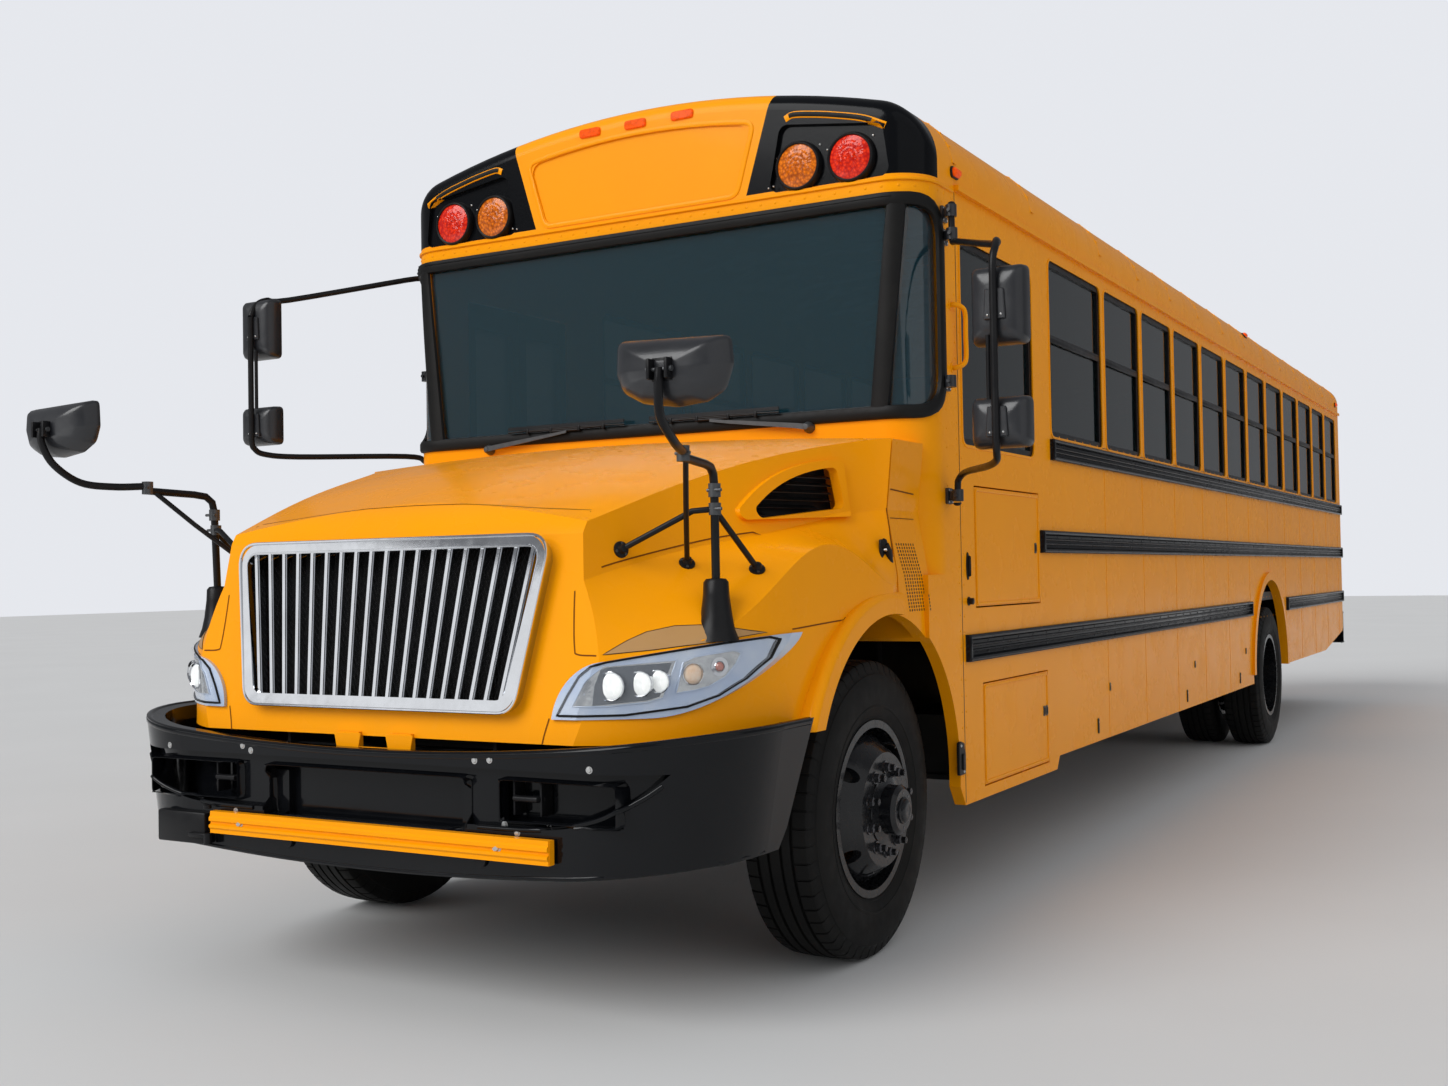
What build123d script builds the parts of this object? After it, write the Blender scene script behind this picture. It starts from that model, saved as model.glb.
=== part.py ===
from build123d import *
import math
import os

os.makedirs("parts", exist_ok=True)

# The bus faces -Y with its driver's side on +X, and stands on z = 0.
# A station is a distance behind the front axle. All sizes are in millimetres.

# Chassis
FRONT_REACH = 1480       # front axle to the foremost point of the hood mirrors
REAR_REACH = 11060       # front axle to the back of the rear bumper
WHEELBASE = 7010
FRONT_AXLE_Y = (FRONT_REACH - REAR_REACH) / 2
JOINT_GAP = 6            # between a moving panel and its opening
SEAM = 1                 # between two panels of the same body
TOUCH = 0.01             # how near a corner counts as the one that is looked for
CUT = 10                 # how far a cut runs past a face
CUT_SIDE = 50            # how far a round cut across the bus runs past its sides
RUN_GAP = 0.05           # radial clearance of a pin in its bore
RAIL_X = 355             # inner face of a frame rail
RAIL_W = 75
RAIL_Z = 650
RAIL_H = 250
RAIL_T = 12
RAIL_FRONT = -1150
RAIL_REAR = 10900

# Wheels
TYRE_R = 507
TYRE_W = 276
RIM_R = 286
RIM_W = 230
FRONT_TRACK = 2032
DUAL_OUTER_X = 1088
DUAL_SPACING = 336
KINGPIN_X = 890
KINGPIN_R = 20
SPINDLE_R = 40
STUD_CIRCLE_R = 142.875
STUD_COUNT = 10
STUD_R = 11
STUD_L = 38
WHEEL_OFFSET = 165

# Body
BODY_WIDTH = 2438
HALF = BODY_WIDTH / 2
WALL = 45
BODY_FRONT = 330
FRONT_SEAM = 660         # front shell to side wall
REAR_SEAM = 10850        # side wall to rear wall
BODY_REAR = 11010
FRONT_CORNER_R = 170
REAR_CORNER_R = 140
GUTTER_Z = 2755
CROWN_Z = 3200
CROWN_R = 4000
ROOF_EDGE_R = 230
FLOOR_Z = 1120
FLOOR_T = 60
SILL_H = 160
SILL_W = 60
FRONT_SKIRT_Z = 430
SKIRT_STEP = 1790
SKIRT_Z = 486
TAIL_Z = 550
TAIL_KNEE = 9750
TAIL_END_Z = 705

# Arches
FRONT_ARCH_Z = 560
FRONT_ARCH_R = 610
REAR_ARCH_Z = 560
REAR_ARCH_R = 650
FLARE_W = 60
FLARE_T = 18

# Side windows
WINDOW_Z = (1900, 2700)
WINDOW_R = 50
FIRST_WINDOW = (1800, 2630)
WINDOW_START = 2660      # centre of the pillar behind the first window
WINDOW_PITCH = 728
WINDOW_COUNT = 11
PILLAR = 60
DRIVER_WINDOW = (700, 1560)
DRIVER_WINDOW_Z = (1790, 2590)
SASH = 30
SASH_DEEP = 30
SASH_BAR = 0.56          # height of the sash bar as a share of its window
GLASS_T = 6

# Windshield: one pane across the front and one round each corner, with a slanted post between
WINDSHIELD_Z = (1895, 2675)
POST_X = (1042, 1118)    # middle of the post at its foot and at its head
POST_W = 50
POST_LAP = 10            # how far a post runs past the opening
QUARTER_REAR = 500
QUARTER_R = 130
WINDSHIELD_INSET = 14    # outer face of the glass behind the body's face

# Cowl and hood
COWL_FRONT = 100
COWL_SIDE_Z = 900        # foot of the cowl's side at the arch
COWL_SIDE_TOP = 1300
HOOD_REAR = 90
HOOD_SKIN = 18
HOOD_LOW = 830
CREASE_R = 30            # hollow between the hood's side and the wing
NOSE_LOW_STATION = -1200
NOSE_HIGH_STATION = -1110
NOSE_HIGH_Z = 1440
NOSE_ROLL = (-1062, 1507)    # station and height half way over the nose
NOSE_TOP = (-960, 1567)      # where the roll meets the hood's top
FENDER_INNER = 500
FLARE_X = (1120, 1228)
FLARE_RING = 78
FLARE_R = 26
TAB_X = (62, 150)            # the two tabs under the nose
TAB_Z = (792, 842)
TAB_STATION = (-1212, -1192)

# Vent in the hood's side: stations and heights of its tip, upper edge and rear
VENT_TIP = (-540, 1483)
VENT_TOP = (-300, 1622)
VENT_REAR = (-85, 1672)
VENT_FOOT = (-60, 1532)
VENT_R = 22
VENT_X = (850, 1260)
VENT_RIM = 28
VENT_PROUD = 12

# Headlamps, as x and z in the front view of one side
LAMP_INNER_LOW = (670, 903)
LAMP_INNER_ARC = (716, 1012)
LAMP_INNER_TOP = (812, 1066)
LAMP_TIP = (1172, 1132)
LAMP_OUTER_ARC = (1112, 985)
LAMP_OUTER_LOW = (930, 905)
LAMP_PROUD = 10

# Grille
GRILLE_LOW = 915
GRILLE_HIGH = 1432
GRILLE_HALF = (545, 640)
GRILLE_BAND = 34
GRILLE_BAND_LIP = 6          # band that laps over the edge of the nose's opening
GRILLE_DEEP = 40
GRILLE_BLADES = 19
BLADE_W = 17
BLADE_BACK = 24
BLADE_FRONT = 30
BLADE_TAPER = 5
GRILLE_CORNER_R = 70

# Front bumper: narrower at its foot than at its top, with ends that rise
BUMPER_FRONT = -1275
BUMPER_Z = (432, 796)
BUMPER_TIP_Z = (507, 880)
BUMPER_HALF = (1165, 1240)
BUMPER_T = 55
BUMPER_CORNER_R = 430
BUMPER_REAR = -640
BUMPER_END = [
    # station, height of the slanted end
    (-650, 880), (-735, 560), (-830, 400),
]
BUMPER_SLOT = (410, 575, 735)
BUMPER_SIDE_SLOT = (530, 940, 612, 735)
SMILE = [
    # x, z from the middle of the foot to the tip
    (640, 598), (880, 640), (1060, 762),
]
SMILE_DEEP = 30
TOW_R = 26
BRACKET_Z = (530, 710)

# Rear bumper
REAR_BUMPER_HALF = 1205
REAR_BUMPER_Z = (560, 860)
REAR_BUMPER_R = 40

# Doors
DOOR_SPAN = (704, 1476)
DOOR_Z = (455, 2600)
DOOR_T = 40
STEP_COUNT = 3
STEP_TREAD = 210
STEP_FIRST_Z = 450
STEP_T = 30
PANEL_DOOR = (810, 1604, 1168, 1642)
BATTERY_DOOR = (870, 1682, 474, 876)
HATCH_STATIONS = (3700, 8800)
HATCH = 600
HATCH_RIM = 45
HATCH_T = 50
REAR_DOOR_HALF = 480
REAR_DOOR_Z = (960, 2560)

# Seats
SEAT_ROWS = 12
SEAT_START = 2120
SEAT_W = 990
SEAT_GAP = 30
CUSHION_D = 400
CUSHION_T = 120
CUSHION_TOP = 450
BACK_T = 95
BACK_H = 640

# Rub rails: z low, z high, first station, first station on the door's side
RUB_RAILS = [
    (1797, 1891, 1783, 1783),
    (1385, 1483, 1613, 1560),
    (966, 1069, 690, 1560),
]
RUB_T = 22
RUB_GROOVE = 6

# Crossing arm
ARM_X = (-620, 735)
ARM_Z = (506, 576)
ARM_T = 22

# Mirrors
MIRROR_X = 1655
MIRROR_STATION = -105
MIRROR_Z = [
    # side, middle of the tall head, middle of the spot head
    (1, 2160, 1785), (-1, 2400, 1985),
]
MIRROR_HEAD = (185, 70, 255)
MIRROR_SPOT = (196, 70, 165)
MIRROR_EDGE_R = 26
MIRROR_TAPER = 14
MIRROR_ARM_UP = 290          # upper mount above the tall head's middle
MIRROR_ARM_DOWN = 160        # lower mount below the spot head's middle
MIRROR_MOUNTS = (570, 630)   # stations of the upper and lower mount
MOUNT_T = 38
TUBE_R = 14
MIRROR_BEND = 60
HOOD_MIRROR_BASE = (1015, -890, 1240)
HOOD_MIRROR_KNEE = (1045, -900, 1540)
HOOD_MIRROR_HEAD = (1218, 1816)
HOOD_MIRROR_SIZE = (306, 110, 186)
BOOT_R = 56
BOOT_Z = (1120, 1285)
BOOT_TAPER = 10
BRACE_R = 8
BRACE_TOP_Z = 1465
BRACE_FEET = [
    # x, station, z of each brace's foot on the hood
    (790, -1000, 1352), (1085, -700, 1300),
]


def y_at(station):
    return FRONT_AXLE_Y + station


def span(x, y, z, mode=Mode.ADD):
    """A box from its low and high x, its first and last station, and its low and high z."""
    with Locations((x[0], y_at(y[0]), z[0])):
        Box(x[1] - x[0], y[1] - y[0], z[1] - z[0], align=(Align.MIN,) * 3, mode=mode)


def save(part, name):
    part.label = name
    export_step(part, f"parts/{name}.step")


def sides(pair):
    """A pair of x values on one side, low and high, for the driver's side and mirrored."""
    return (pair, (-pair[1], -pair[0]))


def cross_section(station, low, inset):
    """The body's outline across the bus: upright sides, rounded roof edges, crowned roof."""
    half = HALF - inset
    edge_r = ROOF_EDGE_R - inset
    crown_r = CROWN_R - inset
    centre_z = CROWN_Z - CROWN_R
    edge_x = half - edge_r
    edge_z = centre_z + math.sqrt((crown_r - edge_r) ** 2 - edge_x ** 2)
    turn = math.atan2(edge_z - centre_z, edge_x)
    meet = (crown_r * math.cos(turn), centre_z + crown_r * math.sin(turn))
    middle = (edge_x + edge_r * math.cos(turn / 2), edge_z + edge_r * math.sin(turn / 2))
    with BuildSketch(Plane.XZ.offset(-y_at(station))) as face:
        with BuildLine():
            Polyline((-half, edge_z), (-half, low), (half, low), (half, edge_z))
            ThreePointArc((half, edge_z), middle, meet)
            ThreePointArc(meet, (0, CROWN_Z - inset), (-meet[0], meet[1]))
            ThreePointArc((-meet[0], meet[1]), (-middle[0], middle[1]), (-half, edge_z))
        make_face()
    return face.sketch


def end_form(closed, seam, low, inset, corner_r):
    """One rounded end of the body as a solid, from its closed station to its seam."""
    wall = closed + inset if closed < seam else closed - inset
    near, far = sorted((wall, seam))
    with BuildPart() as form:
        extrude(cross_section(far, low, inset), amount=far - near)
        with BuildSketch(Plane.XY.offset(low)) as plan:
            with Locations((0, y_at((near + far) / 2))):
                Rectangle(2 * (HALF - inset), far - near)
            fillet(plan.vertices().group_by(Axis.Y)[0 if closed < seam else -1], corner_r - inset)
        extrude(amount=CROWN_Z, mode=Mode.INTERSECT)
    return form.part


def side_plate(x, points):
    """A plate in the side view between two x values, from stations and heights."""
    with BuildPart() as plate:
        with BuildSketch(Plane.YZ.offset(x[0])):
            with BuildLine():
                Polyline(*[(y_at(s), z) for s, z in points], close=True)
            make_face()
        extrude(amount=x[1] - x[0])
    return plate.part


def side_cut(x, stations, z, radius):
    """A rounded rectangle in the side view, through the given x values."""
    with BuildPart() as cut:
        with BuildSketch(Plane.YZ.offset(x[0])):
            with Locations((y_at(sum(stations) / 2), sum(z) / 2)):
                RectangleRounded(stations[1] - stations[0], z[1] - z[0], radius)
        extrude(amount=x[1] - x[0])
    return cut.part


def cross_cylinder(x, station, z, radius):
    """A cylinder lying across the bus."""
    with BuildPart() as bar:
        with BuildSketch(Plane.YZ.offset(x[0])):
            with Locations((y_at(station), z)):
                Circle(radius)
        extrude(amount=x[1] - x[0])
    return bar.part


def turned(x, station, z, outline):
    """A revolved piece on a cross axis: outline holds (distance outwards from x, radius)."""
    with BuildPart() as piece:
        with BuildSketch(Plane.XY.offset(z)):
            with BuildLine():
                Polyline(*[(x[0] + x[1] * a, y_at(station) + r) for a, r in outline], close=True)
            make_face()
        revolve(axis=Axis((0, y_at(station), z), (1, 0, 0)))
    return piece.part


def tube(points, radius, bend):
    """A round tube through a list of points with one bend radius."""
    with BuildPart() as pipe:
        with BuildLine() as path:
            FilletPolyline(*points, radius=bend)
        with BuildSketch(path.line ^ 0):
            Circle(radius)
        sweep()
    return pipe.part


def rod(start, end, radius):
    """A straight round rod between two points."""
    run = Vector(*end) - Vector(*start)
    with BuildPart() as bar:
        with BuildSketch(Plane(origin=start, z_dir=run)):
            Circle(radius)
        extrude(amount=run.length)
    return bar.part


def front_plate(points, stations):
    """A plate in the front view between two stations, from x and z."""
    with BuildPart() as plate:
        with BuildSketch(Plane.XZ.offset(-y_at(stations[1]))):
            with BuildLine():
                Polyline(*points, close=True)
            make_face()
        extrude(amount=stations[1] - stations[0])
    return plate.part


# Hood sections across the bus, from the nose to the windshield. Half outline from the foot upwards.
HOOD_SECTIONS = [
    # station, crown z, shoulder x, z and r, crease x and z, wing x, z and r, foot x
    (-1206, 1490, 690, 1440, 60, 715, 1285, 735, 1040, 40, 730),
    (-1120, 1515, 720, 1465, 80, 745, 1305, 885, 1075, 50, 890),
    (-960, 1567, 765, 1520, 100, 800, 1348, 1045, 1125, 70, 1050),
    (-700, 1650, 835, 1605, 120, 905, 1405, 1150, 1285, 110, 1160),
    (-330, 1747, 940, 1700, 150, 1010, 1464, 1190, 1395, 120, 1200),
    (HOOD_REAR, 1815, 1190, 1775, 200, 1165, 1528, 1200, 1300, 60, 1205),
]


def hood_section(row, low, inset):
    """One section of hood and wings: crowned top, rounded shoulders, a crease, and the wings' tops."""
    station, crown_z, shoulder_x, shoulder_z, shoulder_r, *lower = row
    crease_x, crease_z, wing_x, wing_z, wing_r, foot_x = lower
    foot = (foot_x - inset, low - inset)
    wing = (wing_x - inset, wing_z - inset)
    crease = (crease_x - inset, crease_z - inset)
    shoulder = (shoulder_x - inset, shoulder_z - inset)
    with BuildSketch(Plane.XZ.offset(-y_at(station))) as outline:
        with BuildLine():
            for side in (1, -1):
                Polyline(*[(side * x, z) for x, z in (foot, wing, crease, shoulder)])
            Line((-foot[0], foot[1]), foot)
            ThreePointArc(shoulder, (0, crown_z - inset), (-shoulder[0], shoulder[1]))
        make_face()
        corners = ((shoulder, shoulder_r - inset), (crease, CREASE_R + inset), (wing, wing_r - inset))
        for (x, z), radius in corners:
            fillet([v for v in outline.vertices() if abs(abs(v.X) - x) + abs(v.Z - z) < TOUCH], radius)
    return outline.sketch


# Frame rails: two channels that open inwards, with cross-members
CROSS_MEMBERS = (-1120, 1060, 2600, 4300, 6000, 8100, 9800)
MEMBER_W = 60
MEMBER_Z = (RAIL_Z + 40, RAIL_Z + 140)
with BuildPart() as frame_rails:
    for x in sides((RAIL_X, RAIL_X + RAIL_W)):
        span(x, (RAIL_FRONT, RAIL_REAR), (RAIL_Z, RAIL_Z + RAIL_H))
    for x in sides((RAIL_X, RAIL_X + RAIL_W - RAIL_T)):
        span(x, (RAIL_FRONT, RAIL_REAR), (RAIL_Z + RAIL_T, RAIL_Z + RAIL_H - RAIL_T), Mode.SUBTRACT)
    for station in CROSS_MEMBERS:
        span((-RAIL_X - RAIL_W + RAIL_T, RAIL_X + RAIL_W - RAIL_T), (station, station + MEMBER_W), MEMBER_Z)
save(frame_rails.part, "frame_rails")

# Front axle: a dropped beam with an eye for each kingpin
AXLE_DROP = 95
AXLE_W = 90
AXLE_H = 90              # of the beam's dropped middle
EYE_R = 52
EYE_H = 110
AXLE_HALF = [
    # x, height above the wheel's centre, from the kingpin in along the top and back out below
    (KINGPIN_X, 35), (700, 20), (560, AXLE_H / 2 - AXLE_DROP), (600, -AXLE_DROP - AXLE_H / 2), (740, -60),
    (KINGPIN_X, -35),
]
AXLE_TOPS = 3            # how many of those points lie along the top
with BuildPart() as front_axle:
    with BuildSketch(Plane.XZ.offset(-y_at(AXLE_W / 2))):
        with BuildLine():
            top = AXLE_HALF[:AXLE_TOPS]
            under = AXLE_HALF[AXLE_TOPS:]
            beam = [(-x, z) for x, z in top] + top[::-1] + under[::-1] + [(-x, z) for x, z in under]
            Polyline(*[(x, TYRE_R + z) for x, z in beam], close=True)
        make_face()
    extrude(amount=AXLE_W)
    with BuildSketch(Plane.XY.offset(TYRE_R - EYE_H / 2)):
        with Locations((KINGPIN_X, y_at(0)), (-KINGPIN_X, y_at(0))):
            Circle(EYE_R)
    extrude(amount=EYE_H)
    with BuildSketch(Plane.XY.offset(TYRE_R - EYE_H)):
        with Locations((KINGPIN_X, y_at(0)), (-KINGPIN_X, y_at(0))):
            Circle(KINGPIN_R + RUN_GAP)
    extrude(amount=2 * EYE_H, mode=Mode.SUBTRACT)
save(front_axle.part, "front_axle")

# Rear axle: housing tubes, differential bowl
REAR_TUBE_R = 62
REAR_TUBE_HALF = 960
DIFF_R = 190
DIFF_HALF = 110
PINION_R = 95
PINION_STATION = (WHEELBASE - 280, WHEELBASE - 100)
with BuildPart() as rear_axle:
    add(cross_cylinder((-REAR_TUBE_HALF, REAR_TUBE_HALF), WHEELBASE, TYRE_R, REAR_TUBE_R))
    add(cross_cylinder((-DIFF_HALF, DIFF_HALF), WHEELBASE, TYRE_R, DIFF_R))
    with BuildSketch(Plane.XZ.offset(-y_at(PINION_STATION[1]))):
        with Locations((0, TYRE_R)):
            Circle(PINION_R)
    extrude(amount=PINION_STATION[1] - PINION_STATION[0])
save(rear_axle.part, "rear_axle")

# Leaf springs: an arched pack under each rail at both axles
SPRING_X = (RAIL_X - 5, RAIL_X + 75)
SPRING_EYE = 40              # length of a spring's end under the rail
SPRING_T = 28                # thickness of a spring's end
SPRINGS = [
    # axle station, half length, lowest z, thickness at the axle
    (0, 560, TYRE_R - AXLE_DROP + 45, 48),
    (WHEELBASE, 620, TYRE_R + REAR_TUBE_R, 56),
]
with BuildPart() as leaf_springs:
    for station, half, low, thick in SPRINGS:
        high = RAIL_Z - SPRING_T
        first, middle, last = y_at(station - half), y_at(station), y_at(station + half)
        for x in sides(SPRING_X):
            with BuildSketch(Plane.YZ.offset(x[0])):
                with BuildLine():
                    ThreePointArc((first, high), (middle, low), (last, high))
                    Polyline((last, high), (last, RAIL_Z), (last - SPRING_EYE, RAIL_Z))
                    ThreePointArc((last - SPRING_EYE, RAIL_Z), (middle, low + thick),
                                  (first + SPRING_EYE, RAIL_Z))
                    Polyline((first + SPRING_EYE, RAIL_Z), (first, RAIL_Z), (first, high))
                make_face()
            extrude(amount=x[1] - x[0])
save(leaf_springs.part, "leaf_springs")

# Engine and gearbox as plain blocks, and the radiator behind the grille
RADIATOR_STATION = (-1030, -950)
RADIATOR_HALF = 420
RADIATOR_TOP = 1390
POWER_BLOCKS = [
    # half width, stations, heights of the engine and of the gearbox
    (330, (-780, 280), (640, 1420)),
    (200, (280, 980), (560, 960)),
]
with BuildPart() as engine:
    for half, stations, heights in POWER_BLOCKS:
        span((-half, half), stations, heights)
save(engine.part, "engine")
with BuildPart() as radiator:
    span((-RADIATOR_HALF, RADIATOR_HALF), RADIATOR_STATION, (RAIL_Z + RAIL_H, RADIATOR_TOP))
save(radiator.part, "radiator")

# Driveshaft between the gearbox and the rear axle, with a yoke at its rear end
SHAFT_R = 48
SHAFT_Z = 620
SHAFT_YOKE = (90, 180, 30)   # width, height, corner radius
SHAFT_YOKE_Z = 560
SHAFT_YOKE_T = 40
with BuildPart() as driveshaft:
    with BuildSketch(Plane.XZ.offset(-y_at(PINION_STATION[0]))):
        with Locations((0, SHAFT_Z)):
            Circle(SHAFT_R)
    extrude(amount=PINION_STATION[0] - POWER_BLOCKS[-1][1][1])
    with BuildSketch(Plane.XZ.offset(-y_at(PINION_STATION[0]))):
        with Locations((0, SHAFT_YOKE_Z)):
            RectangleRounded(*SHAFT_YOKE)
    extrude(amount=SHAFT_YOKE_T)
save(driveshaft.part, "driveshaft")

# Fuel tank on the door's side, hung on two straps
TANK_GAP = 10                # between the tank and the frame rail
TANK = ((-1120, -RAIL_X - RAIL_W - TANK_GAP), (3000, 4500), (500, 900))
TANK_R = 60
STRAP_STATIONS = (3300, 4140)
STRAP_W = 60
STRAP_Z = (RAIL_Z + 40, RAIL_Z + 200)
with BuildPart() as fuel_tank:
    span(*TANK)
    fillet(fuel_tank.edges().filter_by(Axis.Y), TANK_R)
    for station in STRAP_STATIONS:
        span((TANK[0][1], TANK[0][1] + TANK_GAP), (station, station + STRAP_W), STRAP_Z)
save(fuel_tank.part, "fuel_tank")

# Exhaust: muffler and a tailpipe out at the rear
PIPE_R = 50
PIPE_BEND = 160
MUFFLER_R = 140
MUFFLER_STATION = (3600, 4900)
PIPE_RUNS = [
    # x, station, z of the pipe from the engine to the muffler, then of the tailpipe over the rear axle
    [(640, 3600, 640), (640, 1900, 640), (500, 1300, 640)],
    [(640, 4900, 640), (640, 5750, 640), (520, 6150, 855), (520, 7900, 855), (800, 8400, 500),
     (800, BODY_REAR + 20, 500)],
]
with BuildPart() as exhaust:
    with BuildSketch(Plane.XZ.offset(-y_at(MUFFLER_STATION[1]))):
        with Locations((PIPE_RUNS[0][0][0], PIPE_RUNS[0][0][2])):
            Circle(MUFFLER_R)
    extrude(amount=MUFFLER_STATION[1] - MUFFLER_STATION[0])
    for run in PIPE_RUNS:
        add(tube([(x, y_at(station), z) for x, station, z in run], PIPE_R, PIPE_BEND))
save(exhaust.part, "exhaust")

# Floor, the cross sills that carry it on the frame rails, and the stepwell at the entrance
INNER = HALF - WALL
WELL_X = (-INNER, -INNER + STEP_COUNT * STEP_TREAD)
WELL_Y = (DOOR_SPAN[0] + 20, DOOR_SPAN[1] - 20)
RISER = (FLOOR_Z - STEP_FIRST_Z) / STEP_COUNT
SILL_Z = (FLOOR_Z - FLOOR_T - SILL_H, FLOOR_Z - FLOOR_T)
SILL_START = 1700
SILL_COUNT = 13
SILL_CLEAR = TYRE_R + 90     # no sill nearer to the rear axle than this
with BuildPart() as floor:
    with BuildSketch(Plane.XY.offset(FLOOR_Z - FLOOR_T)) as deck:
        with Locations((0, y_at((BODY_FRONT + BODY_REAR) / 2))):
            Rectangle(2 * INNER, BODY_REAR - BODY_FRONT - 2 * WALL)
        fillet(deck.vertices().group_by(Axis.Y)[0], FRONT_CORNER_R - WALL)
        fillet(deck.vertices().group_by(Axis.Y)[-1], REAR_CORNER_R - WALL)
    extrude(amount=FLOOR_T)
    span(WELL_X, (WELL_Y[0] - STEP_T, WELL_Y[1] + STEP_T), (FLOOR_Z - FLOOR_T, FLOOR_Z), Mode.SUBTRACT)
save(floor.part, "floor")
with BuildPart() as floor_sills:
    for i in range(SILL_COUNT):
        station = SILL_START + i * WINDOW_PITCH
        if abs(station + SILL_W / 2 - WHEELBASE) > SILL_CLEAR:
            span((-INNER, INNER), (station, station + SILL_W), SILL_Z)
save(floor_sills.part, "floor_sills")
with BuildPart() as stepwell:
    for i in range(STEP_COUNT):
        tread = STEP_FIRST_Z + i * RISER
        edge = WELL_X[0] + i * STEP_TREAD
        span((edge, edge + STEP_TREAD), WELL_Y, (tread - STEP_T, tread))
        span((edge + STEP_TREAD - STEP_T, edge + STEP_TREAD), WELL_Y, (tread - STEP_T, tread + RISER))
        for low in (WELL_Y[0] - STEP_T, WELL_Y[1]):
            span((edge, edge + STEP_TREAD), (low, low + STEP_T), (tread - STEP_T, FLOOR_Z))
save(stepwell.part, "stepwell")

# Side walls: one outline, pierced by windows, the rear arch and the door openings
SKIRT = [
    # station, height
    (FRONT_SEAM, GUTTER_Z), (FRONT_SEAM, FRONT_SKIRT_Z), (SKIRT_STEP, FRONT_SKIRT_Z),
    (SKIRT_STEP + 40, SKIRT_Z), (WHEELBASE, SKIRT_Z), (WHEELBASE, TAIL_Z), (TAIL_KNEE, TAIL_Z),
    (REAR_SEAM, TAIL_Z + (TAIL_END_Z - TAIL_Z) * (REAR_SEAM - TAIL_KNEE) / (BODY_REAR - TAIL_KNEE)),
    (REAR_SEAM, GUTTER_Z),
]
WINDOWS = [FIRST_WINDOW] + [
    (WINDOW_START + i * WINDOW_PITCH + PILLAR / 2, WINDOW_START + (i + 1) * WINDOW_PITCH - PILLAR / 2)
    for i in range(WINDOW_COUNT)
]
POCKET_DEEP = 110            # box behind the electrical panel's door
POCKET_T = 15


def side_wall(x, direction):
    """A side wall with its windows and the rear arch, and its flare."""
    outer = x[1] if direction > 0 else x[0]
    flare = (outer, outer + direction * FLARE_T)
    with BuildPart() as wall:
        add(side_plate(x, SKIRT))
        add(cross_cylinder((min(flare), max(flare)), WHEELBASE, REAR_ARCH_Z, REAR_ARCH_R + FLARE_W))
        span((min(flare) - 1, max(flare) + 1), (WHEELBASE - 2 * REAR_ARCH_R, WHEELBASE + 2 * REAR_ARCH_R),
             (-REAR_ARCH_R, TAIL_Z), Mode.SUBTRACT)
        through = (min(x) - WALL, max(x) + WALL)
        add(cross_cylinder(through, WHEELBASE, REAR_ARCH_Z, REAR_ARCH_R), mode=Mode.SUBTRACT)
        for window in WINDOWS:
            add(side_cut(x, window, WINDOW_Z, WINDOW_R), mode=Mode.SUBTRACT)
    return wall.part


with BuildPart() as left_wall:
    add(side_wall((INNER, HALF), 1))
    add(side_cut((INNER, HALF), DRIVER_WINDOW, DRIVER_WINDOW_Z, WINDOW_R), mode=Mode.SUBTRACT)
    span((INNER, HALF), PANEL_DOOR[:2], PANEL_DOOR[2:], Mode.SUBTRACT)
    span((INNER, HALF), BATTERY_DOOR[:2], BATTERY_DOOR[2:], Mode.SUBTRACT)
    span((INNER - POCKET_DEEP, INNER), (PANEL_DOOR[0] - POCKET_T, PANEL_DOOR[1] + POCKET_T),
         (PANEL_DOOR[2] - POCKET_T, PANEL_DOOR[3] + POCKET_T))
    span((INNER - POCKET_DEEP + POCKET_T, INNER), PANEL_DOOR[:2], PANEL_DOOR[2:], Mode.SUBTRACT)
save(left_wall.part, "left_wall")
with BuildPart() as right_wall:
    add(side_wall((-HALF, -INNER), -1))
    span((-HALF, -INNER), DOOR_SPAN, (0, DOOR_Z[1]), Mode.SUBTRACT)
save(right_wall.part, "right_wall")

# Batteries in a tray behind the battery door
TRAY_X = (760, 1150)
TRAY_STATION = (900, 1650)
TRAY_Z = 486
TRAY_T = 20
BATTERY_X = (800, 1130)
BATTERY_L = 220
BATTERY_TOP = 740
BATTERY_STATIONS = (920, 1160, 1400)
with BuildPart() as battery_box:
    span(TRAY_X, TRAY_STATION, (TRAY_Z, TRAY_Z + TRAY_T))
    span((TRAY_X[0], TRAY_X[0] + TRAY_T), TRAY_STATION, (TRAY_Z + TRAY_T, FLOOR_Z - FLOOR_T))
    for station in BATTERY_STATIONS:
        span(BATTERY_X, (station, station + BATTERY_L), (TRAY_Z + TRAY_T, BATTERY_TOP))
save(battery_box.part, "battery_box")

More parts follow.
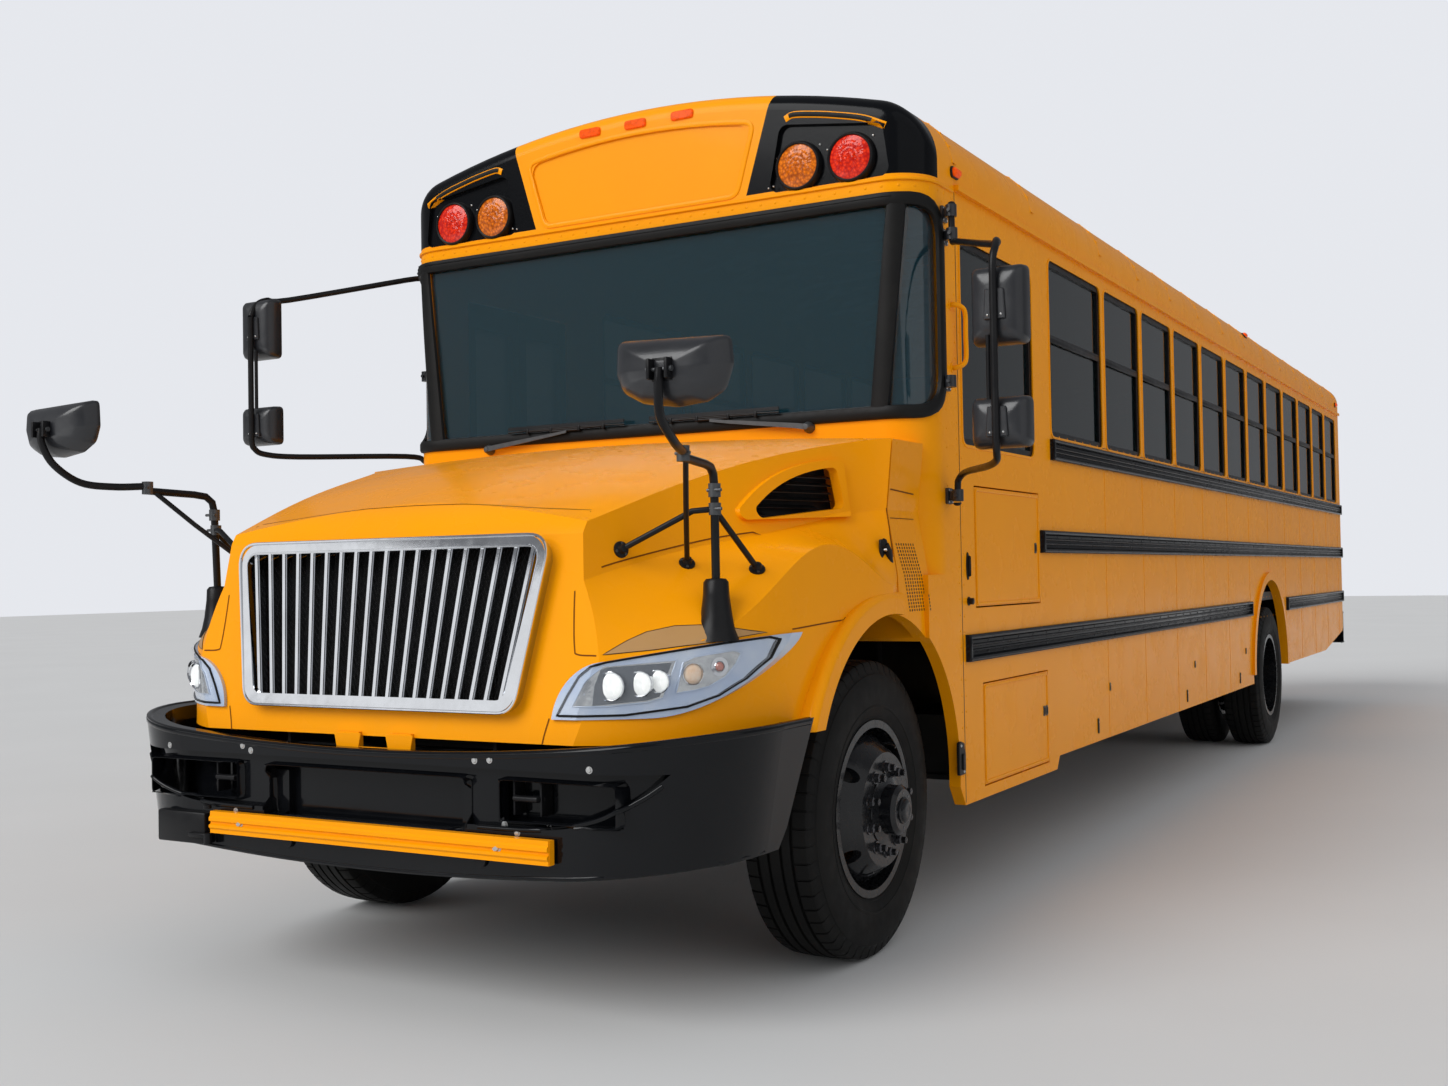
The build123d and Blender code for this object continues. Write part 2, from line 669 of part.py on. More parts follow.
# Roof between the end caps, with a drip rail on each side and two hatch openings on raised rims.
# Seams part it into three long panels and, round each hatch, two side panels and two short ends.
GUTTER_W = 20
GUTTER_H = 22
RIM_H = 20
ROOF_Z = (GUTTER_Z, CROWN_Z + RIM_H)
with BuildPart() as roof:
    extrude(cross_section(REAR_SEAM, GUTTER_Z, 0), amount=REAR_SEAM - FRONT_SEAM)
    for x in sides((HALF - WALL, HALF + GUTTER_W)):
        span(x, (FRONT_SEAM, REAR_SEAM), (GUTTER_Z, GUTTER_Z + GUTTER_H))
    extrude(cross_section(REAR_SEAM, GUTTER_Z, WALL), amount=REAR_SEAM - FRONT_SEAM, mode=Mode.SUBTRACT)
    rim = HATCH / 2 + HATCH_RIM
    for station in HATCH_STATIONS:
        span((-rim, rim), (station - rim, station + rim), (CROWN_Z - WALL - RIM_H, CROWN_Z + RIM_H))
        span((-HATCH / 2, HATCH / 2), (station - HATCH / 2, station + HATCH / 2),
             (CROWN_Z - 2 * WALL, CROWN_Z + 2 * RIM_H), Mode.SUBTRACT)
    for station in HATCH_STATIONS:
        for edge in (station - rim - SEAM, station + rim):
            span((-HALF - GUTTER_W, HALF + GUTTER_W), (edge, edge + SEAM), ROOF_Z, Mode.SUBTRACT)
        for x in sides((HATCH / 2 - SEAM, HATCH / 2)):
            span(x, (station - rim, station + rim), ROOF_Z, Mode.SUBTRACT)
save(roof.part, "roof")

# Front cap above the windshield, with a hollow for each pair of warning lamps and a panel between
LAMP_Z = 2850
LAMP_R = 84
LAMP_DEEP = 24
AMBER_X = 725
RED_X = 943
CAP_EDGE_R = 70
RECESS = 20
RECESS_R = 36
RECESS_CORNERS = [(598, 2760), (652, 3018), (1072, 2958), (1098, 2760)]
PANEL_DEEP = 7
PANEL_R = 45
PANEL_X = (448, 528)
PANEL_Z = (2782, 3036, 3082)


def hollow(outline, radius, deep):
    """A rounded hollow in the cap's face, from an outline in the front view."""
    with BuildPart() as cut:
        with BuildSketch(Plane.XZ.offset(-y_at(BODY_FRONT + deep))) as face:
            add(outline)
            fillet(face.vertices(), radius)
        extrude(amount=deep + CUT)
    return cut.part


BROW_UP = 200            # the cap's front edges above this height over the drip rail are rolled
BROW_BACK = 60
with BuildSketch() as cap_panel:
    with BuildLine():
        low_left, low_right = (-PANEL_X[0], PANEL_Z[0]), (PANEL_X[0], PANEL_Z[0])
        high_left, high_right = (-PANEL_X[1], PANEL_Z[1]), (PANEL_X[1], PANEL_Z[1])
        Polyline(high_right, low_right, low_left, high_left)
        ThreePointArc(high_left, (0, PANEL_Z[2]), high_right)
    make_face()
with BuildPart() as front_cap:
    add(end_form(BODY_FRONT, FRONT_SEAM, GUTTER_Z, 0, FRONT_CORNER_R))
    high = [e for e in front_cap.edges() if e.center().Z > GUTTER_Z + BROW_UP]
    fillet([e for e in high if e.center().Y < y_at(BODY_FRONT + BROW_BACK)], CAP_EDGE_R)
    add(end_form(BODY_FRONT, FRONT_SEAM, GUTTER_Z, WALL, FRONT_CORNER_R), mode=Mode.SUBTRACT)
    for side in (1, -1):
        with BuildSketch() as lamp_recess:
            with BuildLine():
                Polyline(*[(side * x, z) for x, z in RECESS_CORNERS], close=True)
            make_face()
        add(hollow(lamp_recess.sketch, RECESS_R, RECESS), mode=Mode.SUBTRACT)
    add(hollow(cap_panel.sketch, PANEL_R, PANEL_DEEP), mode=Mode.SUBTRACT)
save(front_cap.part, "front_cap")


def glazing():
    """The windshield's opening, across the front and round both corners, less its two slanted posts."""
    ahead = BODY_FRONT - 2 * QUARTER_R
    with BuildPart() as opening:
        add(side_cut((-HALF - CUT, HALF + CUT), (ahead, QUARTER_REAR), WINDSHIELD_Z, QUARTER_R))
        for side in (1, -1):
            halves = (-POST_W / 2, POST_W / 2)
            foot = [(side * (POST_X[0] + half), WINDSHIELD_Z[0] - POST_LAP) for half in halves]
            head = [(side * (POST_X[1] - half), WINDSHIELD_Z[1] + POST_LAP) for half in halves]
            add(front_plate(foot + head, (ahead - SEAM, QUARTER_REAR)), mode=Mode.SUBTRACT)
    return opening.part


# Cowl: the front shell round the windshield, and the hoop that carries the hood's last section back to it
COWL_HOOP = HOOD_SECTIONS[-1][1:]
COWL_SIDE = [
    # station, height
    (BODY_FRONT, COWL_SIDE_Z), (FRONT_SEAM, FRONT_SKIRT_Z), (FRONT_SEAM, COWL_SIDE_TOP),
    (BODY_FRONT, COWL_SIDE_TOP),
]
with BuildPart() as cowl:
    add(end_form(BODY_FRONT, FRONT_SEAM, FLOOR_Z - FLOOR_T, 0, FRONT_CORNER_R))
    extrude(hood_section((BODY_FRONT + WALL, *COWL_HOOP), FLOOR_Z - FLOOR_T, 0),
            amount=BODY_FRONT + WALL - COWL_FRONT)
    for x in sides((INNER, HALF)):
        add(side_plate(x, COWL_SIDE))
    hollow_hoop = hood_section((BODY_FRONT, *COWL_HOOP), 0, WALL)
    extrude(hollow_hoop, amount=BODY_FRONT - COWL_FRONT, mode=Mode.SUBTRACT)
    span((-INNER, INNER), (COWL_FRONT, FRONT_SEAM), (0, FLOOR_Z - FLOOR_T), Mode.SUBTRACT)
    add(end_form(BODY_FRONT, FRONT_SEAM, FLOOR_Z - FLOOR_T, WALL, FRONT_CORNER_R), mode=Mode.SUBTRACT)
    span((-HALF, HALF), (BODY_FRONT, FRONT_SEAM), (GUTTER_Z, CROWN_Z), Mode.SUBTRACT)
    add(glazing(), mode=Mode.SUBTRACT)
    arch = cross_cylinder((-HALF - CUT_SIDE, HALF + CUT_SIDE), 0, FRONT_ARCH_Z, FRONT_ARCH_R)
    add(arch, mode=Mode.SUBTRACT)
save(cowl.part, "cowl")

# Windshield: a flat pane and two corner panes, cut from a thin shell inside the body's face
with BuildPart() as glass_shell:
    add(end_form(BODY_FRONT, FRONT_SEAM, FLOOR_Z, WINDSHIELD_INSET, FRONT_CORNER_R))
    inside = end_form(BODY_FRONT, FRONT_SEAM, FLOOR_Z, WINDSHIELD_INSET + GLASS_T, FRONT_CORNER_R)
    add(inside, mode=Mode.SUBTRACT)
panes = glazing().solids().sort_by(Axis.X)
with BuildPart() as corner_pane:
    add(glass_shell.part)
    add(panes[-1], mode=Mode.INTERSECT)
with BuildPart() as windshield:
    add(glass_shell.part)
    add(panes[1], mode=Mode.INTERSECT)
    add(corner_pane.part)
    mirror(corner_pane.part, about=Plane.YZ)
save(windshield.part, "windshield")

# Rear wall: rounded end with the emergency door's opening and two windows
REAR_WINDOW_X = (600, 1060)
REAR_WINDOW_Z = (1900, 2540)
with BuildPart() as rear_wall:
    add(end_form(BODY_REAR, REAR_SEAM, TAIL_END_Z, 0, REAR_CORNER_R))
    add(end_form(BODY_REAR, REAR_SEAM, TAIL_END_Z, WALL, REAR_CORNER_R), mode=Mode.SUBTRACT)
    span((-REAR_DOOR_HALF, REAR_DOOR_HALF), (REAR_SEAM, BODY_REAR), REAR_DOOR_Z, Mode.SUBTRACT)
    for x in sides(REAR_WINDOW_X):
        span(x, (REAR_SEAM, BODY_REAR), REAR_WINDOW_Z, Mode.SUBTRACT)
save(rear_wall.part, "rear_wall")

# Window sashes with their cross bar, and the panes they hold
SASH_INSET = 6


def sash(side, stations, z, bar):
    x = sorted((side * (HALF - SASH_INSET - SASH_DEEP), side * (HALF - SASH_INSET)))
    inner = (stations[0] + SASH, stations[1] - SASH)
    inner_z = (z[0] + SASH, z[1] - SASH)
    bar_z = z[0] + (z[1] - z[0]) * bar
    with BuildPart() as ring:
        add(side_cut(x, stations, z, WINDOW_R))
        span(x, inner, inner_z, Mode.SUBTRACT)
        if bar:
            span(x, inner, (bar_z - SASH / 2, bar_z + SASH / 2))
    return ring.part


def pane(side, stations, z, bar):
    middle = side * (HALF - SASH_INSET - SASH_DEEP / 2)
    x = (middle - GLASS_T / 2, middle + GLASS_T / 2)
    inner = (stations[0] + SASH, stations[1] - SASH)
    bar_z = z[0] + (z[1] - z[0]) * bar
    heights = ((z[0] + SASH, bar_z - SASH / 2), (bar_z + SASH / 2, z[1] - SASH)) if bar else (
        (z[0] + SASH, z[1] - SASH),)
    with BuildPart() as glass:
        for height in heights:
            span(x, inner, height)
    return glass.part


SASHES = [(side, window, WINDOW_Z, SASH_BAR) for side in (1, -1) for window in WINDOWS]
SASHES.append((1, DRIVER_WINDOW, DRIVER_WINDOW_Z, 0))
with BuildPart() as window_frames:
    for each in SASHES:
        add(sash(*each))
save(window_frames.part, "window_frames")
REAR_GLASS_INSET = 30
with BuildPart() as window_glass:
    for each in SASHES:
        add(pane(*each))
    for x in sides(REAR_WINDOW_X):
        span(x, (BODY_REAR - REAR_GLASS_INSET, BODY_REAR - REAR_GLASS_INSET + GLASS_T), REAR_WINDOW_Z)
save(window_glass.part, "window_glass")

# Rub rails with shallow grooves
RUB_GROOVES = 3
RUB_ARCH_GAP = 10            # between a rail's end and the flare over the rear wheel
with BuildPart() as rub_rails:
    for low, high, start_left, start_right in RUB_RAILS:
        crosses_arch = low < REAR_ARCH_Z + REAR_ARCH_R + FLARE_W
        reach = REAR_ARCH_R + FLARE_W + RUB_ARCH_GAP
        for side, start in ((1, start_left), (-1, start_right)):
            runs = [(start, REAR_SEAM)]
            if crosses_arch:
                runs = [(start, WHEELBASE - reach), (WHEELBASE + reach, REAR_SEAM)]
            x = sorted((side * HALF, side * (HALF + RUB_T)))
            face = side * (HALF + RUB_T)
            for run in runs:
                span(x, run, (low, high))
                step = (high - low) / (2 * RUB_GROOVES + 1)
                for i in range(RUB_GROOVES):
                    groove = sorted((face, face - side * RUB_GROOVE))
                    start_z = low + (2 * i + 1) * step
                    span(groove, run, (start_z, start_z + step), Mode.SUBTRACT)
save(rub_rails.part, "rub_rails")

# Bench seats on frames, the driver's seat and the barriers
SEAT_X = (INNER - SEAT_GAP - SEAT_W, INNER - SEAT_GAP)
CUSHION_Z = (FLOOR_Z + CUSHION_TOP - CUSHION_T, FLOOR_Z + CUSHION_TOP)
BACK_START = CUSHION_D + 5
SEAT_BAR = 30
SEAT_BARS = (60, 340)        # stations of the two cross bars under a cushion
WALL_BAR = 20
DRIVER_HALF = 240
DRIVER_BASE = ((1180, 1640), (FLOOR_Z + 420, FLOOR_Z + 520))
DRIVER_BACK = ((1645, 1745), (FLOOR_Z + 420, FLOOR_Z + 1120))
PEDESTAL_HALF = 130
PEDESTAL = (1280, 1560)
DRIVER_X = 640
with BuildPart() as seat_pads:
    for row in range(SEAT_ROWS):
        start = SEAT_START + row * WINDOW_PITCH
        for x in sides(SEAT_X):
            span(x, (start, start + CUSHION_D), CUSHION_Z)
            span(x, (start + BACK_START, start + BACK_START + BACK_T), (CUSHION_Z[0], CUSHION_Z[1] + BACK_H))
    for stations, heights in (DRIVER_BASE, DRIVER_BACK):
        span((DRIVER_X - DRIVER_HALF, DRIVER_X + DRIVER_HALF), stations, heights)
save(seat_pads.part, "seat_pads")
with BuildPart() as seat_frames:
    for row in range(SEAT_ROWS):
        start = SEAT_START + row * WINDOW_PITCH
        for x in sides(SEAT_X):
            inner_leg = x[0] if x[0] > 0 else x[1] - SEAT_BAR
            bar_z = (CUSHION_Z[0] - SEAT_BAR, CUSHION_Z[0])
            for bar in SEAT_BARS:
                stations = (start + bar, start + bar + SEAT_BAR)
                span(x, stations, bar_z)
                span((inner_leg, inner_leg + SEAT_BAR), stations, (FLOOR_Z, bar_z[0]))
            wall = x[1] - WALL_BAR if x[0] > 0 else x[0]
            span((wall, wall + WALL_BAR), (start + SEAT_BARS[0] + SEAT_BAR, start + SEAT_BARS[1]), bar_z)
    span((DRIVER_X - PEDESTAL_HALF, DRIVER_X + PEDESTAL_HALF), PEDESTAL, (FLOOR_Z, DRIVER_BASE[1][0]))
save(seat_frames.part, "seat_frames")

# Dashboard with the steering column and wheel
DASH_HALF = HALF - FRONT_CORNER_R - 20
DASH_REAR = 620
DASH_Z = (1420, 1800)
STEER_PLACE = (900, 1840)    # station and height of the steering wheel's centre
STEER_LEAN = (0.6, 0.8)      # how its axis runs back and up
STEER_R = (218, 245)
STEER_T = 26
STEER_SPOKE = (460, 36, 14)  # length, width, thickness
STEER_HUB_R = 60
STEER_HUB_T = 40
COLUMN_R = 30
COLUMN_L = 480
STEER_LEVELS = (-60, -50, -45)   # hub, ring and spokes along the wheel's axis
with BuildPart() as dashboard:
    span((-DASH_HALF, DASH_HALF), (BODY_FRONT + WALL, DASH_REAR), DASH_Z)
    wheel_plane = Plane(origin=(DRIVER_X, y_at(STEER_PLACE[0]), STEER_PLACE[1]), x_dir=(1, 0, 0),
                        z_dir=(0, *STEER_LEAN))
    with BuildSketch(wheel_plane.offset(STEER_LEVELS[0])):
        Circle(COLUMN_R)
    extrude(amount=-COLUMN_L)
    with BuildSketch(wheel_plane.offset(STEER_LEVELS[0])):
        Circle(STEER_HUB_R)
    extrude(amount=STEER_HUB_T)
    with BuildSketch(wheel_plane.offset(STEER_LEVELS[2])):
        Rectangle(STEER_SPOKE[0], STEER_SPOKE[1])
        Rectangle(STEER_SPOKE[1], STEER_SPOKE[0])
    extrude(amount=STEER_SPOKE[2])
    with BuildSketch(wheel_plane.offset(STEER_LEVELS[1])):
        Circle(STEER_R[1])
        Circle(STEER_R[0], mode=Mode.SUBTRACT)
    extrude(amount=STEER_T)
save(dashboard.part, "dashboard")

# Knuckles: a yoke round the axle's eye, its kingpin and the spindle
YOKE_H = 150
YOKE_IN = EYE_R + 22
YOKE_WEB_T = 30
YOKE_WEB_HALF = 60
YOKE_EAR_HALF = 45
YOKE_GAP = 5                 # between the yoke's ears and the axle's eye
SPINDLE_SHORT = 45           # from the spindle's end to the wheel's face


def knuckle(side):
    web_x = (KINGPIN_X + YOKE_IN, KINGPIN_X + YOKE_IN + YOKE_WEB_T)
    web = sorted(side * x for x in web_x)
    ear = sorted(side * x for x in (KINGPIN_X - YOKE_EAR_HALF, web_x[1]))
    spindle = sorted(side * x for x in (web_x[1], FRONT_TRACK / 2 + WHEEL_OFFSET - SPINDLE_SHORT))
    with BuildPart() as yoke:
        span(web, (-YOKE_WEB_HALF, YOKE_WEB_HALF), (TYRE_R - YOKE_H, TYRE_R + YOKE_H))
        for low in (TYRE_R + EYE_H / 2 + YOKE_GAP, TYRE_R - YOKE_H):
            span(ear, (-YOKE_EAR_HALF, YOKE_EAR_HALF), (low, low + YOKE_H - EYE_H / 2 - YOKE_GAP))
        with BuildSketch(Plane.XY.offset(TYRE_R - YOKE_H)):
            with Locations((side * KINGPIN_X, y_at(0))):
                Circle(KINGPIN_R)
        extrude(amount=2 * YOKE_H)
        add(cross_cylinder(spindle, 0, TYRE_R, SPINDLE_R))
    return yoke.part


for side, name in ((1, "knuckle_left"), (-1, "knuckle_right")):
    save(knuckle(side), name)

# Tyres: distance from the centre plane, radius
HALF_TREAD = TYRE_W / 2
TREAD_EDGE = 22
SHOULDER = 50
SIDEWALL = (70, 75)          # bead to the widest point, and the widest point to the tread
BEAD = 14
HALF_TYRE = [
    (RIM_W / 2, RIM_R), (RIM_W / 2, RIM_R + BEAD), (HALF_TREAD, RIM_R + SIDEWALL[0]),
    (HALF_TREAD, TYRE_R - SIDEWALL[1]), (HALF_TREAD - TREAD_EDGE, TYRE_R - BEAD),
    (HALF_TREAD - SHOULDER, TYRE_R),
]
TYRE_PROFILE = [(-a, r) for a, r in HALF_TYRE] + HALF_TYRE[::-1]
# Rim: distance outwards from its centre plane, radius
LIP = 8
RIM_T = 12
RIM_PROFILE = [
    (-RIM_W / 2 - LIP, RIM_R + BEAD), (-RIM_W / 2, RIM_R + BEAD), (-RIM_W / 2, RIM_R), (RIM_W / 2, RIM_R),
    (RIM_W / 2, RIM_R + BEAD), (RIM_W / 2 + LIP, RIM_R + BEAD), (RIM_W / 2 + LIP, RIM_R - RIM_T),
    (-RIM_W / 2 - LIP, RIM_R - RIM_T),
]
DISC_T = 14
DISC_ROOT = (20, 50)         # where the disc meets the rim, from the rim's centre plane
DISC_KNEE = (40, 225)        # back from the flat face, radius
DISC_FLAT_R = 192
HUB_R = 84
HUB_REACH = 66
HUB_CHAMFER = 13
HUB_BACK = 110
HUB_CAP_T = 20
HAND_HOLES = 5
HAND_HOLE_R = 26
HAND_HOLE_CIRCLE = 232
REAR_HUB_R = 110
REAR_HUB_REACH = 150
REAR_HUB_BORE = 76


def disc_profile(face, inner):
    """The dished disc from the rim to its flat face, with a hole of the inner radius in the middle."""
    root, front = DISC_ROOT
    return [
        (root, RIM_R - LIP), (front, RIM_R - LIP), (face - DISC_KNEE[0], DISC_KNEE[1]), (face, DISC_FLAT_R),
        (face, inner), (face - DISC_T, inner), (face - DISC_T, DISC_FLAT_R - LIP),
        (face - DISC_KNEE[0] - DISC_T, DISC_KNEE[1] - RIM_T), (front - DISC_T, RIM_R - 3 * RIM_T),
        (root, RIM_R - 3 * RIM_T),
    ]


def rim_and_disc(x, side, station, face, inner):
    """A rim with its disc. Side tells which way the disc stands out, face how far."""
    plane = Plane(origin=(x, y_at(station), TYRE_R), x_dir=(0, 1, 0), z_dir=(side, 0, 0))
    with BuildPart() as piece:
        add(turned((x, side), station, TYRE_R, RIM_PROFILE))
        add(turned((x, side), station, TYRE_R, disc_profile(face, inner)))
        with BuildSketch(plane):
            with PolarLocations(HAND_HOLE_CIRCLE, HAND_HOLES):
                Circle(HAND_HOLE_R)
        extrude(amount=face, mode=Mode.SUBTRACT)
    return piece.part


def studs(x, side, station):
    """The wheel studs, standing out from x."""
    plane = Plane(origin=(x, y_at(station), TYRE_R), x_dir=(0, 1, 0), z_dir=(side, 0, 0))
    with BuildPart() as piece:
        with BuildSketch(plane):
            with PolarLocations(STUD_CIRCLE_R, STUD_COUNT, start_angle=180 / STUD_COUNT):
                Circle(STUD_R)
        extrude(amount=STUD_L)
    return piece.part


FRONT_HUB = [
    # distance outwards from the disc's flat face, radius
    (-HUB_BACK, HUB_R), (HUB_REACH - HUB_CHAMFER, HUB_R), (HUB_REACH, HUB_R - HUB_CHAMFER), (HUB_REACH, 0),
    (HUB_REACH - HUB_CAP_T, 0), (HUB_REACH - HUB_CAP_T, SPINDLE_R + LIP), (-HUB_BACK, SPINDLE_R + LIP),
]
REAR_HUB = [
    # distance outwards from the two discs' meeting plane, radius
    (-HUB_CAP_T, REAR_HUB_R), (REAR_HUB_REACH - HUB_CAP_T, REAR_HUB_R),
    (REAR_HUB_REACH, REAR_HUB_R - HUB_CAP_T), (REAR_HUB_REACH, 0),
    (REAR_HUB_REACH - HUB_CAP_T, 0), (REAR_HUB_REACH - HUB_CAP_T, REAR_HUB_BORE),
    (-HUB_CAP_T, REAR_HUB_BORE),
]
for side, name in ((1, "left"), (-1, "right")):
    centre = side * FRONT_TRACK / 2
    face = centre + side * WHEEL_OFFSET
    with BuildPart() as front_tyre:
        add(turned((centre, side), 0, TYRE_R, TYRE_PROFILE))
    save(front_tyre.part, f"front_{name}_tyre")
    with BuildPart() as front_wheel:
        add(rim_and_disc(centre, side, 0, WHEEL_OFFSET, HUB_R))
        add(turned((face, side), 0, TYRE_R, FRONT_HUB))
        add(studs(face, side, 0))
    save(front_wheel.part, f"front_{name}_wheel")
    outer = side * DUAL_OUTER_X
    inner = side * (DUAL_OUTER_X - DUAL_SPACING)
    meeting = (outer + inner) / 2
    with BuildPart() as rear_tyres:
        for x in (outer, inner):
            add(turned((x, side), WHEELBASE, TYRE_R, TYRE_PROFILE))
    save(rear_tyres.part, f"rear_{name}_tyres")
    with BuildPart() as rear_wheels:
        for x, out in ((outer, -side), (inner, side)):
            add(rim_and_disc(x, out, WHEELBASE, DUAL_SPACING / 2, REAR_HUB_R - LIP))
        add(turned((meeting, side), WHEELBASE, TYRE_R, REAR_HUB))
        add(studs(meeting + side * DISC_T, side, WHEELBASE))
    save(rear_wheels.part, f"rear_{name}_wheels")


def hood_form(inset):
    """Hood and wings as one solid, shrunk by inset, with the nose rolled back into the hood's top."""
    nose = [(NOSE_LOW_STATION + inset, HOOD_LOW - inset), (NOSE_HIGH_STATION + inset, NOSE_HIGH_Z - inset)]
    roll = (NOSE_ROLL[0] + inset, NOSE_ROLL[1] - inset)
    top = (NOSE_TOP[0] + inset, NOSE_TOP[1] - inset)
    with BuildPart() as form:
        for row in HOOD_SECTIONS:
            add(hood_section(row, HOOD_LOW, inset))
        loft()
        with BuildSketch(Plane.YZ.offset(-HALF)):
            with BuildLine():
                Line(*[(y_at(s), z) for s, z in nose])
                ThreePointArc(*[(y_at(s), z) for s, z in (nose[1], roll, top)])
                rear = HOOD_REAR + SEAM
                Polyline(*[(y_at(s), z) for s, z in (
                    top, (top[0], CROWN_Z), (rear, CROWN_Z), (rear, HOOD_LOW - inset), nose[0])])
            make_face()
        extrude(amount=2 * HALF, mode=Mode.INTERSECT)
    return form.part


def flare(side):
    """The rounded lip round a front wheel's arch, cut off where the hood ends."""
    x = sorted((side * FLARE_X[0], side * FLARE_X[1]))
    with BuildPart() as lip:
        add(cross_cylinder(x, 0, FRONT_ARCH_Z, FRONT_ARCH_R + FLARE_RING))
        outer = lip.edges().group_by(Axis.X)[-1 if side > 0 else 0]
        fillet(outer, FLARE_R)
        wide = (-2 * HALF, 2 * HALF)
        span(wide, (-2 * FRONT_ARCH_R, 2 * FRONT_ARCH_R), (-FRONT_ARCH_R, HOOD_LOW), Mode.SUBTRACT)
        span(wide, (HOOD_REAR, 2 * FRONT_ARCH_R), (-FRONT_ARCH_R, CROWN_Z), Mode.SUBTRACT)
    return lip.part


def vent(side, x, grow):
    """The vent's pointed opening in the side view, as a solid, made larger by grow."""
    tip = (y_at(VENT_TIP[0] - 2 * grow), VENT_TIP[1])
    top = (y_at(VENT_TOP[0] - grow / 2), VENT_TOP[1] + grow)
    rear = (y_at(VENT_REAR[0] + grow), VENT_REAR[1] + grow)
    foot = (y_at(VENT_FOOT[0] + grow), VENT_FOOT[1] - grow)
    with BuildPart() as form:
        with BuildSketch(Plane.YZ.offset(min(side * x[0], side * x[1]))) as outline:
            with BuildLine():
                ThreePointArc(tip, top, rear)
                Polyline(rear, foot, tip)
            make_face()
            fillet(outline.vertices(), VENT_R)
        extrude(amount=x[1] - x[0])
    return form.part


NOSE_RAKE = math.atan2(NOSE_HIGH_STATION - NOSE_LOW_STATION, NOSE_HIGH_Z - HOOD_LOW)
NOSE_PLANE = Plane(origin=(0, y_at(NOSE_LOW_STATION), HOOD_LOW), x_dir=(1, 0, 0),
                   z_dir=(0, -math.cos(NOSE_RAKE), math.sin(NOSE_RAKE)))
GRILLE_V = [(z - HOOD_LOW) / math.cos(NOSE_RAKE) for z in (GRILLE_LOW, GRILLE_HIGH)]
NOSE_CUT = 60


def grille_outline(inset):
    """The grille's shape on the nose: wide at the top, narrow at the bottom."""
    low, high = GRILLE_V[0] + inset, GRILLE_V[1] - inset
    with BuildSketch(NOSE_PLANE) as face:
        with BuildLine():
            Polyline((-GRILLE_HALF[0] + inset, low), (GRILLE_HALF[0] - inset, low),
                     (GRILLE_HALF[1] - inset, high), (-GRILLE_HALF[1] + inset, high), close=True)
        make_face()
        fillet(face.vertices(), GRILLE_CORNER_R - inset)
    return face.sketch


# Hood: a thin shell with the wheels' arches and lips, the grille's opening, the side vents and two tabs
with BuildPart() as hood:
    add(hood_form(0))
    for side in (1, -1):
        add(flare(side))
        with BuildPart(mode=Mode.PRIVATE) as vent_rim:
            add(hood_form(-VENT_PROUD))
            add(vent(side, VENT_X, VENT_RIM), mode=Mode.INTERSECT)
        add(vent_rim.part)
    add(hood_form(HOOD_SKIN), mode=Mode.SUBTRACT)
    for side, x in zip((1, -1), sides((FENDER_INNER, HALF + CUT_SIDE))):
        add(cross_cylinder(x, 0, FRONT_ARCH_Z, FRONT_ARCH_R), mode=Mode.SUBTRACT)
        add(vent(side, VENT_X, 0), mode=Mode.SUBTRACT)
    extrude(grille_outline(GRILLE_BAND - GRILLE_BAND_LIP), amount=-NOSE_CUT, mode=Mode.SUBTRACT)
    for x in sides(TAB_X):
        span(x, TAB_STATION, TAB_Z)
save(hood.part, "hood")

# Grille: a band round thin deep blades that draw together downwards, each with a narrower front edge
BLADE_PITCH = [2 * half / (GRILLE_BLADES + 1) for half in GRILLE_HALF]
BLADE_V = (GRILLE_V[0] + GRILLE_BAND / 2, GRILLE_V[1] - GRILLE_BAND / 2)
BLADE_STEPS = [
    # height above the nose, depth, width
    (0, BLADE_BACK, BLADE_W),
    (BLADE_BACK, BLADE_FRONT - BLADE_BACK, BLADE_W - BLADE_TAPER),
]
with BuildPart() as grille:
    extrude(grille_outline(0), amount=GRILLE_DEEP)
    extrude(grille_outline(GRILLE_BAND), amount=GRILLE_DEEP, mode=Mode.SUBTRACT)
    for i in range(GRILLE_BLADES):
        foot, head = [pitch * (i + 1) - half for pitch, half in zip(BLADE_PITCH, GRILLE_HALF)]
        for level, depth, width in BLADE_STEPS:
            with BuildSketch(NOSE_PLANE.offset(level)):
                with BuildLine():
                    Polyline((foot - width / 2, BLADE_V[0]), (foot + width / 2, BLADE_V[0]),
                             (head + width / 2, BLADE_V[1]), (head - width / 2, BLADE_V[1]), close=True)
                make_face()
            extrude(amount=depth)
save(grille.part, "grille")

# Headlamps: eye-shaped plates that follow the nose and the wings round the corners
LAMP_STATIONS = (-1300, -560)
with BuildPart() as headlamps:
    for side in (1, -1):
        with BuildSketch(Plane.XZ.offset(-y_at(LAMP_STATIONS[1]))):
            with BuildLine():
                ThreePointArc(*[(side * x, z) for x, z in (LAMP_INNER_LOW, LAMP_INNER_ARC, LAMP_INNER_TOP)])
                Line(*[(side * x, z) for x, z in (LAMP_INNER_TOP, LAMP_TIP)])
                ThreePointArc(*[(side * x, z) for x, z in (LAMP_TIP, LAMP_OUTER_ARC, LAMP_OUTER_LOW)])
                Line(*[(side * x, z) for x, z in (LAMP_OUTER_LOW, LAMP_INNER_LOW)])
            make_face()
        extrude(amount=LAMP_STATIONS[1] - LAMP_STATIONS[0])
    add(hood_form(-LAMP_PROUD), mode=Mode.INTERSECT)
    add(hood_form(0), mode=Mode.SUBTRACT)
save(headlamps.part, "headlamps")

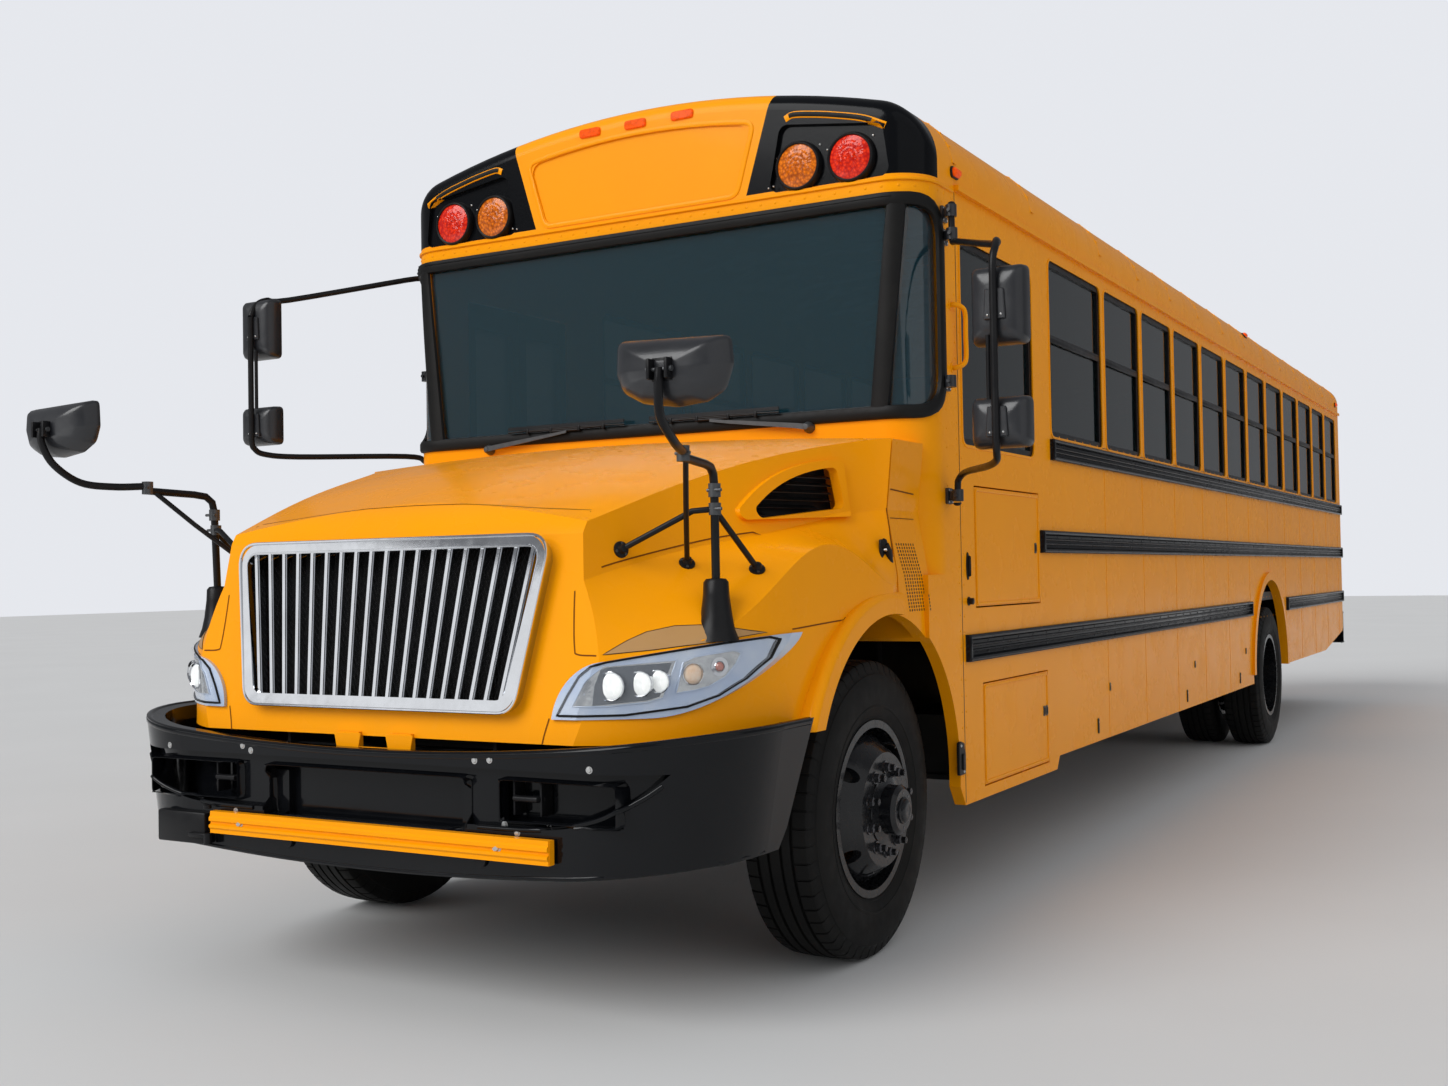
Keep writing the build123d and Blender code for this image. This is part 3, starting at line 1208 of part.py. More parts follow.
# Hood mirrors: an egg-shaped head on a bent tube, a tapered boot and two braces
HEAD_RINGS = [
    # depth from the back, inset of the egg's outline
    (0, 24), (24, 0), (HOOD_MIRROR_SIZE[1], 0),
]
with BuildPart() as hood_mirrors:
    for side in (1, -1):
        base = (side * HOOD_MIRROR_BASE[0], y_at(HOOD_MIRROR_BASE[1]), HOOD_MIRROR_BASE[2])
        knee = (side * HOOD_MIRROR_KNEE[0], y_at(HOOD_MIRROR_KNEE[1]), HOOD_MIRROR_KNEE[2])
        head_y = y_at(HOOD_MIRROR_SIZE[1] - FRONT_REACH)
        head = (side * HOOD_MIRROR_HEAD[0], head_y, HOOD_MIRROR_HEAD[1])
        add(tube([base, knee, head], TUBE_R, MIRROR_BEND))
        with BuildPart(mode=Mode.PRIVATE) as shell:
            for depth, inset in HEAD_RINGS:
                with BuildSketch(Plane.XZ.offset(-head_y + depth)):
                    with Locations((head[0], head[2])):
                        Ellipse(HOOD_MIRROR_SIZE[0] / 2 - inset, HOOD_MIRROR_SIZE[2] / 2 - inset)
            loft(ruled=True)
        add(shell.part)
        with BuildSketch(Plane.XY.offset(BOOT_Z[0])):
            with Locations((base[0], base[1])):
                Circle(BOOT_R)
        extrude(amount=BOOT_Z[1] - BOOT_Z[0], taper=BOOT_TAPER)
        share = (BRACE_TOP_Z - base[2]) / (knee[2] - base[2])
        joint = tuple(a + (b - a) * share for a, b in zip(base, knee))
        for x, station, z in BRACE_FEET:
            add(rod((side * x, y_at(station), z), joint, BRACE_R))
    add(hood_form(0), mode=Mode.SUBTRACT)
save(hood_mirrors.part, "hood_mirrors")


def bumper_form(inset, rear):
    """The bumper's outer shape as a solid between two plans: flat front, round corners, straight returns."""
    heights = (BUMPER_Z[0] - inset, BUMPER_TIP_Z[1] + inset)
    with BuildPart() as form:
        for half, height in zip(BUMPER_HALF, heights):
            front = BUMPER_FRONT + inset
            with BuildSketch(Plane.XY.offset(height)) as plan:
                with Locations((0, y_at((front + rear) / 2))):
                    Rectangle(2 * (half - inset), rear - front)
                fillet(plan.vertices().group_by(Axis.Y)[0], BUMPER_CORNER_R - inset)
        loft()
    return form.part


def mirrored_arc(half, middle_z, end_z):
    """The three points of an arc across the bus."""
    return (-half, end_z), (0, middle_z), (half, end_z)


# Front bumper: a formed channel with a hollow smile, its openings, and a bracket with a tow eye at each rail
FRONT_CUT = (BUMPER_FRONT - 10, BUMPER_FRONT + BUMPER_T + 10)
with BuildPart() as front_bumper:
    add(bumper_form(0, BUMPER_REAR))
    with BuildSketch(Plane.XZ.offset(-y_at(BUMPER_REAR))):
        with BuildLine():
            low = ThreePointArc(*mirrored_arc(BUMPER_HALF[1] + CUT, BUMPER_Z[0], BUMPER_TIP_Z[0]))
            high = ThreePointArc(*mirrored_arc(BUMPER_HALF[1] + CUT, BUMPER_Z[1], BUMPER_TIP_Z[1]))
            Line(low @ 0, high @ 0)
            Line(low @ 1, high @ 1)
        make_face()
    past = BUMPER_REAR + CUT
    extrude(amount=past - BUMPER_FRONT, mode=Mode.INTERSECT)
    add(bumper_form(BUMPER_T, past), mode=Mode.SUBTRACT)
    end_cut = [(past, BUMPER_END[0][1]), *BUMPER_END, (past, BUMPER_END[-1][1])]
    add(side_plate((-HALF - CUT_SIDE, HALF + CUT_SIDE), end_cut), mode=Mode.SUBTRACT)
    with BuildPart(mode=Mode.PRIVATE) as smile:
        with BuildSketch(Plane.XZ.offset(-y_at(BUMPER_REAR - BUMPER_CORNER_R))):
            with BuildLine():
                Spline((SMILE[0][0], SMILE[0][1]), SMILE[1], SMILE[2])
                Line(SMILE[2], (-SMILE[2][0], SMILE[2][1]))
                Spline((-SMILE[2][0], SMILE[2][1]), (-SMILE[1][0], SMILE[1][1]), (-SMILE[0][0], SMILE[0][1]))
                Line((-SMILE[0][0], SMILE[0][1]), SMILE[0])
            make_face()
        extrude(amount=2 * BUMPER_CORNER_R)
        add(bumper_form(SMILE_DEEP, BUMPER_REAR), mode=Mode.SUBTRACT)
    add(smile.part, mode=Mode.SUBTRACT)
    slot_half, low_z, high_z = BUMPER_SLOT
    span((-slot_half, slot_half), FRONT_CUT, (low_z, high_z), Mode.SUBTRACT)
    for x in sides(BUMPER_SIDE_SLOT[:2]):
        span(x, (FRONT_CUT[0], FRONT_CUT[1] + BUMPER_CORNER_R / 2), BUMPER_SIDE_SLOT[2:], Mode.SUBTRACT)
    for x in sides((RAIL_X, RAIL_X + RAIL_W)):
        span(x, (BUMPER_FRONT + BUMPER_T, RAIL_FRONT), BRACKET_Z)
    with BuildSketch(Plane.XY.offset(BRACKET_Z[0])):
        with Locations(*[(side * (RAIL_X + RAIL_W / 2), y_at((BUMPER_FRONT + BUMPER_T + RAIL_FRONT) / 2))
                         for side in (1, -1)]):
            Circle(TOW_R)
    extrude(amount=BRACKET_Z[1] - BRACKET_Z[0], mode=Mode.SUBTRACT)
save(front_bumper.part, "front_bumper")

# Rear bumper on the frame's ends
with BuildPart() as rear_bumper:
    span((-REAR_BUMPER_HALF, REAR_BUMPER_HALF), (BODY_REAR, REAR_REACH), REAR_BUMPER_Z)
    fillet(rear_bumper.edges().filter_by(Axis.Z).group_by(Axis.Y)[-1], REAR_BUMPER_R)
    for x in sides((RAIL_X, RAIL_X + RAIL_W)):
        span(x, (RAIL_REAR, BODY_REAR), (RAIL_Z, TAIL_END_Z - JOINT_GAP))
save(rear_bumper.part, "rear_bumper")

# Crossing arm: a channel with two ridges, hinged at the door's side
ARM_GAP = 8
ARM_STATION = (BUMPER_FRONT - ARM_GAP - ARM_T, BUMPER_FRONT - ARM_GAP)
ARM_GROOVE_DEEP = 6
ARM_GROOVE_X = (ARM_X[0] + 60, ARM_X[1] - 30)
ARM_GROOVE_H = (ARM_Z[1] - ARM_Z[0]) / 5
with BuildPart() as crossing_arm:
    span(ARM_X, ARM_STATION, ARM_Z)
    for i in (1, 3):
        low = ARM_Z[0] + i * ARM_GROOVE_H
        span(ARM_GROOVE_X, (ARM_STATION[0], ARM_STATION[0] + ARM_GROOVE_DEEP), (low, low + ARM_GROOVE_H),
             Mode.SUBTRACT)
save(crossing_arm.part, "crossing_arm")

# Entrance doors: two glazed leaves, each hinged at its outer edge
DOOR_MIDDLE = sum(DOOR_SPAN) / 2
DOOR_FRAME = 50
PANE_INSET = 17
DOOR_LEAVES = [
    # name, first and last station
    ("front", DOOR_SPAN[0] + JOINT_GAP, DOOR_MIDDLE - JOINT_GAP / 2),
    ("rear", DOOR_MIDDLE + JOINT_GAP / 2, DOOR_SPAN[1] - JOINT_GAP),
]
DOOR_PANES = [
    # low z, high z
    (620, 1500), (1600, 2480),
]
for name, first, last in DOOR_LEAVES:
    hole = (first + DOOR_FRAME, last - DOOR_FRAME)
    with BuildPart() as leaf:
        span((-HALF, -HALF + DOOR_T), (first, last), (DOOR_Z[0] + JOINT_GAP, DOOR_Z[1] - JOINT_GAP))
        for z in DOOR_PANES:
            span((-HALF, -HALF + DOOR_T), hole, z, Mode.SUBTRACT)
    save(leaf.part, f"entrance_door_{name}")
    with BuildPart() as leaf_glass:
        for z in DOOR_PANES:
            span((-HALF + PANE_INSET, -HALF + PANE_INSET + GLASS_T), hole, z)
    save(leaf_glass.part, f"entrance_glass_{name}")

# Rear emergency door with its two windows
REAR_DOOR_X = (-REAR_DOOR_HALF + JOINT_GAP, REAR_DOOR_HALF - JOINT_GAP)
REAR_DOOR_PANES = ((1100, 1560), (1780, 2460))
REAR_PANE_X = (-360, 360)
with BuildPart() as rear_door:
    leaf_z = (REAR_DOOR_Z[0] + JOINT_GAP, REAR_DOOR_Z[1] - JOINT_GAP)
    span(REAR_DOOR_X, (BODY_REAR - DOOR_T, BODY_REAR), leaf_z)
    for z in REAR_DOOR_PANES:
        span(REAR_PANE_X, (BODY_REAR - DOOR_T, BODY_REAR), z, Mode.SUBTRACT)
save(rear_door.part, "rear_door")
with BuildPart() as rear_door_glass:
    for z in REAR_DOOR_PANES:
        span(REAR_PANE_X, (BODY_REAR - PANE_INSET - GLASS_T, BODY_REAR - PANE_INSET), z)
save(rear_door_glass.part, "rear_door_glass")

# Side hatches: the electrical panel's door and the battery door
PANEL_T = 26
for name, opening in (("electrical_door", PANEL_DOOR), ("battery_door", BATTERY_DOOR)):
    with BuildPart() as side_door:
        span((HALF - PANEL_T, HALF), (opening[0] + JOINT_GAP, opening[1] - JOINT_GAP),
             (opening[2] + JOINT_GAP, opening[3] - JOINT_GAP))
    save(side_door.part, name)

# Roof hatches: lids that overlap their rims
LID_LAP = 20
LID_R = 60
LID_Z = CROWN_Z + RIM_H + JOINT_GAP
for name, station in zip(("roof_hatch_front", "roof_hatch_rear"), HATCH_STATIONS):
    lid = HATCH / 2 + HATCH_RIM + LID_LAP
    with BuildPart() as hatch:
        span((-lid, lid), (station - lid, station + lid), (LID_Z, LID_Z + HATCH_T))
        fillet(hatch.edges().filter_by(Axis.Z), LID_R)
    save(hatch.part, name)

# Lamps: the warning lamps at both ends, clearance lamps and tail lamps
CLEARANCE_X = (-220, 0, 220)
REAR_LAMP_Z = 2700


def round_lamps(station, depth, places):
    """Round lamps that face along the bus, from (x, z) places."""
    with BuildSketch(Plane.XZ.offset(-y_at(station))) as lenses:
        with Locations(*places):
            Circle(LAMP_R)
    extrude(lenses.sketch, amount=depth)


TAIL_LAMP = (960, 1250)
CLEARANCE_SIZE = (100, 60, 34)
CLEARANCE_Z = 3128
CLEARANCE_R = 14
with BuildPart() as amber_lamps:
    round_lamps(BODY_FRONT + RECESS, LAMP_DEEP, [(s * AMBER_X, LAMP_Z) for s in (1, -1)])
    round_lamps(BODY_REAR + LAMP_DEEP, LAMP_DEEP, [(s * AMBER_X, REAR_LAMP_Z) for s in (1, -1)])
    for x in CLEARANCE_X:
        with BuildSketch(Plane.XZ.offset(-y_at(BODY_FRONT + CLEARANCE_SIZE[1] - 4))):
            with Locations((x, CLEARANCE_Z)):
                RectangleRounded(CLEARANCE_SIZE[0], CLEARANCE_SIZE[2], CLEARANCE_R)
        extrude(amount=CLEARANCE_SIZE[1])
    add(front_cap.part, mode=Mode.SUBTRACT)
save(amber_lamps.part, "amber_lamps")
with BuildPart() as red_lamps:
    round_lamps(BODY_FRONT + RECESS, LAMP_DEEP, [(s * RED_X, LAMP_Z) for s in (1, -1)])
    round_lamps(BODY_REAR + LAMP_DEEP, LAMP_DEEP, [(s * RED_X, REAR_LAMP_Z) for s in (1, -1)])
    round_lamps(BODY_REAR + LAMP_DEEP, LAMP_DEEP, [(s * TAIL_LAMP[0], TAIL_LAMP[1]) for s in (1, -1)])
save(red_lamps.part, "red_lamps")

# Wipers on the cowl, parked towards the middle
WIPER_PIVOT = (755, 1860)
WIPER_PIVOT_R = 22
WIPER_PIVOT_L = 28
WIPER_ARM = [
    # x, z round the arm, from its foot to its tip and back
    (745, 1850), (765, 1868), (130, 1930), (130, 1918),
]
WIPER_ARM_GAP = 8
WIPER_ARM_T = 14
with BuildPart() as wipers:
    for side in (1, -1):
        with BuildSketch(Plane.XZ.offset(-y_at(BODY_FRONT))):
            with Locations((side * WIPER_PIVOT[0], WIPER_PIVOT[1])):
                Circle(WIPER_PIVOT_R)
        extrude(amount=WIPER_PIVOT_L)
        arm = (BODY_FRONT - WIPER_ARM_GAP - WIPER_ARM_T, BODY_FRONT - WIPER_ARM_GAP)
        add(front_plate([(side * x, z) for x, z in WIPER_ARM], arm))
save(wipers.part, "wipers")

# Side mirrors: a bracket tube from the pillar, with a tall head and a spot head that narrow to the front
MIRROR_KNEE_UP = 200
MIRROR_KNEE_DOWN = 130
MOUNT_HALF = (28, 40)
MIRROR_GLASS_T = 4
MIRROR_GLASS_RIM = 10
with BuildPart() as side_mirrors:
    for side, upper, lower in MIRROR_Z:
        x = side * MIRROR_X
        y = y_at(MIRROR_STATION)
        ends = (upper + MIRROR_ARM_UP, lower - MIRROR_ARM_DOWN)
        foot = side * (HALF + MOUNT_T / 2)
        add(tube([(foot, y_at(MIRROR_MOUNTS[0]), ends[0]), (x, y, upper + MIRROR_KNEE_UP),
                  (x, y, lower - MIRROR_KNEE_DOWN), (foot, y_at(MIRROR_MOUNTS[1]), ends[1])],
                 TUBE_R, MIRROR_BEND))
        mount_x = sorted((side * HALF, side * (HALF + MOUNT_T)))
        for station, z in zip(MIRROR_MOUNTS, ends):
            span(mount_x, (station - MOUNT_HALF[0], station + MOUNT_HALF[0]),
                 (z - MOUNT_HALF[1], z + MOUNT_HALF[1]))
        for size, z in ((MIRROR_HEAD, upper), (MIRROR_SPOT, lower)):
            with BuildSketch(Plane.XZ.offset(-y_at(MIRROR_STATION + size[1] / 2))):
                with Locations((x, z)):
                    RectangleRounded(size[0], size[2], MIRROR_EDGE_R)
            extrude(amount=size[1], taper=MIRROR_TAPER)
save(side_mirrors.part, "side_mirrors")
with BuildPart() as mirror_glass:
    for side, upper, lower in MIRROR_Z:
        for size, z in ((MIRROR_HEAD, upper), (MIRROR_SPOT, lower)):
            with BuildSketch(Plane.XZ.offset(-y_at(MIRROR_STATION + size[1] / 2 + MIRROR_GLASS_T))):
                with Locations((side * MIRROR_X, z)):
                    RectangleRounded(size[0] - 2 * MIRROR_GLASS_RIM, size[2] - 2 * MIRROR_GLASS_RIM,
                                     MIRROR_EDGE_R - MIRROR_GLASS_RIM)
            extrude(amount=MIRROR_GLASS_T)
save(mirror_glass.part, "mirror_glass")

# Mud flaps behind the rear wheels
FLAP_STATION = WHEELBASE + TYRE_R + 190
FLAP_T = 10
FLAP_X = (600, INNER - FLAP_T)
FLAP_LOW = 260
with BuildPart() as mud_flaps:
    for x in sides(FLAP_X):
        span(x, (FLAP_STATION, FLAP_STATION + FLAP_T), (FLAP_LOW, FLOOR_Z - FLOOR_T))
save(mud_flaps.part, "mud_flaps")
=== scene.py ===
import math

import bmesh
import bpy
from mathutils import Matrix, Vector, noise
from mathutils.bvhtree import BVHTree


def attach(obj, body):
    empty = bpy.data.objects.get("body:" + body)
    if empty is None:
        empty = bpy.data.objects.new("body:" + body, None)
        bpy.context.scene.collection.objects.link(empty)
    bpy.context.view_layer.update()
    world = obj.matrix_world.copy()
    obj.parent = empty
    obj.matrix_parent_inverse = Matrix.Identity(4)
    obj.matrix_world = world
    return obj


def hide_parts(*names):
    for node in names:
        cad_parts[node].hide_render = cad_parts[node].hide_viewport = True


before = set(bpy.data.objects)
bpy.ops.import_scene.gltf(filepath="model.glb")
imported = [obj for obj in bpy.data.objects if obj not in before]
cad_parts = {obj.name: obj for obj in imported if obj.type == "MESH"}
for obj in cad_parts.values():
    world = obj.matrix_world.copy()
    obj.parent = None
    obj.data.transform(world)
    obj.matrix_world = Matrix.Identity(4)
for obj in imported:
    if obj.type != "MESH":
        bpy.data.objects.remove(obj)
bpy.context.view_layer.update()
scene = bpy.context.scene
scene.view_settings.view_transform = "Standard"

# Directions and main measures in metres; a station is a distance behind the front axle, and a side is 1 (the
# driver's) or -1
X, Y, Z, FRONT = (1, 0, 0), (0, 1, 0), (0, 0, 1), (0, -1, 0)
SIDES = (1, -1)
AXLE_Y = -4.79
REAR_AXLE = 7.01
AXLE_HEIGHT = 0.507
ARCH_REACH = 0.72
HALF = 1.219
# Where rays start: a station in front of the bus, and an x beside it
AHEAD = -3
FAR_SIDE = 3


def at(station):
    """A station as a y of the frame."""
    return AXLE_Y + station


def spot(x, station, z, side=1):
    return Vector((side * x, at(station), z))


def placed(points, side=1):
    """Places in the frame from rows of x, station and height, on one side."""
    return [spot(*p, side) for p in points]


# The camera, solved from the photo: place, yaw, pitch, roll and lens
CAMERA_PLACE = Vector((3.263, -9.503, 1.307))
YAW, PITCH, ROLL = (math.radians(angle) for angle in (29.78, 1.267, -0.97))
camera_data = bpy.data.cameras.new("camera")
camera_data.sensor_width = 36.0
camera_data.lens = 37.37
camera_data.clip_end = 200.0
camera = bpy.data.objects.new("camera", camera_data)
scene.collection.objects.link(camera)
ahead = Vector((-math.sin(YAW) * math.cos(PITCH), math.cos(YAW) * math.cos(PITCH), math.sin(PITCH)))
right = Vector((math.cos(YAW), math.sin(YAW), 0.0))
above = right.cross(ahead)
rolled_right = right * math.cos(ROLL) + above * math.sin(ROLL)
rolled_up = above * math.cos(ROLL) - right * math.sin(ROLL)
camera.matrix_world = Matrix([*zip(rolled_right, rolled_up, -ahead, CAMERA_PLACE), (0.0, 0.0, 0.0, 1.0)])
scene.camera = camera


# Materials
def add_node(tree, kind, **values):
    """A node; values are its sockets, with _ for a space, or else its settings."""
    n = tree.nodes.new(kind)
    for key, value in values.items():
        socket = key.replace("_", " ")
        if socket in n.inputs:
            n.inputs[socket].default_value = value
        else:
            setattr(n, key, value)
    return n


def feed(tree, socket, value):
    """Link a socket to the output of a node, or set it to a number or a colour."""
    if isinstance(value, bpy.types.NodeSocket):
        tree.links.new(value, socket)
    else:
        socket.default_value = value if isinstance(value, (int, float)) else (*value, 1.0)


def new_material(name, **values):
    """A material, its tree and its shader; values are sockets of the shader, with _ for a space."""
    m = bpy.data.materials.new(name)
    m.use_nodes = True
    shader = m.node_tree.nodes["Principled BSDF"]
    for key, value in values.items():
        feed(m.node_tree, shader.inputs[key.replace("_", " ")], value)
    return m, m.node_tree, shader


def object_coords(tree):
    return add_node(tree, "ShaderNodeTexCoord").outputs["Object"]


def noise_of(tree, scale, detail=3.0, rough=0.5):
    n = add_node(tree, "ShaderNodeTexNoise", Scale=scale, Detail=detail, Roughness=rough)
    tree.links.new(object_coords(tree), n.inputs["Vector"])
    return n.outputs["Fac"]


def cells_of(tree, scale):
    n = add_node(tree, "ShaderNodeTexVoronoi", Scale=scale)
    tree.links.new(object_coords(tree), n.inputs["Vector"])
    return n.outputs["Distance"]


def maths(tree, operation, *values):
    n = add_node(tree, "ShaderNodeMath", operation=operation)
    for socket, value in zip(n.inputs, values):
        feed(tree, socket, value)
    return n.outputs[0]


def ramp(tree, source, low, high, a, b):
    n = add_node(tree, "ShaderNodeMapRange", From_Min=low, From_Max=high, To_Min=a, To_Max=b)
    tree.links.new(source, n.inputs["Value"])
    return n.outputs["Result"]


def blend_colours(tree, factor, a, b):
    n = add_node(tree, "ShaderNodeMix", data_type="RGBA")
    for number, value in ((0, factor), (6, a), (7, b)):
        feed(tree, n.inputs[number], value)
    return n.outputs[2]


def bump(tree, shader, height, strength, distance):
    n = add_node(tree, "ShaderNodeBump", Strength=strength, Distance=distance)
    tree.links.new(height, n.inputs["Height"])
    tree.links.new(n.outputs["Normal"], shader.inputs["Normal"])


def surface(name, colour, worn, rough, metallic=0.0, coat=0.0, scale=3.0, amount=0.5, grain=400.0, grain_depth=0.0002,
            spread=0.06, specular=0.5):
    """A surface with a slow change of colour, fine grain, and roughness that varies."""
    m, tree, shader = new_material(name, Metallic=metallic, Coat_Weight=coat, Coat_Roughness=0.06,
                                   Specular_IOR_Level=specular)
    wear = ramp(tree, noise_of(tree, scale, 5.0, 0.6), 0.35, 0.75, 0.0, amount)
    feed(tree, shader.inputs["Base Color"], blend_colours(tree, wear, colour, worn))
    shine = ramp(tree, noise_of(tree, scale * 4, 4.0), 0.3, 0.7, rough - spread, rough + spread)
    feed(tree, shader.inputs["Roughness"], shine)
    if grain_depth:
        bump(tree, shader, noise_of(tree, grain, 2.0), 0.4, grain_depth)
    return m


YELLOW, YELLOW_DUSTY = (0.95, 0.345, 0.0015), (0.88, 0.305, 0.003)
BLACK, BLACK_WORN = (0.003, 0.0035, 0.0045), (0.007, 0.0075, 0.009)
yellow = surface("yellow_paint", YELLOW, YELLOW_DUSTY, 0.26, coat=0.05, scale=1.2, amount=0.5, grain=5,
                 grain_depth=0.001, specular=0.07)
black_paint = surface("black_paint", BLACK, BLACK_WORN, 0.12, coat=0.1, scale=2.0, grain=70, grain_depth=0.00015,
                      specular=0.2)
rail_black = surface("rail_black", (0.004, 0.0045, 0.006), (0.009, 0.01, 0.012), 0.22, coat=0.06, scale=3.0, grain=90,
                     grain_depth=0.0003, specular=0.16)
black_satin = surface("black_satin", (0.006, 0.006, 0.007), (0.016, 0.016, 0.016), 0.36, scale=6.0, grain=500,
                      specular=0.22)


def cap_paint():
    """Yellow, with both lamp panels and corners of the cap in black: a mask from the place on the cap."""
    m, tree, shader = new_material("cap_paint", Coat_Weight=0.05, Coat_Roughness=0.06, Specular_IOR_Level=0.1)
    place = add_node(tree, "ShaderNodeSeparateXYZ")
    tree.links.new(object_coords(tree), place.inputs[0])
    across, along, up = place.outputs
    # the panels' inner edge leans outwards from x 0.488 at z 2.724
    edge = maths(tree, "ADD", maths(tree, "MULTIPLY", up, 0.308), 0.488 - 2.724 * 0.308)
    outside = maths(tree, "GREATER_THAN", maths(tree, "ABSOLUTE", across, 0.0), edge)
    ahead_of_roof = maths(tree, "LESS_THAN", along, at(0.497))
    above_ledge = maths(tree, "GREATER_THAN", up, 2.768)
    mask = maths(tree, "MULTIPLY", maths(tree, "MULTIPLY", outside, ahead_of_roof), above_ledge)
    wear = ramp(tree, noise_of(tree, 1.2, 5.0, 0.6), 0.35, 0.75, 0.0, 0.5)
    paints = [blend_colours(tree, wear, *pair) for pair in ((YELLOW, YELLOW_DUSTY), (BLACK, BLACK_WORN))]
    feed(tree, shader.inputs["Base Color"], blend_colours(tree, mask, *paints))
    feed(tree, shader.inputs["Roughness"], ramp(tree, mask, 0.0, 1.0, 0.3, 0.18))
    bump(tree, shader, noise_of(tree, 60, 2.0), 0.4, 0.0003)
    return m


cap_yellow = cap_paint()
rubber = surface("rubber", (0.005, 0.005, 0.005), (0.012, 0.012, 0.011), 0.5, scale=9.0, grain=700, specular=0.2)
tyre_rubber = surface("tyre_rubber", (0.0045, 0.0045, 0.0045), (0.014, 0.013, 0.011), 0.6, scale=5.0, grain=350,
                      amount=0.6, specular=0.16)
chassis = surface("chassis_black", (0.008, 0.008, 0.008), (0.028, 0.025, 0.021), 0.6, scale=4.0, grain=240, amount=0.8,
                  specular=0.2)
chrome = surface("chrome", (0.72, 0.74, 0.77), (0.55, 0.56, 0.58), 0.08, metallic=1.0, scale=8.0, grain=900,
                 grain_depth=0.00005, spread=0.04)
alloy = surface("bare_alloy", (0.62, 0.62, 0.61), (0.5, 0.5, 0.49), 0.34, metallic=0.9, scale=5.0)
wheel_steel = surface("wheel_black", (0.005, 0.0055, 0.007), (0.016, 0.016, 0.016), 0.26, scale=7.0, amount=0.7,
                      grain=260, coat=0.2, specular=0.35)
seat_green = surface("seat_vinyl", (0.055, 0.075, 0.06), (0.09, 0.11, 0.09), 0.5, scale=6.0, grain=900,
                     grain_depth=0.0006)
floor_rubber = surface("floor_rubber", (0.05, 0.05, 0.05), (0.09, 0.085, 0.08), 0.65, scale=3.0, grain=420)
dash_black = surface("dash_plastic", (0.03, 0.03, 0.032), (0.05, 0.05, 0.05), 0.55, scale=5.0, grain=800)
hatch_white = surface("hatch_plastic", (0.75, 0.75, 0.73), (0.66, 0.65, 0.6), 0.45, scale=4.0, grain=300)


def glass_material(name, colour, rough, alpha, coat=1.0, specular=0.9):
    m, tree, shader = new_material(name, Base_Color=colour, Specular_IOR_Level=specular, Coat_Weight=coat,
                                   Coat_Roughness=0.02, Alpha=alpha)
    feed(tree, shader.inputs["Roughness"], ramp(tree, noise_of(tree, 6.0, 4.0), 0.3, 0.7, rough, rough + 0.05))
    bump(tree, shader, noise_of(tree, 1.2, 1.0), 0.15, 0.003)
    return m


glass = glass_material("window_glass", (0.004, 0.009, 0.01), 0.03, 0.84, 0.35, 0.4)
shield_glass = glass_material("shield_glass", (0.008, 0.036, 0.05), 0.02, 0.62)


def lens(name, deep, bright, gloss=0.25, glow=0.0):
    """A moulded lens: many small facets, each with its own brightness."""
    m, tree, shader = new_material(name, Coat_Weight=gloss, Coat_Roughness=0.05, Specular_IOR_Level=gloss,
                                   Emission_Color=bright, Emission_Strength=glow)
    cells = cells_of(tree, 85.0)
    feed(tree, shader.inputs["Base Color"], blend_colours(tree, ramp(tree, cells, 0.1, 0.75, 1.0, 0.0), deep, bright))
    feed(tree, shader.inputs["Roughness"], ramp(tree, noise_of(tree, 30.0), 0.3, 0.7, 0.1, 0.22))
    bump(tree, shader, cells, 0.3, 0.0015)
    return m


amber_lens = lens("amber_lens", (0.38, 0.075, 0.002), (0.9, 0.22, 0.006))
red_lens = lens("red_lens", (0.5, 0.006, 0.002), (0.95, 0.045, 0.006))
mirror_face = surface("mirror_face", (0.8, 0.82, 0.84), (0.7, 0.72, 0.74), 0.04, metallic=1.0, scale=3.0, grain=0.5,
                      grain_depth=0.0, spread=0.02)
lamp_frame = surface("lamp_frame", (0.4, 0.5, 0.68), (0.62, 0.68, 0.76), 0.2, metallic=0.35, coat=1.0, scale=7.0,
                     amount=0.9, grain=30, grain_depth=0.0008)

NODE_MATERIALS = [
    (cap_yellow, "front_cap"),
    (yellow, "left_wall right_wall roof cowl rear_wall hood electrical_door battery_door rear_door crossing_arm"),
    (black_paint, "front_bumper rear_bumper"),
    (rail_black, "rub_rails"),
    (black_satin, "window_frames entrance_door_front entrance_door_rear side_mirrors hood_mirrors wipers seat_frames"),
    (chassis, "frame_rails front_axle rear_axle leaf_springs engine radiator driveshaft fuel_tank exhaust battery_box "
              "knuckle_left knuckle_right floor_sills"),
    (rubber, "mud_flaps"),
    (tyre_rubber, "front_left_tyre front_right_tyre rear_left_tyres rear_right_tyres"),
    (wheel_steel, "front_left_wheel front_right_wheel rear_left_wheels rear_right_wheels"),
    (chrome, "grille"),
    (lamp_frame, "headlamps"),
    (shield_glass, "windshield"),
    (glass, "window_glass entrance_glass_front entrance_glass_rear rear_door_glass"),
    (mirror_face, "mirror_glass"),
    (amber_lens, "amber_lamps"),
    (red_lens, "red_lamps"),
    (seat_green, "seat_pads"),
    (dash_black, "dashboard"),
    (floor_rubber, "floor stepwell"),
    (hatch_white, "roof_hatch_front roof_hatch_rear"),
]
for material, names in NODE_MATERIALS:
    for name in names.split():
        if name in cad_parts:
            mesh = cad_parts[name].data
            mesh.materials.clear()
            mesh.materials.append(material)


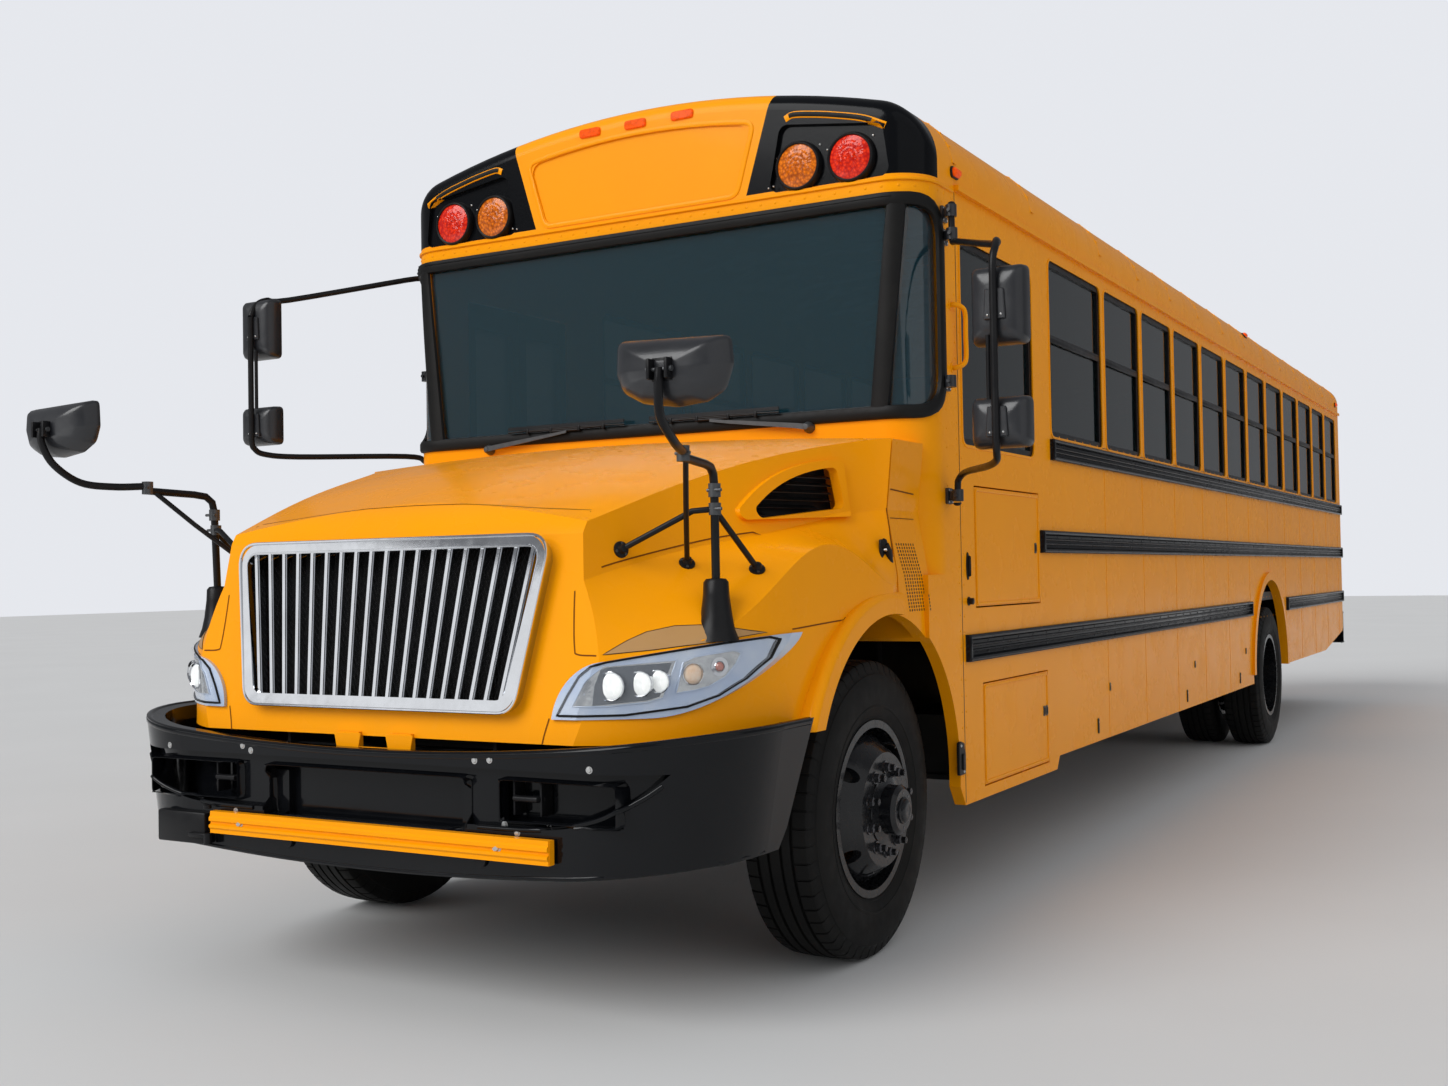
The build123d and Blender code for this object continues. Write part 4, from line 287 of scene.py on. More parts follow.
# Pieces: many small forms are gathered into one mesh, and each mesh rides on a body
class Shape:
    """Points and faces of several forms that make one piece."""

    def __init__(self):
        self.points = []
        self.faces = []

    def add(self, points, faces):
        base = len(self.points)
        self.points.extend(Vector(p) for p in points)
        self.faces.extend([tuple(base + i for i in face) for face in faces])

    def sweep(self, rings, closed=False, ring_closed=True):
        """Skin a list of rings that all have the same number of points; a row of closed rings gets end caps."""
        n = len(rings[0])
        faces = []
        for i in range(len(rings) if closed else len(rings) - 1):
            a, b = i * n, ((i + 1) % len(rings)) * n
            for j in range(n if ring_closed else n - 1):
                k = (j + 1) % n
                faces.append((a + j, a + k, b + k, b + j))
        if ring_closed and not closed:
            faces += [tuple(range(n)), tuple(range((len(rings) - 1) * n, len(rings) * n))]
        self.add([p for ring in rings for p in ring], faces)

    def sheet(self, rings, closed=False):
        """Skin a list of open lines."""
        if len(rings) > 1:
            self.sweep(rings, closed, False)

    def lathe(self, origin, axis, profile, segments=32):
        """Turn a profile of (distance along the axis, radius) round an axis."""
        origin, axis = Vector(origin), Vector(axis).normalized()
        u = axis.orthogonal().normalized()
        v = axis.cross(u)
        rings = []
        for i in range(segments):
            turn = 2 * math.pi * i / segments
            out = u * math.cos(turn) + v * math.sin(turn)
            rings.append([origin + axis * d + out * r for d, r in profile])
        self.sheet(rings, closed=True)

    def cylinder(self, origin, axis, radius, height, segments):
        self.lathe(origin, axis, [(0, 0), (0, radius), (height, radius), (height, 0)], segments)

    def dome(self, origin, axis, radius, height, segments=10):
        self.lathe(origin, axis, [(0, radius), (height * 0.62, radius * 0.82), (height * 0.92, radius * 0.45),
                                  (height, 0)], segments)

    def nut(self, origin, axis, radius, height, dome=0.0):
        """A six-sided nut with a washer under it and, where dome is given, a rounded cap."""
        axis = Vector(axis).normalized()
        self.lathe(origin, axis, [(0, radius * 1.35), (height * 0.2, radius * 1.3), (height * 0.2, radius)], 16)
        self.lathe(origin, axis, [(0, radius), (height * 0.85, radius), (height, radius * 0.82), (height, 0)], 6)
        if dome:
            self.dome(Vector(origin) + axis * height * 0.95, axis, radius * 0.72, dome, 12)

    def tube(self, path, radius, sides=10):
        """A round tube along a line; radius is one number or one for each point."""
        path = [Vector(p) for p in path]
        n = len(path)
        radii = radius if isinstance(radius, (list, tuple)) else [radius] * n
        rings = []
        u = None
        for i in range(n):
            tangent = (path[min(i + 1, n - 1)] - path[max(i - 1, 0)]).normalized()
            u = tangent.orthogonal() if u is None else u - tangent * u.dot(tangent)
            u.normalize()
            v = tangent.cross(u)
            rings.append([path[i] + (u * math.cos(t) + v * math.sin(t)) * radii[i]
                          for t in (2 * math.pi * k / sides for k in range(sides))])
        self.sweep(rings)

    def plate(self, origin, u, v, outline, depth, bevel=0.0):
        """A flat plate whose outline is in (u, v); it stands depth out along u x v, with a bevelled front edge."""
        origin, u, v = Vector(origin), Vector(u).normalized(), Vector(v).normalized()
        out = u.cross(v)
        if area_of(outline) < 0:
            outline = outline[::-1]
        n = len(outline)
        inner = shrunk(outline, bevel) if bevel else outline
        points = [origin + u * a + v * b for a, b in outline]
        points += [origin + u * a + v * b + out * (depth - bevel) for a, b in outline]
        points += [origin + u * a + v * b + out * depth for a, b in inner]
        faces = [tuple(range(2 * n, 3 * n)), tuple(range(n))[::-1]]
        for i in range(n):
            k = (i + 1) % n
            faces += [(i, k, n + k, n + i), (n + i, n + k, 2 * n + k, 2 * n + i)]
        self.add(points, faces)

    def box(self, corner, opposite, bevel):
        """A box between two corners, with bevelled edges all round."""
        low, high = (Vector([pick(pair) for pair in zip(corner, opposite)]) for pick in (min, max))
        size = high - low
        middle = (low + high) / 2
        bm = bmesh.new()
        bmesh.ops.create_cube(bm, size=1.0)
        for vertex in bm.verts:
            vertex.co = Vector([c * s for c, s in zip(vertex.co, size)]) + middle
        bmesh.ops.bevel(bm, geom=bm.edges[:], offset=min(bevel, min(size) * 0.49), segments=2, profile=0.5,
                        affect="EDGES")
        bm.verts.index_update()
        self.add([vertex.co for vertex in bm.verts], [[vertex.index for vertex in face.verts] for face in bm.faces])
        bm.free()

    def block(self, xs, stations, zs, bevel, side=1):
        """A box from its spans across, along and up."""
        self.box(*(spot(*corner, side) for corner in zip(xs, stations, zs)), bevel)

    def piece(self, name, material, body="body", slot="black_paint", sharp=35.0, instead_of=None, fill=None):
        """The object; instead_of is a node that it replaces; fill is not used."""
        mesh = bpy.data.meshes.new(name)
        mesh.from_pydata(self.points, [], self.faces)
        bm = bmesh.new()
        bm.from_mesh(mesh)
        bmesh.ops.remove_doubles(bm, verts=bm.verts, dist=1e-5)
        bmesh.ops.recalc_face_normals(bm, faces=bm.faces)
        bm.to_mesh(mesh)
        bm.free()
        mesh.shade_smooth()
        mesh.set_sharp_from_angle(angle=math.radians(sharp))
        mesh.materials.append(material)
        o = bpy.data.objects.new(name, mesh)
        scene.collection.objects.link(o)
        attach(o, body)
        if instead_of:
            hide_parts(instead_of)


def shapes(count):
    return [Shape() for _ in range(count)]


def area_of(outline):
    return sum(a[0] * b[1] - b[0] * a[1] for a, b in zip(outline, outline[1:] + outline[:1])) / 2


def shrunk(outline, inset):
    """The outline, which runs anticlockwise, moved inwards."""
    result = []
    for p, q, r in corners_of(outline):
        a, b = (q - p).normalized(), (r - q).normalized()
        na, nb = Vector((-a.y, a.x)), Vector((-b.y, b.x))
        mid = na + nb
        mid = mid.normalized() if mid.length > 1e-6 else na
        result.append(tuple(q + mid * inset / max(mid.dot(na), 0.35)))
    return result


def corners_of(outline):
    """Each point of an outline with the one before it and the one after it."""
    n = len(outline)
    return [(Vector(outline[i - 1]), Vector(outline[i]), Vector(outline[(i + 1) % n])) for i in range(n)]


def rounded(corners, radius, steps=5):
    """A polygon with its corners rounded; radius is one number or one for each corner."""
    radii = radius if isinstance(radius, (list, tuple)) else [radius] * len(corners)
    result = []
    for (p, q, r), wanted in zip(corners_of(corners), radii):
        a, b = (p - q).normalized(), (r - q).normalized()
        half = math.acos(max(-1.0, min(1.0, a.dot(b)))) / 2
        reach = min(wanted / math.tan(half), (p - q).length * 0.49, (r - q).length * 0.49)
        if reach < 1e-6:
            result.append(tuple(q))
            continue
        start, end = q + a * reach, q + b * reach
        for k in range(steps + 1):
            t = k / steps
            result.append(tuple(start * (1 - t) ** 2 + q * 2 * t * (1 - t) + end * t ** 2))
    return result


def rectangle(a, b, radius, steps=5):
    return rounded([(a[0], b[0]), (a[1], b[0]), (a[1], b[1]), (a[0], b[1])], radius, steps)


def oblong(a, b, radius, steps=5):
    """A rounded rectangle round the origin, from half its sizes."""
    return rectangle((-a, a), (-b, b), radius, steps)


def trapezium(foot, low, head, high):
    """Half the width and the height of the foot, then of the head."""
    return [(-foot, low), (foot, low), (head, high), (-head, high)]


def mirrored(outline, side):
    return [(side * a, b) for a, b in outline]


def both_ways(half):
    """A line from one side to the middle, and on as its own mirror image."""
    return list(half) + [(-x, *rest) for x, *rest in half[::-1] if x]


def circle(a, b, count):
    """Points of an ellipse round the origin."""
    return [(a * math.cos(t), b * math.sin(t)) for t in (2 * math.pi * k / count for k in range(count))]


def smooth_path(points, steps=6):
    """A smooth line through a few points."""
    points = [Vector(p) for p in points]
    ends = [2 * points[0] - points[1]] + points + [2 * points[-1] - points[-2]]
    result = []
    for i in range(1, len(ends) - 2):
        a, b, c, d = ends[i - 1:i + 3]
        for t in (k / steps for k in range(steps)):
            result.append(0.5 * (2 * b + (c - a) * t + (2 * a - 5 * b + 4 * c - d) * t ** 2
                                 + (3 * b - 3 * c + d - a) * t ** 3))
    return result + [points[-1]]


def evened(points, step, closed=True):
    """The same line with points no further apart than step."""
    points = [Vector(p) for p in points]
    result = []
    for p, q in zip(points, points[1:] + points[:1] if closed else points[1:]):
        count = max(1, int((q - p).length / step + 0.5))
        result += [p.lerp(q, k / count) for k in range(count)]
    return result if closed else result + [points[-1]]


def run(start, end, step):
    """Evenly spaced values from start to end."""
    count = max(1, round(abs(end - start) / step))
    return [start + (end - start) * k / count for k in range(count + 1)]


# Surfaces of CAD nodes, and forms that are set down on them
def skin(*names):
    """The surface of some CAD nodes, for setting pieces down on it."""
    points, faces = [], []
    for name in names:
        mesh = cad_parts[name].data
        base = len(points)
        points += [v.co.copy() for v in mesh.vertices]
        faces += [[base + i for i in p.vertices] for p in mesh.polygons]
    return BVHTree.FromPolygons(points, faces)


def land(tree, start, direction, out=0.0, fallback=None):
    """Where a line from start meets the surface, lifted by out, and the way out of the surface there."""
    start, direction = Vector(start), Vector(direction).normalized()
    place, normal, _, _ = tree.ray_cast(start, direction)
    if place is None:
        if fallback is None:
            return None, None
        place, normal = Vector(fallback), -direction
    if normal.dot(direction) > 0:
        normal = -normal
    return place + normal * out, normal


def from_side(tree, side, station, z, out=0.0, fallback=None):
    """As land, from one side; fallback is an x."""
    return land(tree, spot(FAR_SIDE, station, z, side), (-side, 0, 0), out,
                None if fallback is None else spot(fallback, station, z, side))


def from_front(tree, x, z, out=0.0, fallback=None):
    """As land, from the front; fallback is a station."""
    return land(tree, spot(x, AHEAD, z), Y, out, None if fallback is None else spot(x, fallback, z))


def seen_on(tree, fallback):
    """A place function of x, height and the way out, for a surface that is seen from the front."""
    def place(a, b, out=0.0):
        p, n = from_front(tree, a, b, 0.0, fallback)
        return p + n * out
    return place


def near(tree, p, away, out=0.0):
    """The surface's nearest place to p, from its outer side, and the way out of it there."""
    p, away = Vector(p), Vector(away).normalized()
    place, normal, _, _ = tree.find_nearest(p + away * 0.02)
    if normal.dot(away) < 0:
        normal = -normal
    return place + normal * out, normal


def ribbon(shape, spots, width):
    """A flat band along places on a surface, each of which comes with the way out of the surface."""
    rings = []
    for i, (p, n) in enumerate(spots):
        along = spots[min(i + 1, len(spots) - 1)][0] - spots[max(i - 1, 0)][0]
        across = along.cross(n).normalized() * width / 2
        rings.append([p - across, p + across])
    shape.sheet(rings)


def line_near(shape, tree, points, away, width=0.0045):
    """A thin line drawn on a surface, through its nearest places to a few points."""
    ribbon(shape, [near(tree, p, away, 0.001) for p in evened(smooth_path(points), 0.018, closed=False)], width)


def patch_on(shape, tree, outline, out, cell=0.015):
    """A thin skin that follows a surface as it is seen from the front; the outline is in x and z."""
    bm = bmesh.new()
    bm.faces.new([bm.verts.new((a, b, 0)) for a, b in outline])
    middle = Vector(spot(0, AHEAD, 0))
    for axis, normal, way in ((0, X, X), (1, Y, Z)):
        low, high = min(p[axis] for p in outline), max(p[axis] for p in outline)
        middle += Vector(way) * (low + high) / 2
        count = int((high - low) / cell)
        for k in range(1, count + 1):
            place = Vector(normal) * (low + (high - low) * k / (count + 1))
            bmesh.ops.bisect_plane(bm, geom=bm.verts[:] + bm.edges[:] + bm.faces[:], plane_co=place, plane_no=normal,
                                   dist=1e-6)
    bm.verts.index_update()
    points = []
    reach = (land(tree, middle, Y)[0] - middle).length
    for vertex in bm.verts:
        origin = spot(vertex.co.x, AHEAD, vertex.co.y)
        place, _ = land(tree, origin, Y, out)
        if place is None:
            place = tree.find_nearest(origin + Vector(Y) * reach)[0] - Vector(Y) * out
        else:
            reach = (place - origin).length
        points.append(place)
    shape.add(points, [[vertex.index for vertex in face.verts] for face in bm.faces])
    bm.free()


def moulding(shape, line, width, proud, place, closed=True, step=0.02, section=None):
    """A rubber or metal strip along a line on a surface."""
    line = evened(line, step, closed)
    n = len(line)
    section = section or [(-0.5, -0.1), (-0.44, 0.7), (-0.25, 1.0), (0.25, 1.0), (0.44, 0.7), (0.5, -0.1)]
    rings = []
    for i, p in enumerate(line):
        along = line[(i + 1) % n] - line[i - 1] if closed else line[min(i + 1, n - 1)] - line[max(i - 1, 0)]
        along.normalize()
        rings.append([place(p.x - along.y * a * width, p.y + along.x * a * width, h * proud) for a, h in section])
    shape.sheet(rings, closed)


def rivets(shape, place, spots, radius=0.006, height=0.0022):
    """Round rivet heads on a surface that is given by a place function."""
    for a, b in spots:
        foot, tip = place(a, b, 0.0), place(a, b, 0.01)
        shape.lathe(foot, tip - foot, [(0, radius), (height * 0.7, radius * 0.75), (height, 0)], 8)


# Tyres: ribs and grooves round the tread, cut blocks at the shoulders, beads and rings on the sidewalls
TREAD_HALF = [
    # distance from the middle, radius, how far it follows the cuts in the shoulder
    (0.0, 0.506, 0), (0.017, 0.506, 0), (0.0185, 0.496, 0), (0.0265, 0.496, 0), (0.028, 0.506, 0),
    (0.056, 0.5055, 0), (0.0575, 0.4955, 0), (0.0665, 0.4955, 0), (0.068, 0.505, 0.7),
    (0.1, 0.5025, 1), (0.11, 0.499, 1), (0.1155, 0.491, 1), (0.1185, 0.478, 1), (0.121, 0.47, 0.2),
    (0.126, 0.4585, 0), (0.1285, 0.457, 0), (0.1295, 0.4545, 0), (0.1335, 0.435, 0), (0.1365, 0.415, 0),
    (0.138, 0.395, 0), (0.1372, 0.372, 0), (0.1345, 0.352, 0), (0.136, 0.3505, 0), (0.1355, 0.3445, 0),
    (0.1335, 0.343, 0), (0.128, 0.325, 0), (0.1225, 0.3125, 0), (0.1235, 0.308, 0), (0.119, 0.3015, 0),
    (0.114, 0.294, 0), (0.108, 0.288, 0), (0.096, 0.286, 0),
]
LUGS = 56
LUG_CUT = 0.006


def tyre(shape, x, station):
    """One tyre round the cross axis of its wheel."""
    profile = [(-d, r, w) for d, r, w in TREAD_HALF[::-1]] + TREAD_HALF[1:]
    rings = []
    for lug in range(LUGS):
        for share, cut in ((0.0, 0.0), (0.42, 0.0), (0.84, 0.0), (0.855, 1.0), (0.985, 1.0)):
            turn = 2 * math.pi * (lug + share) / LUGS
            rings.append([(x + d, at(station) + math.cos(turn) * radius, AXLE_HEIGHT + math.sin(turn) * radius)
                          for d, radius in ((d, r - LUG_CUT * cut * w) for d, r, w in profile)])
    shape.sheet(rings, closed=True)


for end, station, xs in (("front", 0, (1.016,)), ("rear", REAR_AXLE, (1.088, 0.752))):
    for word, side in (("left", 1), ("right", -1)):
        tyres = Shape()
        for x in xs:
            tyre(tyres, side * x, station)
        plural = "s" if end == "rear" else ""
        tyres.piece(f"{end}_{word}_tread_tyre{plural}", tyre_rubber, f"wheel_{end}_{word}", "tyre", 28,
                    f"{end}_{word}_tyre{plural}")

# Seats: vinyl cushions swollen by a cloth simulation, then set down in every row
CLOTH_FRAMES = 20
VOXEL = 0.024


def applied(o):
    """The object's mesh with its modifiers applied."""
    graph = bpy.context.evaluated_depsgraph_get()
    return bpy.data.meshes.new_from_object(o.evaluated_get(graph))


def cushion(name, size, edge, swell):
    """A padded block round its own middle: it swells out between its edges and stays inside size."""
    limit = Vector(size) / 2
    half = limit - Vector((swell, swell, swell)) * 0.8
    block = Shape()
    block.box(-half, half, edge)
    mesh = bpy.data.meshes.new(name + "_form")
    mesh.from_pydata(block.points, [], block.faces)
    o = bpy.data.objects.new(name + "_form", mesh)
    scene.collection.objects.link(o)
    remesh = o.modifiers.new("voxels", "REMESH")
    remesh.mode = "VOXEL"
    remesh.voxel_size = VOXEL
    made = applied(o)
    o.modifiers.clear()
    o.data = made
    before = [v.co.copy() for v in made.vertices]
    cloth = o.modifiers.new("cloth", "CLOTH")
    cloth.settings.quality = 5
    cloth.settings.use_pressure = True
    cloth.settings.uniform_pressure_force = 4
    cloth.settings.effector_weights.gravity = 0
    cloth.point_cache.frame_end = CLOTH_FRAMES
    for step in range(1, CLOTH_FRAMES + 1):
        scene.frame_set(step)
    after = [v.co.copy() for v in applied(o).vertices]
    scene.frame_set(1)
    points = []
    for start, end in zip(before, after):
        move = end - start
        if move.length > swell:
            move = move.normalized() * swell
        points.append(Vector([max(-most, min(most, c)) for c, most in zip(start + move, limit)]))
    faces = [tuple(p.vertices) for p in made.polygons]
    bpy.data.objects.remove(o)
    return points, faces


def sewn(points, axis, place, depth, width):
    """Draw the surface in along a sewn line across one axis."""
    for p in points:
        away = abs(p[axis] - place)
        if away < width * 3:
            p -= Vector(p).normalized() * depth * math.exp(-(away / width) ** 2)


bench = cushion("bench", (0.986, 0.396, 0.118), 0.03, 0.014)
back = cushion("back", (0.986, 0.094, 0.755), 0.03, 0.012)
driver_base = cushion("driver_base", (0.476, 0.456, 0.098), 0.03, 0.016)
driver_rest = cushion("driver_rest", (0.476, 0.098, 0.695), 0.035, 0.016)
sewn(back[0], 2, 0.29, 0.006, 0.018)
sewn(driver_base[0], 0, 0.0, 0.008, 0.016)
for height in (-0.12, 0.05, 0.22):
    sewn(driver_rest[0], 2, height, 0.008, 0.016)

ROW_PITCH = 0.728
ROW_STARTS = [at(2.12 + row * ROW_PITCH) for row in range(12)]
BENCH_X = 0.649
PADDING = 0.8


def padded_piece(name, form, place):
    points, faces = form
    pad = Shape()
    pad.add([p + Vector(place) for p in points], faces)
    pad.piece(name, seat_green, "body", "seat_cover", 180, "seat_pads", PADDING)


for row, start in enumerate(ROW_STARTS):
    for side, word in ((1, "left"), (-1, "right")):
        padded_piece(f"bench_{word}_{row + 1}", bench, (side * BENCH_X, start + 0.2, 1.51))
        padded_piece(f"backrest_{word}_{row + 1}", back, (side * BENCH_X, start + 0.4525, 1.83))
padded_piece("driver_cushion", driver_base, spot(0.64, 1.41, 1.59))
padded_piece("driver_backrest", driver_rest, spot(0.64, 1.695, 1.89))

# Piping round the benches' front edges and the backs' tops
piping = Shape()
for start in ROW_STARTS:
    for side in SIDES:
        for y, z in ((0.012, 1.532), (0.452, 2.202)):
            piping.tube([(side * BENCH_X + end, start + y, z) for end in (-0.47, 0.47)], 0.004, 6)
piping.piece("seat_piping", seat_green, "body", "seat_cover")

# The body's surfaces, for setting small pieces down on them
FACE = 0.33
CORNER = 0.17
FLAT = HALF - CORNER
TURN = CORNER * math.pi / 2
GUTTER = 2.755
PILLARS = [2.66 + ROW_PITCH * k for k in range(12)]
front_skin = skin("cowl", "front_cap")
hood_skin = skin("hood")
roof_skin = skin("roof", "front_cap")


def wrap(s, z, out=0.0):
    """A point on the front shell, s metres round from the middle and out from the surface."""
    side, s = (1, s) if s >= 0 else (-1, -s)
    if s < FLAT:
        x, y, nx, ny = s, at(FACE), 0.0, -1.0
    elif s < FLAT + TURN:
        a = (s - FLAT) / CORNER
        nx, ny = math.sin(a), -math.cos(a)
        x, y = FLAT + CORNER * nx, at(FACE) + CORNER * (1 + ny)
    else:
        x, y, nx, ny = HALF, at(FACE) + CORNER + s - FLAT - TURN, 1.0, 0.0
    return Vector((side * (x + nx * out), y + ny * out, z))


def round_from(station):
    """How far round the front shell a station on the side is."""
    return FLAT + TURN + station - 0.5


def flank(side):
    """A place on the body's flat side, from a y and a height."""
    return lambda y, z, out=0.0: Vector((side * (HALF + out), y, z))


def column(a, low, high, step):
    return [(a, z) for z in run(low, high, step)]


def skirt_low(station):
    """The lower edge of the side wall."""
    if station < 1.81:
        return 0.43
    return 0.486 if station < REAR_AXLE else 0.55 + 0.155 * max(0.0, station - 9.75) / 1.26


def over_arch(station, low):
    """The lower end of a line on the side wall, lifted over the rear wheel's arch."""
    away = abs(station - REAR_AXLE)
    return max(low, 0.575 + math.sqrt(ARCH_REACH ** 2 - away ** 2)) if away < ARCH_REACH else low


def joints(pillar, ends):
    """The ends of the joints between side panels at a pillar: none is low down in the rear wheel's arch."""
    (low1, high1), (low2, high2), (rise, high3) = ends
    rows = [(low1, high1), (over_arch(pillar, low2), high2), (skirt_low(pillar) + rise, high3)]
    return [row for row in rows if abs(pillar - REAR_AXLE) >= ARCH_REACH or row[0] >= 1.0]


# Windshield: one thick black gasket round all three panes, a dark cover on each post
SHIELD_END = round_from(0.5)
gasket, locking_strip, ledge, studs, seams, laps, bows, heads = shapes(8)
moulding(gasket, rectangle((-SHIELD_END, SHIELD_END), (1.895, 2.675), 0.15, 8), 0.052, 0.016, wrap)
for side in SIDES:
    moulding(gasket, [(side * 1.041, 1.9), (side * 1.12, 2.67)], 0.074, 0.013, wrap, closed=False)
gasket.piece("windshield_gasket", rubber, "body", "rubber")
moulding(locking_strip, [(-1.1, 2.684), (1.1, 2.684)], 0.008, 0.019, wrap, closed=False,
         section=[(-0.5, 0.7), (-0.3, 1.0), (0.3, 1.0), (0.5, 0.7)])
locking_strip.piece("windshield_locking_strip", black_satin, "body", "rubber")

# Header band above the windshield: a small ledge and a row of rivets
moulding(ledge, [(-round_from(0.64), 2.749), (round_from(0.64), 2.749)], 0.014, 0.008, wrap, closed=False)
ledge.piece("header_ledge", yellow, "body", "yellow_paint")

# Rivets round the front shell, along the rub rails, at the pillars and at both ends of the side
RAIL_RUNS = [
    # low, high, first station on the driver's side and on the door's side
    (1.797, 1.891, (1.783, 1.783)), (1.385, 1.483, (1.613, 1.56)), (0.966, 1.069, (0.69, 1.56)),
]
rivets(studs, wrap, [(s, 2.724) for s in run(-1.44, 1.44, 0.062)])
for side in SIDES:
    rivets(studs, wrap, column(side * round_from(0.64), 0.48, 2.72, 0.06), 0.005)
    rivets(studs, wrap, column(side * round_from(0.536), 1.56, 2.69, 0.07), 0.005)
for side in SIDES:
    for low, high, _ in RAIL_RUNS:
        for z in (low - 0.02, high + 0.018):
            spots = [(at(s), z) for s in run(1.8 if side > 0 else 1.84, 10.8, 0.121)]
            rivets(studs, flank(side), spots, 0.0045, 0.0018)
    for pillar in PILLARS:
        for low, high in joints(pillar, ((1.505, 1.775), (1.092, 1.362), (0.03, 0.944))):
            for shift in (-0.014, 0.014):
                rivets(studs, flank(side), column(at(pillar + shift), low + 0.02, high - 0.02, 0.062), 0.0045, 0.0018)
        rivets(studs, flank(side), column(at(pillar), 1.945, 2.66, 0.085), 0.005)
    rivets(studs, flank(side), column(at(0.684), 0.48, 2.7, 0.06), 0.005)
    rivets(studs, flank(side), column(at(10.834), 0.8, 2.7, 0.07), 0.005)
studs.piece("body_rivets", yellow, "body", "yellow_paint", 60)

# Joints between the side panels: a thin dark seam, and the rear edge of each panel stands proud of the next
for side in SIDES:
    for pillar in PILLARS:
        for low, high in joints(pillar, ((1.488, 1.792), (1.074, 1.38), (0.006, 0.961))):
            y = at(pillar)
            moulding(seams, [(y, low), (y, high)], 0.0035, 0.0008, flank(side), closed=False, step=0.3)
            moulding(laps, [(y - 0.002, low), (y - 0.002, high)], 0.036, 0.0016, flank(side), closed=False, step=0.3,
                     section=[(-0.5, -0.2), (-0.48, 1.0), (0.48, 1.0), (0.5, -0.2)])
    moulding(seams, [(at(0.662), 0.44), (at(0.662), 2.75)], 0.005, 0.0009, flank(side), closed=False, step=0.3)
    moulding(seams, [(at(2.3), 1.905), (at(10.84), 1.905)], 0.003, 0.0008, flank(side), closed=False, step=0.5)
seams.piece("panel_seams", black_satin, "body", "black_paint")
laps.piece("panel_laps", yellow, "body", "yellow_paint")

# Roof: bows under riveted seams, one at each pillar
ROOF_MIDDLE = 1.6
BOW_SECTION = ((-0.02, -0.0005), (-0.018, 0.0035), (0.018, 0.0035), (0.02, -0.0005))
for pillar in PILLARS + [0.672, 1.6, 10.74]:
    rings, spots = [], []
    for a in map(math.radians, run(-74, 74, 2.0)):
        start = Vector((math.sin(a) * 3.5, at(pillar), ROOF_MIDDLE + math.cos(a) * 3.5))
        p, n = land(roof_skin, start, spot(0, pillar, ROOF_MIDDLE) - start)
        if p is not None and n.z >= 0.02 and p.z >= GUTTER + 0.03:
            rings.append([p + Vector(Y) * along + n * h for along, h in BOW_SECTION])
            spots.append((p + n * 0.0035, n))
    if len(rings) > 1:
        bows.sheet(rings)
        for p, n in spots:
            heads.lathe(p, n, [(0, 0.005), (0.0015, 0.0038), (0.002, 0)], 7)
bows.piece("roof_seams", yellow, "body", "yellow_paint")
heads.piece("roof_rivets", yellow, "body", "yellow_paint", 60)

# Nose: a dark mesh behind the grille's blades
RAKE = math.atan2(0.09, 0.648)


def nose(u, v, out=0.0):
    """A place on the nose's plane, from x, the way up the plane and the way out of it."""
    return Vector((u, at(-1.2) + v * math.sin(RAKE) - out * math.cos(RAKE),
                   0.792 + v * math.cos(RAKE) + out * math.sin(RAKE)))


def off_nose(lift):
    return lambda a, b, out=0.0: nose(a, b, lift + out)


def clipped(p, q, planes):
    """The share of the line from p to q that is inside all of planes (a, b, c), a * u + b * v <= c."""
    low, high = 0.0, 1.0
    for a, b, c in planes:
        start = a * p[0] + b * p[1] - c
        step = a * (q[0] - p[0]) + b * (q[1] - p[1])
        if step > 1e-9:
            high = min(high, -start / step)
        elif step < -1e-9:
            low = max(low, -start / step)
        elif start > 0:
            return None
    return (low, high) if high - low > 0.01 else None


SCREEN = (0.54, 0.128, 0.628, 0.64)
foot_half, low_v, head_half, high_v = SCREEN
WIRE_PITCH = 0.016
WIRE_HALF = 0.0016
tall = high_v - low_v
lean = (head_half - foot_half) / tall
screen_edges = [(0, 1, high_v), (0, -1, -low_v)] + [(s, -lean, foot_half - lean * low_v) for s in SIDES]
screen, backing, bead = shapes(3)
for way, out in ((1, -0.044), (-1, -0.046)):
    for k in range(-62, 63):
        foot, head = [(k * WIRE_PITCH + end * way * tall / 4, v) for end, v in ((-1, low_v), (1, high_v))]
        share = clipped(foot, head, screen_edges)
        if share:
            ends = [(foot[0] + (head[0] - foot[0]) * t, foot[1] + (head[1] - foot[1]) * t) for t in share]
            screen.sheet([[nose(u - WIRE_HALF, v, out), nose(u, v, out + 0.0015), nose(u + WIRE_HALF, v, out)]
                          for u, v in ends])
screen.piece("grille_mesh", black_satin, "hood", "black_paint", 20)
backing.plate(nose(0, 0, -0.056), nose(1, 0) - nose(0, 0), nose(0, 1) - nose(0, 0), trapezium(*SCREEN), 0.003)
backing.piece("grille_backing", rubber, "hood", "black_paint")

# Bright beads along the outer and the inner edge of the grille's band
moulding(bead, rounded(trapezium(0.548, 0.121, 0.643, 0.649), 0.07, 8), 0.01, 0.006, off_nose(0.04), step=0.03)
moulding(bead, rounded(trapezium(0.516, 0.153, 0.608, 0.617), 0.046, 8), 0.006, 0.003, off_nose(0.039), step=0.03)
bead.piece("grille_beads", chrome, "hood", "grille_chrome")

